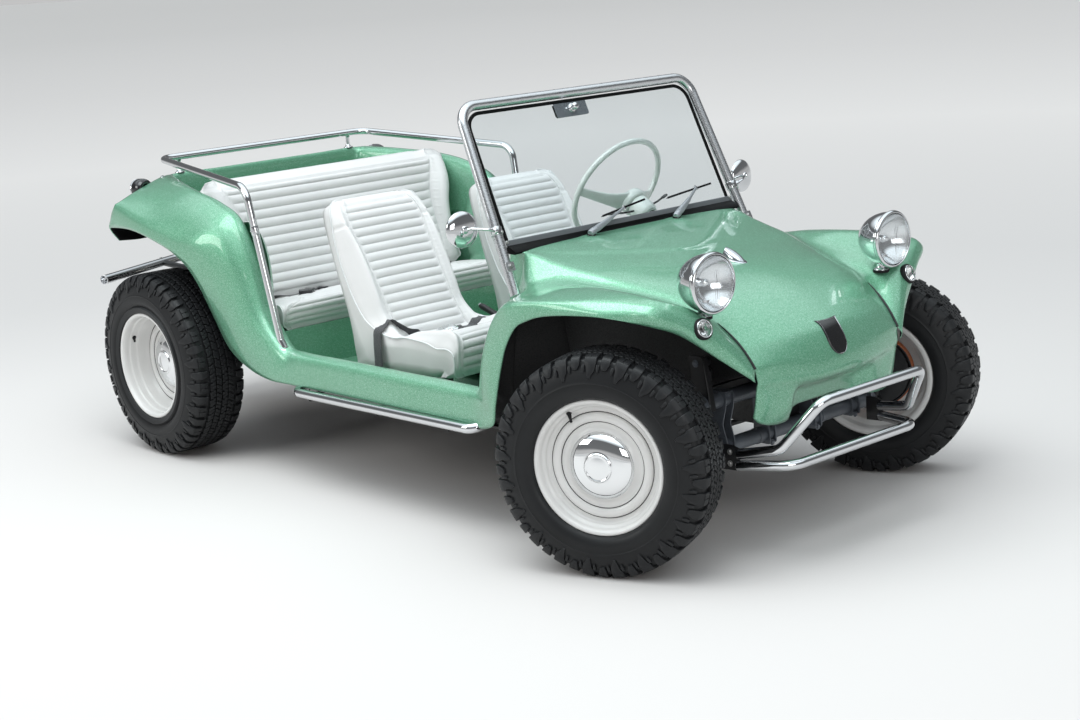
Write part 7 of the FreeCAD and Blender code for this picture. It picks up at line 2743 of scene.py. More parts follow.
def build_column():
    B = Builder()
    turn(B, [(111.2, 0), (111.4, 30), (112.4, 37), (116, 41), (150, 42), (172, 39), (182, 33), (185, 23.8)], CC, CF, 48, mat=1, radius=1.4)
    prof = [(183, 23.8), (330, 24), (332, 25.5), (350, 25.5), (352, 24), (372, 24), (374, 30), (380, 30.8), (386, 30), (388, 22), (560, 21), (561, 0)]
    turn(B, prof, CC, CF, 48, radius=1.4)
    # clamp under the dashboard
    for a in (341.0,):
        for s in (-1, 1):
            c = CC + CF * a + WL * s * 27
            hex_bolt(B, c, (0, s, 0), 5, 4)
    ob = B.object("steering_column_tube")
    tidy(ob)
    sharp_by_angle(ob, 40)
    finish_piece(ob, "chassis", ["satin_black", "wheel_ivory"], "chassis_black", ("steering_column",))
    B = Builder()
    # two stalks with flat paddles, one to each side
    for s, a, up_ in ((1, 132.0, 8.0), (-1, 140.0, -6.0)):
        base = CC + CF * a
        pts = [base + WL * s * 20, base + WL * s * 48 + WU * up_ * 0.3, base + WL * s * 86 + WU * up_ - CF * 6, base + WL * s * 120 + WU * (up_ * 1.6) - CF * 16]
        sweep(B, arc_path(pts, [0, 30, 40, 0], 5.0), 4.2, 12, flat=(1.0, 0.9))
        tip = pts[-1]
        d = (pts[-1] - pts[-2])
        d /= np.linalg.norm(d)
        sweep(B, np.array([tip - d * 6, tip + d * 4, tip + d * 22, tip + d * 30]), 7, 14, radii=[4.4, 7.5, 8.0, 5.0], flat=(1.0, 0.62))
    turn(B, [(0, 0), (0.3, 14), (1.5, 15.5), (16, 15), (19, 12), (20, 0)], CC + CF * 136 + WL * 22 + WU * 2, WL, 28, radius=1.0)
    ob = B.object("column_stalks")
    tidy(ob)
    sharp_by_angle(ob, 45)
    finish_piece(ob, "chassis", "gloss_black", "lamp_black")


def build_levers():
    B, C = Builder(), Builder()
    path = arc_path([(330, 0, 452), (312, 0, 600), (250, 0, 690)], [0, 160, 0], 8)
    sweep(B, path, 7, 16)
    for k, (z0, r) in enumerate(((452, 34), (462, 27), (472, 21), (482, 16), (492, 11))):
        turn(C, [(0, r + 3), (2.5, r + 5), (6, r + 2), (9.5, r - 3)], (330 - (z0 - 452) * 0.11, 0, z0), (-0.11, 0, 1), 32)
    end = np.array([250.0, 0, 690])
    d = np.array([-62.0, 0, 90])
    d /= np.linalg.norm(d)
    turn(C, [(-14, 8), (-10, 12), (-2, 18), (7, 20.5), (15, 19), (21, 13.5), (24, 7), (25, 0)], end, d, 36, radius=2)
    # hand brake: flat lever, grip, release button and its bracket
    hb = arc_path([(90, 0, 452), (62, 0, 500), (-130, 0, 560)], [0, 60, 0], 8)
    sweep(B, hb, 9, 16, flat=(0.62, 1.0))
    g0, g1 = np.array([-20.0, 0, 526]), np.array([-126.0, 0, 559])
    dd = (g1 - g0) / np.linalg.norm(g1 - g0)
    sweep(C, np.array([g0 + dd * k for k in (0, 6, 24, 48, 72, 96, 108)]), 11, 18, radii=[9.5, 11.5, 12, 11.2, 12, 12, 10.0])
    sweep(B, np.array([g1 - dd * 2, g1 + dd * 6, g1 + dd * 8.5]), 5, 14, radii=[5, 5, 3.4])
    for s in (-1, 1):
        pl = [(120, 452), (132, 470), (112, 506), (84, 512), (66, 492), (58, 452)]
        n = len(pl)
        v = [(x, s * 12, z) for x, z in pl] + [(x, s * 15, z) for x, z in pl]
        B.add(v, [tuple(range(n)), tuple(range(2 * n - 1, n - 1, -1))] + [(i, (i + 1) % n, n + (i + 1) % n, n + i) for i in range(n)])
        hex_bolt(B, (96, s * 15, 488), (0, s, 0), 6, 4)
    ob = B.object("lever_rods")
    tidy(ob)
    sharp_by_angle(ob, 40)
    finish_piece(ob, "chassis", "chrome", "chrome", ("floor_levers",))
    ob = C.object("lever_grips")
    tidy(ob)
    sharp_by_angle(ob, 45)
    finish_piece(ob, "chassis", "satin_black", "chassis_black")


def build_pedals():
    B, C = Builder(), Builder()
    for y, w, z0, z1 in ((170, 24, 452, 552), (250, 30, 474, 536), (330, 30, 474, 536)):
        path = arc_path([(753, y, 505), (756, y, 450), (782, y, 380), (792, y, FZ + 2)], [0, 40, 40, 0], 8)
        sweep(B, path, 6.5, 14, flat=(1.0, 0.8))
        tilt = 0.12
        rows = []
        for k, hh in ((0.0, -3), (0.96, -3), (1.0, -1.5), (1.0, 2.5), (0.96, 4), (0.0, 4)):
            ring = []
            for j in range(28):
                t = 2 * math.pi * j / 28
                cx, sy = math.cos(t), math.sin(t)
                dy, dz = math.copysign(abs(cx) ** 0.4, cx) * w * k, math.copysign(abs(sy) ** 0.4, sy) * (z1 - z0) / 2 * k
                ring.append((746 + dz * tilt - hh, y + dy, (z0 + z1) / 2 + dz))
            rows.append(ring)
        C.grid(np.array(rows), wrap_n=True)
        n = int((z1 - z0) / 12)
        for k in range(n):
            z = z0 + 9 + k * 11.5
            dz = z - (z0 + z1) / 2
            x = 746 + dz * tilt - 4
            sweep(C, np.array([(x, y - w + 5, z), (x - 0.2, y, z), (x, y + w - 5, z)]), 2.0, 8)
    ob = B.object("pedal_arms")
    tidy(ob)
    sharp_by_angle(ob, 40)
    finish_piece(ob, "chassis", "satin_black", "chassis_black", ("pedals",))
    ob = C.object("pedal_pads")
    tidy(ob)
    sharp_by_angle(ob, 45)
    finish_piece(ob, "chassis", "rubber", "tyre_rubber")


MAT["wheel_ivory"] = mat_plain("wheel_ivory", (0.76, 0.80, 0.76), 0.28, coat=0.35, grain=260.0, grain_bump=0.05, vary=0.05)
build_steering_wheel()
build_column()
build_levers()
build_pedals()
# ------------------------------------------------------- running gear, engine
MAT["pan_black"] = mat_plain("pan_black", (0.013, 0.013, 0.014), 0.5, grain=140.0, grain_bump=0.5, vary=0.4, rough_vary=0.16)
MAT["arm_black"] = mat_plain("arm_black", (0.016, 0.017, 0.019), 0.42, grain=200.0, grain_bump=0.35, vary=0.35, rough_vary=0.14)
MAT["tin_black"] = mat_plain("tin_black", (0.010, 0.010, 0.011), 0.24, coat=0.4, grain=300.0, grain_bump=0.08, vary=0.25)
MAT["alloy"] = mat_plain("alloy_case", (0.36, 0.355, 0.34), 0.5, metallic=0.7, grain=150.0, grain_bump=0.5, vary=0.25, rough_vary=0.15)
MAT["silencer"] = mat_plain("silencer_black", (0.03, 0.028, 0.027), 0.58, metallic=0.2, grain=120.0, grain_bump=0.5, vary=0.5, rough_vary=0.15)
MAT["zinc"] = mat_plain("zinc_plate", (0.52, 0.50, 0.44), 0.34, metallic=0.9, grain=260.0, grain_bump=0.12, vary=0.18)

for _nd, _m in (("floor_pan", "pan_black"), ("frame_head", "pan_black"), ("front_arms", "arm_black"),
                ("front_knuckle_right", "arm_black"), ("front_knuckle_left", "arm_black"), ("track_rod", "arm_black"),
                ("rear_torsion_housing", "pan_black"), ("rear_axles", "arm_black")):
    _ob = frame["nodes"][_nd]
    _ob.data.materials.clear()
    _ob.data.materials.append(MAT[_m])

BX, BLOW, BUP, BHALF = 1345.0, 320.0, 470.0, 412.0


def rounded_plate(B, outline, thick_vec, mat=0, corner=8.0, seg=4):
    """Flat plate with rounded corners; outline is a closed list of points."""
    P = [np.array(p, float) for p in outline]
    n = len(P)
    out = []
    for i in range(n):
        a, q, b_ = P[i - 1], P[i], P[(i + 1) % n]
        u, v = a - q, b_ - q
        k = min(corner, 0.4 * np.linalg.norm(u), 0.4 * np.linalg.norm(v))
        s, e = q + u / np.linalg.norm(u) * k, q + v / np.linalg.norm(v) * k
        for t in np.linspace(0, 1, seg + 1):
            out.append((1 - t) ** 2 * s + 2 * t * (1 - t) * q + t ** 2 * e)
    out = np.array(out)
    tv = np.array(thick_vec, float)
    c = out.mean(0)
    L = np.linalg.norm(tv)
    e = min(1.2, L * 0.25)
    ins = out + (c - out) / np.linalg.norm(c - out, axis=1)[:, None] * e
    rows = [ins, out + tv / L * e, out + tv - tv / L * e, ins + tv]
    k = len(out)
    b = B.grid(np.array(rows), wrap_n=True, mat=mat)
    B.add(rows[0], [tuple(range(k))], mat)
    B.add(rows[-1], [tuple(range(k))], mat)


def loft_sections(B, sections, mat=0, power=2.6, n=40):
    """Superellipse sections: centre, two half-axis vectors, power."""
    rows = []
    for c, u, v, *rest in sections:
        pw = rest[0] if rest else power
        ring = []
        for j in range(n):
            t = 2 * math.pi * j / n
            a, s = math.cos(t), math.sin(t)
            ring.append(np.array(c, float) + np.array(u, float) * math.copysign(abs(a) ** (2 / pw), a) + np.array(v, float) * math.copysign(abs(s) ** (2 / pw), s))
        rows.append(ring)
    rows = np.array(rows)
    B.grid(rows, wrap_n=True, mat=mat)
    B.add(rows[0], [tuple(range(n))], mat)
    B.add(rows[-1], [tuple(range(n))], mat)


def close_up(B, name, mat, slot_name, replaced=(), body_name="chassis", angle=38):
    ob = B.object(name)
    tidy(ob, 0.03)
    sharp_by_angle(ob, angle)
    finish_piece(ob, body_name, mat, slot_name, replaced)
    return ob


def build_beam():
    B = Builder()
    for z in (BLOW, BUP):
        turn(B, [(-BHALF, 0), (-BHALF, 20), (-BHALF + 1, 28), (-BHALF + 30, 28), (-BHALF + 32, 24.2), (-BHALF + 60, 24), (BHALF - 60, 24), (BHALF - 32, 24.2), (BHALF - 30, 28), (BHALF - 1, 28), (BHALF, 20), (BHALF, 0)], (BX, 0, z), (0, 1, 0), 44, radius=2)
        for y in (-150, 0, 150):
            turn(B, [(-9, 23.5), (-8, 25.6), (8, 25.6), (9, 23.5)], (BX, y, z), (0, 1, 0), 36)
    for y in (-300, -110, 110, 300):
        w = 30 if abs(y) > 200 else 24
        for s in (-1, 1):
            rounded_plate(B, [(BX - 34, y + s * w / 2, BLOW - 30), (BX + 33, y + s * w / 2, BLOW - 30), (BX + 30, y + s * w / 2, BLOW + 20), (BX + 14, y + s * w / 2, (BLOW + BUP) / 2), (BX + 30, y + s * w / 2, BUP - 20), (BX + 33, y + s * w / 2, BUP + 28), (BX - 34, y + s * w / 2, BUP + 28), (BX - 34, y + s * w / 2, BLOW - 30)][:-1], (0, s * 4, 0), corner=12)
        rounded_plate(B, [(BX - 34, y - w / 2, BLOW - 28), (BX - 34, y + w / 2, BLOW - 28), (BX - 34, y + w / 2, BUP + 26), (BX - 34, y - w / 2, BUP + 26)], (4, 0, 0), corner=4)
        for z in (BLOW - 26, BUP + 24):
            rounded_plate(B, [(BX - 32, y - w / 2, z), (BX + 30, y - w / 2, z), (BX + 30, y + w / 2, z), (BX - 32, y + w / 2, z)], (0, 0, 4), corner=6)
        for z in (BLOW, BUP):
            hex_bolt(B, (BX + 26, y, z - 26 if z == BLOW else z + 20), (1, 0, 0), 6.5, 5)
    for s in (-1, 1):
        y = s * 382
        # shock tower: folded channel, open at the back, finished black as painted shade of the dark wheel-house in
        # place of the beam's grey
        face = [(BX - 32, y, BUP - 24), (BX + 30, y, BUP - 24), (BX + 28, y, BUP + 40), (BX + 8, y, BUP + 148), (BX - 50, y, BUP + 148), (BX - 40, y, BUP + 60)]
        rounded_plate(B, face, (0, s * 6, 0), mat=1, corner=14)
        for a, b_ in (((BX + 30, BUP - 20), (BX + 8, BUP + 144)), ((BX - 33, BUP - 20), (BX - 48, BUP + 144))):
            rounded_plate(B, [(a[0], y - s * 22, a[1]), (a[0], y + s * 6, a[1]), (b_[0], y + s * 6, b_[1]), (b_[0], y - s * 16, b_[1])], (4 if a[0] < BX else -4, 0, 0), mat=1, corner=5)
        rounded_plate(B, [(BX - 30, y, BLOW - 8), (BX + 30, y, BLOW - 8), (BX + 24, y, (BLOW + BUP) / 2), (BX + 30, y, BUP + 8), (BX - 30, y, BUP + 8)], (0, s * 6, 0), corner=8)
        hex_bolt(B, (BX - 20, y + s * 6, BUP + 124), (0, s, 0), 8, 6)
    # the second finish, black, is the shock towers' painted shade
    close_up(B, "front_beam", ["beam_grey", "satin_black"], "beam_grey", ("front_axle_beam",))
    # dampers, inboard of the towers, and the grease caps on the arms' eyes
    B, C = Builder(), Builder()
    for s in (-1, 1):
        y = s * 352
        top, bot = np.array([BX - 20, y, BUP + 122.0]), np.array([BX - 52, y, BLOW - 2.0])
        d = (bot - top) / np.linalg.norm(bot - top)
        L = np.linalg.norm(bot - top)
        turn(B, [(16, 0), (17, 14), (22, 25), (26, 26.5), (L * 0.52, 26.5), (L * 0.53, 24), (L * 0.54, 20), (L - 26, 20), (L - 22, 16), (L - 18, 0)], top, d, 36, radius=1.5)
        turn(C, [(0, 0), (0, 6), (18, 6), (18, 0)], top, d, 18)
        for p in (top, bot):
            turn(B, [(-17, 0), (-17, 8), (-16, 15), (16, 15), (17, 8), (17, 0)], p, (0, 1, 0), 26, radius=1.5)
        turn(C, [(-22, 0), (-22, 6), (22, 6), (22, 0)], bot, (0, 1, 0), 16)
        sweep(B, np.array([bot + (0, 0, 0), (BX - 20, y, BLOW)]), 9, 14)
    close_up(B, "front_dampers", "satin_black", "chassis_black")
    close_up(C, "front_damper_pins", "zinc", "engine_cast")


def build_rear_gear():
    B = Builder()
    for s in (-1, 1):
        # frame horns beside the gearbox
        path = arc_path([(-800, s * 100, 400), (-930, s * 150, 420), (-1120, s * 178, 455), (-1225, s * 182, 458)], [0, 160, 160, 0], 10)
        sweep(B, path, 27, 24, flat=(1.0, 1.25))
        rounded_plate(B, [(-1205, s * 150, 420), (-1205, s * 235, 420), (-1205, s * 235, 500), (-1205, s * 150, 500)], (-8, 0, 0), corner=12)
        hex_bolt(B, (-1213, s * 215, 480), (-1, 0, 0), 8, 6)
        hex_bolt(B, (-1213, s * 215, 440), (-1, 0, 0), 8, 6)
        # brackets to the damper's top
        path = arc_path([(-1060, s * 165, 450), (-1090, s * 330, 600), (-1112, s * 440, 640)], [0, 120, 0], 10)
        sweep(B, path, 17, 18)
    close_up(B, "frame_horns", "pan_black", "chassis_black")
    B, C = Builder(), Builder()
    for s in (-1, 1):
        top, bot = np.array([-1112, s * 452, 640.0]), np.array([-1200, s * 452, 316.0])
        d = (bot - top) / np.linalg.norm(bot - top)
        L = np.linalg.norm(bot - top)
        turn(B, [(18, 0), (19, 16), (24, 29), (L * 0.55, 29), (L * 0.56, 22), (L - 24, 22), (L - 20, 16), (L - 16, 0)], top, d, 36, radius=1.5)
        for p in (top, bot):
            turn(B, [(-18, 0), (-18, 8), (-17, 17), (17, 17), (18, 8), (18, 0)], p, (0, 1, 0), 26, radius=1.5)
        # gaiters of the swing axles
        rows = [(123, 0), (123, 62), (130, 66)]
        for k in range(6):
            a = 134 + k * 10
            r = 62 - k * 4.5
            rows += [(a, r - 8), (a + 5, r)]
        rows += [(196, 34), (206, 34), (208, 31), (208, 0)]
        turn(C, [(h, r) for h, r in rows], (-1200, 0, 356), (0, s, 0), 44, radius=1.6)
        # brake pipe along the tube
        sweep(B, arc_path([(-1176, s * 220, 392), (-1172, s * 420, 390), (-1180, s * 600, 380)], [0, 60, 0], 10), 3.2, 8)
    close_up(B, "rear_dampers", "satin_black", "chassis_black")
    close_up(C, "axle_gaiters", "rubber", "tyre_rubber")
    # gearbox: ribbed case, side covers, nose cone
    B, C = Builder(), Builder()
    z = 356.0
    turn(B, [(0, 0), (0, 150), (3, 164), (14, 165), (22, 163), (34, 150), (60, 136), (92, 124), (122, 116), (124, 112), (150, 111), (342, 111), (346, 108), (350, 98)], (-1349, 0, z), (1, 0, 0), 72, radius=3)
    turn(B, [(350, 100), (352, 111), (366, 112), (372, 104), (398, 84), (412, 78), (416, 66), (456, 58), (464, 55), (468, 44), (470, 0)], (-1349, 0, z), (1, 0, 0), 64, radius=3)
    turn(B, [(-123, 0), (-123, 60), (-121, 70), (-112, 92), (-104, 96), (-92, 96), (92, 96), (104, 96), (112, 92), (121, 70), (123, 60), (123, 0)], (-1200, 0, z), (0, 1, 0), 64, radius=3)
    for k in range(16):
        t = 2 * math.pi * (k + 0.5) / 16
        u = np.array([0, math.cos(t), math.sin(t)])
        for x0, x1, r0, r1 in ((-1330, -1226, 156, 114), (-1222, -1006, 108, 108)):
            if x0 < -1300 or abs(math.cos(t)) < 0.75:
                p0, p1 = np.array([x0, 0, z]) + u * r0, np.array([x1, 0, z]) + u * r1
                sweep(B, np.array([p0, (p0 + p1) / 2 + u * 2, p1]), 4.5, 8, flat=(1.0, 1.6))
        if k % 2:
            hex_bolt(C, np.array([-1349 + 360, 0, z]) + u * 118, (1, 0, 0), 6, 5)
        if k % 2 == 0:
            hex_bolt(C, np.array([-1334, 0, z]) + u * 160, (1, 0, 0), 7, 6)
    for s in (-1, 1):
        for k in range(8):
            t = 2 * math.pi * k / 8
            hex_bolt(C, np.array([-1200 + 82 * math.cos(t), s * 114, z + 82 * math.sin(t)]), (0, s, 0), 5, 4)
    close_up(B, "gearbox_case", "alloy", "engine_cast", ("gearbox",))
    close_up(C, "gearbox_bolts", "zinc", "engine_cast")


def build_engine():
    B, T_, C, R_ = Builder(), Builder(), Builder(), Builder()
    # crankcase with its sump ribs
    loft_sections(B, [((x, 0, 372), (0, w, 0), (0, 0, h), 3.2) for x, w, h in ((-1352, 96, 78), (-1356, 108, 92), (-1420, 112, 98), (-1540, 112, 98), (-1640, 108, 94), (-1676, 92, 80), (-1680, 80, 66))])
    for k in range(9):
        x = -1400 - k * 28
        rounded_plate(B, [(x, -84, 300), (x, 84, 300), (x, 70, 268), (x, -70, 268)], (-4, 0, 0), corner=6)
    turn(B, [(0, 0), (0, 46), (3, 52), (10, 52), (12, 0)], (-1520, 0, 276), (0, 0, -1), 32)
    for s in (-1, 1):
        # finned barrels and heads
        for xc in (-1440, -1560):
            rows = []
            for k in range(11):
                a = 108 + k * 10
                rows += [(a, 44), (a + 0.6, 62), (a + 4.0, 62), (a + 4.6, 44)]
            turn(B, [(104, 0)] + rows + [(220, 0)], (xc, 0, 366), (0, s, 0.02), 40)
        loft_sections(B, [((-1500, s * y, 366), (w, 0, 0), (0, 0, h), 5.0) for y, w, h in ((214, 118, 58), (218, 124, 64), (268, 124, 64), (292, 118, 58))])
        for k in range(5):
            rounded_plate(B, [(-1376, s * (226 + k * 11), 430), (-1624, s * (226 + k * 11), 430), (-1628, s * (226 + k * 11), 302), (-1372, s * (226 + k * 11), 302)], (0, s * 3, 0), corner=10)
        # rocker covers and their bails
        loft_sections(T_, [((-1500, s * y, 362), (w, 0, 0), (0, 0, h), 4.5) for y, w, h in ((290, 122, 50), (296, 124, 52), (302, 118, 46), (330, 112, 40), (337, 104, 34), (338, 92, 24))])
        bail = arc_path([(-1620, s * 292, 362), (-1620, s * 336, 366), (-1560, s * 339, 350), (-1440, s * 339, 350), (-1380, s * 336, 366), (-1380, s * 292, 362)], [0, 10, 14, 14, 10, 0], 6)
        sweep(C, bail, 2.4, 8)
        # cooling tin over the barrels
        tin = []
        for x in np.linspace(-1372, -1636, 5):
            tin.append([(x, s * 96, 474), (x, s * 150, 462), (x, s * 230, 446), (x, s * 292, 434), (x, s * 300, 428), (x, s * 302, 400)])
        T_.grid(np.array(tin))
        T_.grid(np.array(tin) - np.array([0, 0, 2.5]))
        # heat exchanger and its pipe to the silencer
        loft_sections(R_, [((x, s * 205, 296), (0, w, 0), (0, 0, h), 3.0) for x, w, h in ((-1360, 30, 22), (-1376, 44, 30), (-1560, 46, 32), (-1600, 30, 22))])
        sweep(R_, arc_path([(-1596, s * 205, 296), (-1700, s * 208, 300), (-1765, s * 208, 318), (-1800, s * 208, 322)], [0, 60, 60, 0], 8), 20, 20)
        sweep(R_, arc_path([(-1620, s * 255, 330), (-1690, s * 262, 330), (-1700, s * 262, 352), (-1770, s * 232, 366)], [0, 20, 20, 0], 8), 18, 18)
    # fan shroud: wide shell, round shoulders, joined to the tin
    sh = []
    for x, k in ((-1446, 0.955), (-1450, 0.985), (-1462, 1.0), (-1540, 1.0), (-1552, 0.985), (-1556, 0.955)):
        ring = []
        out = [(-272, 452), (-290, 474), (-292, 520), (-268, 580), (-214, 634), (-150, 672), (-90, 688), (0, 691), (90, 688), (150, 672), (214, 634), (268, 580), (292, 520), (290, 474), (272, 452), (150, 446), (0, 444), (-150, 446)]
        pts = np.array(out + out[:3], float)
        arc = np.concatenate([[0], np.cumsum(np.linalg.norm(pts[1:] - pts[:-1], axis=1))])
        q = np.linspace(arc[0], arc[len(out)], 73)[:-1]
        yz = smooth_table(arc, pts, q)
        c = np.array([0, 568.0])
        yz = c + (yz - c) * k
        ring = [(x, a, b_) for a, b_ in yz]
        sh.append(ring)
    sh = np.array(sh)
    T_.grid(sh, wrap_n=True)
    T_.add(sh[0], [tuple(range(sh.shape[1]))])
    T_.add(sh[-1], [tuple(range(sh.shape[1]))])
    for s in (-1, 1):
        turn(T_, [(0, 92), (4, 96), (10, 98), (12, 94), (10, 80), (6, 60), (6, 0)], (-1449, 0, 566), (-1, 0, 0) if s < 0 else (1, 0, 0), 56, radius=1.5)
    turn(T_, [(-3, 130), (8, 128), (12, 118), (12, 60), (12, 0)], (-1553, 0, 566), (-1, 0, 0), 56, radius=2)
    for yy in (-200, -100, 100, 200):
        sweep(T_, np.array([(-1557, yy, 470), (-1559, yy * 0.98, 520), (-1557, yy * 0.92, 590)]), 5, 8, flat=(1, 1.6))
    # dynamo, its stand, strap and pulley; crank pulley and belt
    turn(C, [(0, 0), (0, 48), (4, 52), (22, 52), (24, 50), (96, 50), (98, 52), (118, 52), (124, 46), (128, 20), (134, 18), (134, 0)], (-1560, 0, 566), (-1, 0, 0), 48, radius=1.5)
    loft_sections(B, [((-1615, 0, z), (34, 0, 0), (0, w, 0), 3.0) for z, w in ((452, 44), (462, 34), (500, 26), (520, 34), (524, 36))])
    pul = [(0, 0), (0, 30), (1, 60), (3, 63), (6, 56), (9, 52), (12, 56), (15, 63), (17, 60), (18, 30), (18, 16), (24, 14), (24, 0)]
    turn(C, pul, (-1690, 0, 566), (-1, 0, 0), 56, radius=0.8)
    turn(C, [(0, 0), (0, 30), (1, 82), (3, 86), (6, 78), (9, 74), (12, 78), (15, 86), (17, 82), (18, 66), (12, 60), (12, 30), (20, 26), (22, 0)], (-1690, 0, 376), (-1, 0, 0), 64, radius=0.8)
    turn(C, [(-1692 + 1680, 20), (10, 20), (10, 0)], (-1680, 0, 376), (-1, 0, 0), 24)
    path = []
    r1, r2, z1, z2 = 60.0, 82.0, 566.0, 376.0
    off = math.asin((r2 - r1) / (z1 - z2))
    for t in np.linspace(off, math.pi - off, 22):
        path.append((-1699, r1 * math.cos(t), z1 + r1 * math.sin(t)))
    for t in np.linspace(math.pi - off, 2 * math.pi + off, 30):
        path.append((-1699, r2 * math.cos(t), z2 + r2 * math.sin(t)))
    rows = []
    P = np.array(path)
    T = np.roll(P, -1, 0) - np.roll(P, 1, 0)
    T /= np.linalg.norm(T, axis=1)[:, None]
    Nn = np.cross(T, (1.0, 0, 0))
    D_ = Builder()
    for p, nn in zip(P, Nn):
        rows.append([p + np.array([a, 0, 0]) + nn * h for a, h in ((-5.5, 4), (5.5, 4), (4.2, -4.5), (-4.2, -4.5))])
    D_.grid(np.array(rows), wrap_m=True, wrap_n=True)
    # carburettor, manifold, air cleaner
    sweep(B, arc_path([(-1500, -262, 436), (-1500, -262, 480), (-1590, -190, 520), (-1600, 0, 520), (-1590, 190, 520), (-1500, 262, 480), (-1500, 262, 436)], [0, 30, 40, 40, 40, 30, 0], 8), 15, 20)
    loft_sections(B, [((-1602, 118, z), (a, 0, 0), (0, b_, 0), 3.4) for z, a, b_ in ((520, 18, 18), (534, 30, 34), (540, 34, 38), (580, 34, 38), (584, 26, 26), (610, 26, 26), (612, 30, 30))])
    turn(T_, [(0, 0), (0, 58), (3, 72), (8, 78), (44, 78), (48, 74), (54, 70), (58, 40), (60, 12), (66, 10), (66, 0)], (-1612, 122, 612), (0, 0, 1), 56, radius=2)
    turn(C, [(66, 0), (66, 9), (70, 9), (71, 0)], (-1612, 122, 612), (0, 0, 1), 16)
    sweep(T_, arc_path([(-1612, 196, 634), (-1640, 262, 630), (-1700, 268, 616)], [0, 40, 0], 8), 17, 20)
    # distributor with its leads, coil, pump, filler
    turn(B, [(0, 0), (0, 22), (44, 22), (46, 0)], (-1636, -96, 452), (0, -0.1, 1), 28, radius=1)
    turn(D_, [(44, 0), (44, 33), (50, 36), (66, 34), (76, 26), (80, 12), (80, 0)], (-1636, -96, 452), (0, -0.1, 1), 32, radius=1)
    for k, (tx, ty, tz) in enumerate([(-1440, -250, 440), (-1560, -250, 440), (-1440, 250, 440), (-1560, 250, 440)]):
        t = 2 * math.pi * (k + 0.3) / 4
        a = np.array([-1636 + 18 * math.cos(t), -98 + 18 * math.sin(t), 528.0])
        sweep(D_, arc_path([a, a + (0, 0, 26), ((a[0] + tx) / 2 - 6, (a[1] + ty) / 2, 552 + k * 4), (tx - 20, ty, 500), (tx, ty, tz)], [0, 16, 40, 24, 0], 8), 3.6, 8)
    turn(C, [(0, 0), (0, 24), (4, 27), (86, 27), (90, 22), (92, 0)], (-1580, -236, 560), (-0.3, 0, 0.95), 28, radius=1.5)
    turn(D_, [(90, 0), (90, 20), (104, 14), (112, 8), (112, 0)], (-1580, -236, 560), (-0.3, 0, 0.95), 24, radius=1.5)
    turn(T_, [(0, 0), (0, 22), (64, 22), (66, 26), (80, 26), (84, 20), (85, 0)], (-1646, 66, 452), (0, 0.15, 1), 28, radius=1)
    loft_sections(B, [((-1660, -150, z), (a, 0, 0), (0, a, 0), 3.0) for z, a in ((440, 30), (470, 30), (474, 36), (488, 36), (494, 26), (504, 22))])
    # tin shelf round the engine, with a rolled edge
    plate_out = [(-1400, -326), (-1724, -326), (-1724, 326), (-1400, 326)]
    rounded_plate(T_, [(x, y, 440) for x, y in plate_out], (0, 0, 3), corner=26)
    edge = arc_path([(-1402, -326, 436), (-1724, -326, 436), (-1724, 326, 436), (-1402, 326, 436)], [0, 26, 26, 0], 8)
    sweep(T_, edge, 4.5, 10)
    close_up(B, "engine_castings", "alloy", "engine_cast", ("engine",))
    close_up(T_, "engine_tin", "tin_black", "engine_cast")
    close_up(C, "engine_plated", "zinc", "engine_cast")
    close_up(D_, "engine_leads_belt", "rubber", "tyre_rubber")
    # silencer drum with rolled ends and strap seams, tail pipes
    c = (-1822, 0, 330)
    turn(R_, [(-260, 0), (-259, 30), (-256, 50), (-250, 58), (-246, 61.6), (-238, 61.8), (-236, 59.5), (-120, 59), (-118, 61), (-108, 61), (-106, 59), (106, 59), (108, 61), (118, 61), (120, 59), (236, 59.5), (238, 61.8), (246, 61.6), (250, 58), (256, 50), (259, 30), (260, 0)], c, (0, 1, 0), 60, radius=1.2)
    close_up(R_, "silencer", "silencer", "engine_cast", ("exhaust",))
    B = Builder()
    for s in (-1, 1):
        path = arc_path([(-1822, s * 120, 300), (-1822, s * 120, 240), (-1848, s * 120, 214)], [0, 22, 0], 5)
        # open-ended pipe: outer skin, rolled lip, inner skin
        T = path[-1] - path[-2]
        T /= np.linalg.norm(T)
        a, u, w = frame_from(T)
        rows = []
        for i, p in enumerate(path):
            t = path[min(i + 1, len(path) - 1)] - path[max(i - 1, 0)]
            t /= np.linalg.norm(t)
            v1 = np.array([0, 1.0, 0])
            v2 = np.cross(t, v1)
            rows.append([p + v1 * 16.5 * math.cos(q) + v2 * 16.5 * math.sin(q) for q in np.linspace(0, 2 * math.pi, 24, endpoint=False)])
        end = rows[-1]
        cc = np.array(end).mean(0)
        rows.append([cc + (np.array(q) - cc) * 0.93 + T * 0.8 for q in end])
        rows.append([cc + (np.array(q) - cc) * 0.86 - T * 0.5 for q in end])
        for back_ in (20, 45):
            rows.append([cc + (np.array(q) - cc) * 0.86 - T * back_ for q in end])
        rows.append([cc - T * 45 for q in end])
        B.grid(np.array(rows), wrap_n=True)
    close_up(B, "tail_pipes", "chrome", "chrome")


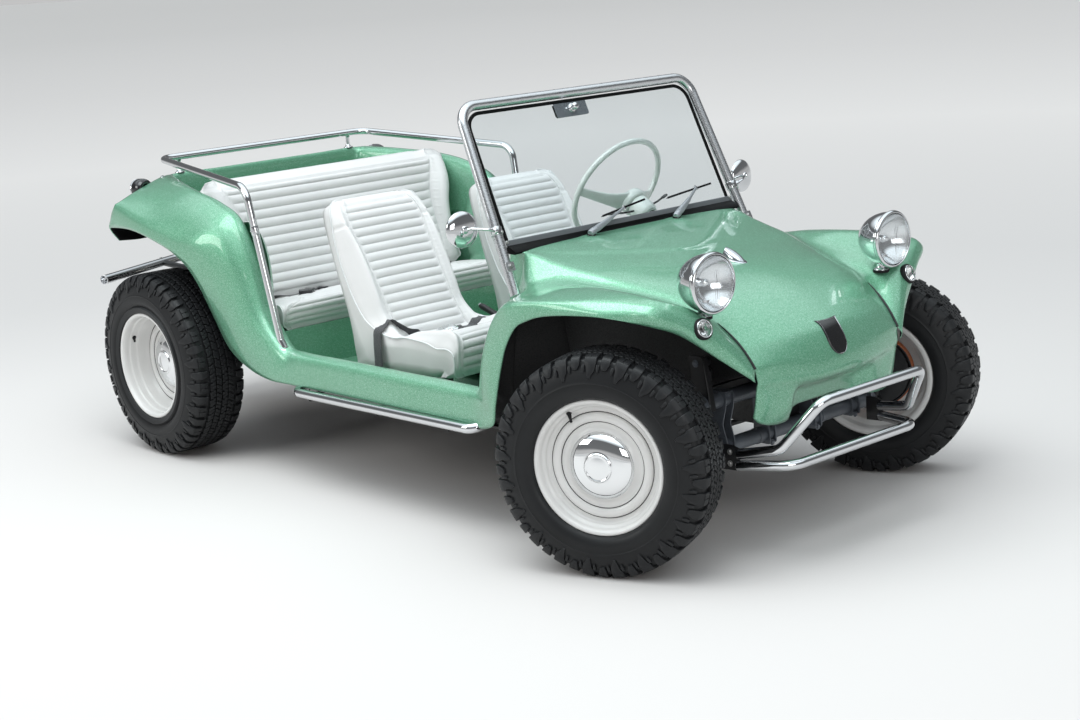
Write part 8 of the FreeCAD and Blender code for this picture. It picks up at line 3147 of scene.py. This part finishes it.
def build_wheelhouse():
    """Rounded swelling of the inner side wall over each rear wheel."""
    B = Builder()
    for s in (-1, 1):
        rows = []
        for i in range(15):
            f = i / 14.0
            rows.append([])
            for j in range(41):
                t = 2 * math.pi * j / 40
                rx, rz = 118 * f, 215 * f
                sx, sz = math.cos(t), math.sin(t)
                y = 571 - 46 * (1 - f ** 2.4) ** 0.75
                rows[-1].append((-752 + rx * math.copysign(abs(sx) ** 0.85, sx), s * y, 700 + rz * math.copysign(abs(sz) ** 0.85, sz)))
        B.grid(np.array(rows), flip=s > 0)
    ob = B.object("wheelhouse_swellings", weld=0.3)
    bm = bmesh.new()
    bm.from_mesh(ob.data)
    for f in bm.faces:
        pass
    bmesh.ops.recalc_face_normals(bm, faces=bm.faces)
    bm.to_mesh(ob.data)
    bm.free()
    finish_piece(ob, "chassis", "green", "body_green")


def build_pan_detail():
    """Ribs pressed in the floor plates and the flange along their edge."""
    B = Builder()
    for s in (-1, 1):
        for k in range(7):
            x = -520 + k * 170
            sweep(B, arc_path([(x, s * 120, 333.5), (x + 20, s * 520, 333.5)], [0, 0], 20), 9, 10, flat=(1.0, 0.5))
        rounded_plate(B, [(20 - 670, s * 575, 330), (20 + 668, s * 575, 330), (20 + 668, s * 588, 330), (20 - 670, s * 588, 330)], (0, 0, 9), corner=4)
        for k in range(11):
            hex_bolt(B, (-600 + k * 124, s * 581, 330), (0, 0, -1), 6, 4)
    close_up(B, "floor_ribs", "pan_black", "chassis_black")


build_beam()
build_rear_gear()
build_engine()
build_wheelhouse()
build_pan_detail()


# --------------------------------------------------------------- stage, view
def build_stage():
    floor = Builder()
    s = 900000.0
    floor.grid(np.array([[(x, y, 0) for y in (-s, 0, s)] for x in (-s, 0, s)]))
    ob = floor.object("studio_floor", smooth=False)
    mat, nt, b = new_mat("studio_floor")
    vec = coords(nt)
    # painted light: paler in the middle of the sweep as a painted pool of light, greyer a long way off as painted
    # falloff
    shift = nt.nodes.new("ShaderNodeVectorMath")
    shift.operation = "SUBTRACT"
    shift.inputs[1].default_value = (1.6, -1.3, 0)
    nt.links.new(vec, shift.inputs[0])
    far = nt.nodes.new("ShaderNodeVectorMath")
    far.operation = "LENGTH"
    nt.links.new(shift.outputs[0], far.inputs[0])
    lg = nt.nodes.new("ShaderNodeMath")
    lg.operation = "LOGARITHM"
    lg.inputs[1].default_value = 10.0
    nt.links.new(far.outputs["Value"], lg.inputs[0])
    fac = map_range(nt, lg.outputs[0], 0.3, 2.0, 0.0, 1.0)
    tone = ramp(nt, fac, FLOOR_PAINTED_FALLOFF)
    nt.links.new(tone, b.inputs["Base Color"])
    b.inputs["Roughness"].default_value = 0.85
    b.inputs["Specular IOR Level"].default_value = 0.12
    ob.data.materials.append(mat)
    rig.stage(ob)
    return ob


# floor tones by distance from the middle: painted pool of light and its falloff
FLOOR_PAINTED_FALLOFF = [(0.0, (0.665, 0.635, 0.62)), (0.12, (0.665, 0.635, 0.62)), (0.3, (0.70, 0.665, 0.648)),
               (0.5, (0.87, 0.815, 0.785)), (0.66, (0.76, 0.71, 0.685)), (0.86, (0.67, 0.628, 0.605)), (1.0, (0.65, 0.61, 0.587))]
build_stage()
SCENE.view_settings.view_transform = "Standard"
SCENE.view_settings.look = "None"
SCENE.view_settings.exposure = 0.0
world = bpy.data.worlds.new("studio")
SCENE.world = world
world.use_nodes = True
wn = world.node_tree
wn.nodes.clear()
wo = wn.nodes.new("ShaderNodeOutputWorld")
bg = wn.nodes.new("ShaderNodeBackground")
wtc = wn.nodes.new("ShaderNodeTexCoord")
wsep = wn.nodes.new("ShaderNodeSeparateXYZ")
wn.links.new(wtc.outputs["Generated"], wsep.inputs[0])
# a large soft ceiling light, dark walls, a grey band along the horizon
sky = ramp(wn, wsep.outputs[2], [(0.0, (0.545, 0.545, 0.545)), (0.07, (0.545, 0.545, 0.545)), (0.15, (0.17, 0.175, 0.18)),
                                 (0.52, (0.15, 0.155, 0.16)), (0.68, (1.24, 1.36, 1.42)), (1.0, (1.32, 1.44, 1.50))])
both = sky
wn.links.new(both, bg.inputs[0])
bg.inputs[1].default_value = 1.0
wn.links.new(bg.outputs[0], wo.inputs[0])


def area(name, loc, target, size, size_y, power, color=(1, 1, 1)):
    li = bpy.data.lights.new(name, "AREA")
    li.shape = "RECTANGLE"
    li.size, li.size_y = size, size_y
    li.energy = power
    li.color = color
    ob = bpy.data.objects.new(name, li)
    ob.location = loc
    d = Vector(target) - Vector(loc)
    ob.rotation_euler = d.to_track_quat("-Z", "Y").to_euler()
    SCENE.collection.objects.link(ob)
    return ob


area("top_softbox", (0.5, -1.3, 4.3), (0.1, 0, 0), 4.6, 2.2, 118, (0.93, 0.99, 1.0))
area("side_softbox", (-2.2, -5.2, 3.0), (-0.2, 0, 0.5), 3.4, 1.6, 88, (0.98, 1.0, 0.985))
area("front_softbox", (6.0, -2.6, 2.2), (0.8, 0.2, 0.2), 3.0, 1.6, 52)

cam = bpy.data.cameras.new("camera")
cam.sensor_width = 36.0
cam.lens = 1815.57 / 1080.0 * 36.0
cam.clip_end = 200.0
co = bpy.data.objects.new("camera", cam)
SCENE.collection.objects.link(co)
a, e, r = math.radians(48.59), math.radians(12.63), math.radians(-3.86)
fw = Vector((-math.sin(a) * math.cos(e), math.cos(a) * math.cos(e), -math.sin(e)))
rt = Vector((math.cos(a), math.sin(a), 0))
up = rt.cross(fw)
rt2 = rt * math.cos(r) + up * math.sin(r)
up2 = -rt * math.sin(r) + up * math.cos(r)
mw = Matrix((rt2, up2, -fw)).transposed().to_4x4()
mw.translation = Vector(tuple(place((4974.58, -4222.23, 1818.87))[0]))
co.matrix_world = mw
SCENE.camera = co

import json
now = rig.bounds()
try:
    with open("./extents.json", "w") as fh:
        json.dump({"cad": [list(map(float, c)) for c in CAD_BOX], "visual": [list(map(float, c)) for c in now]}, fh)
except OSError:
    pass
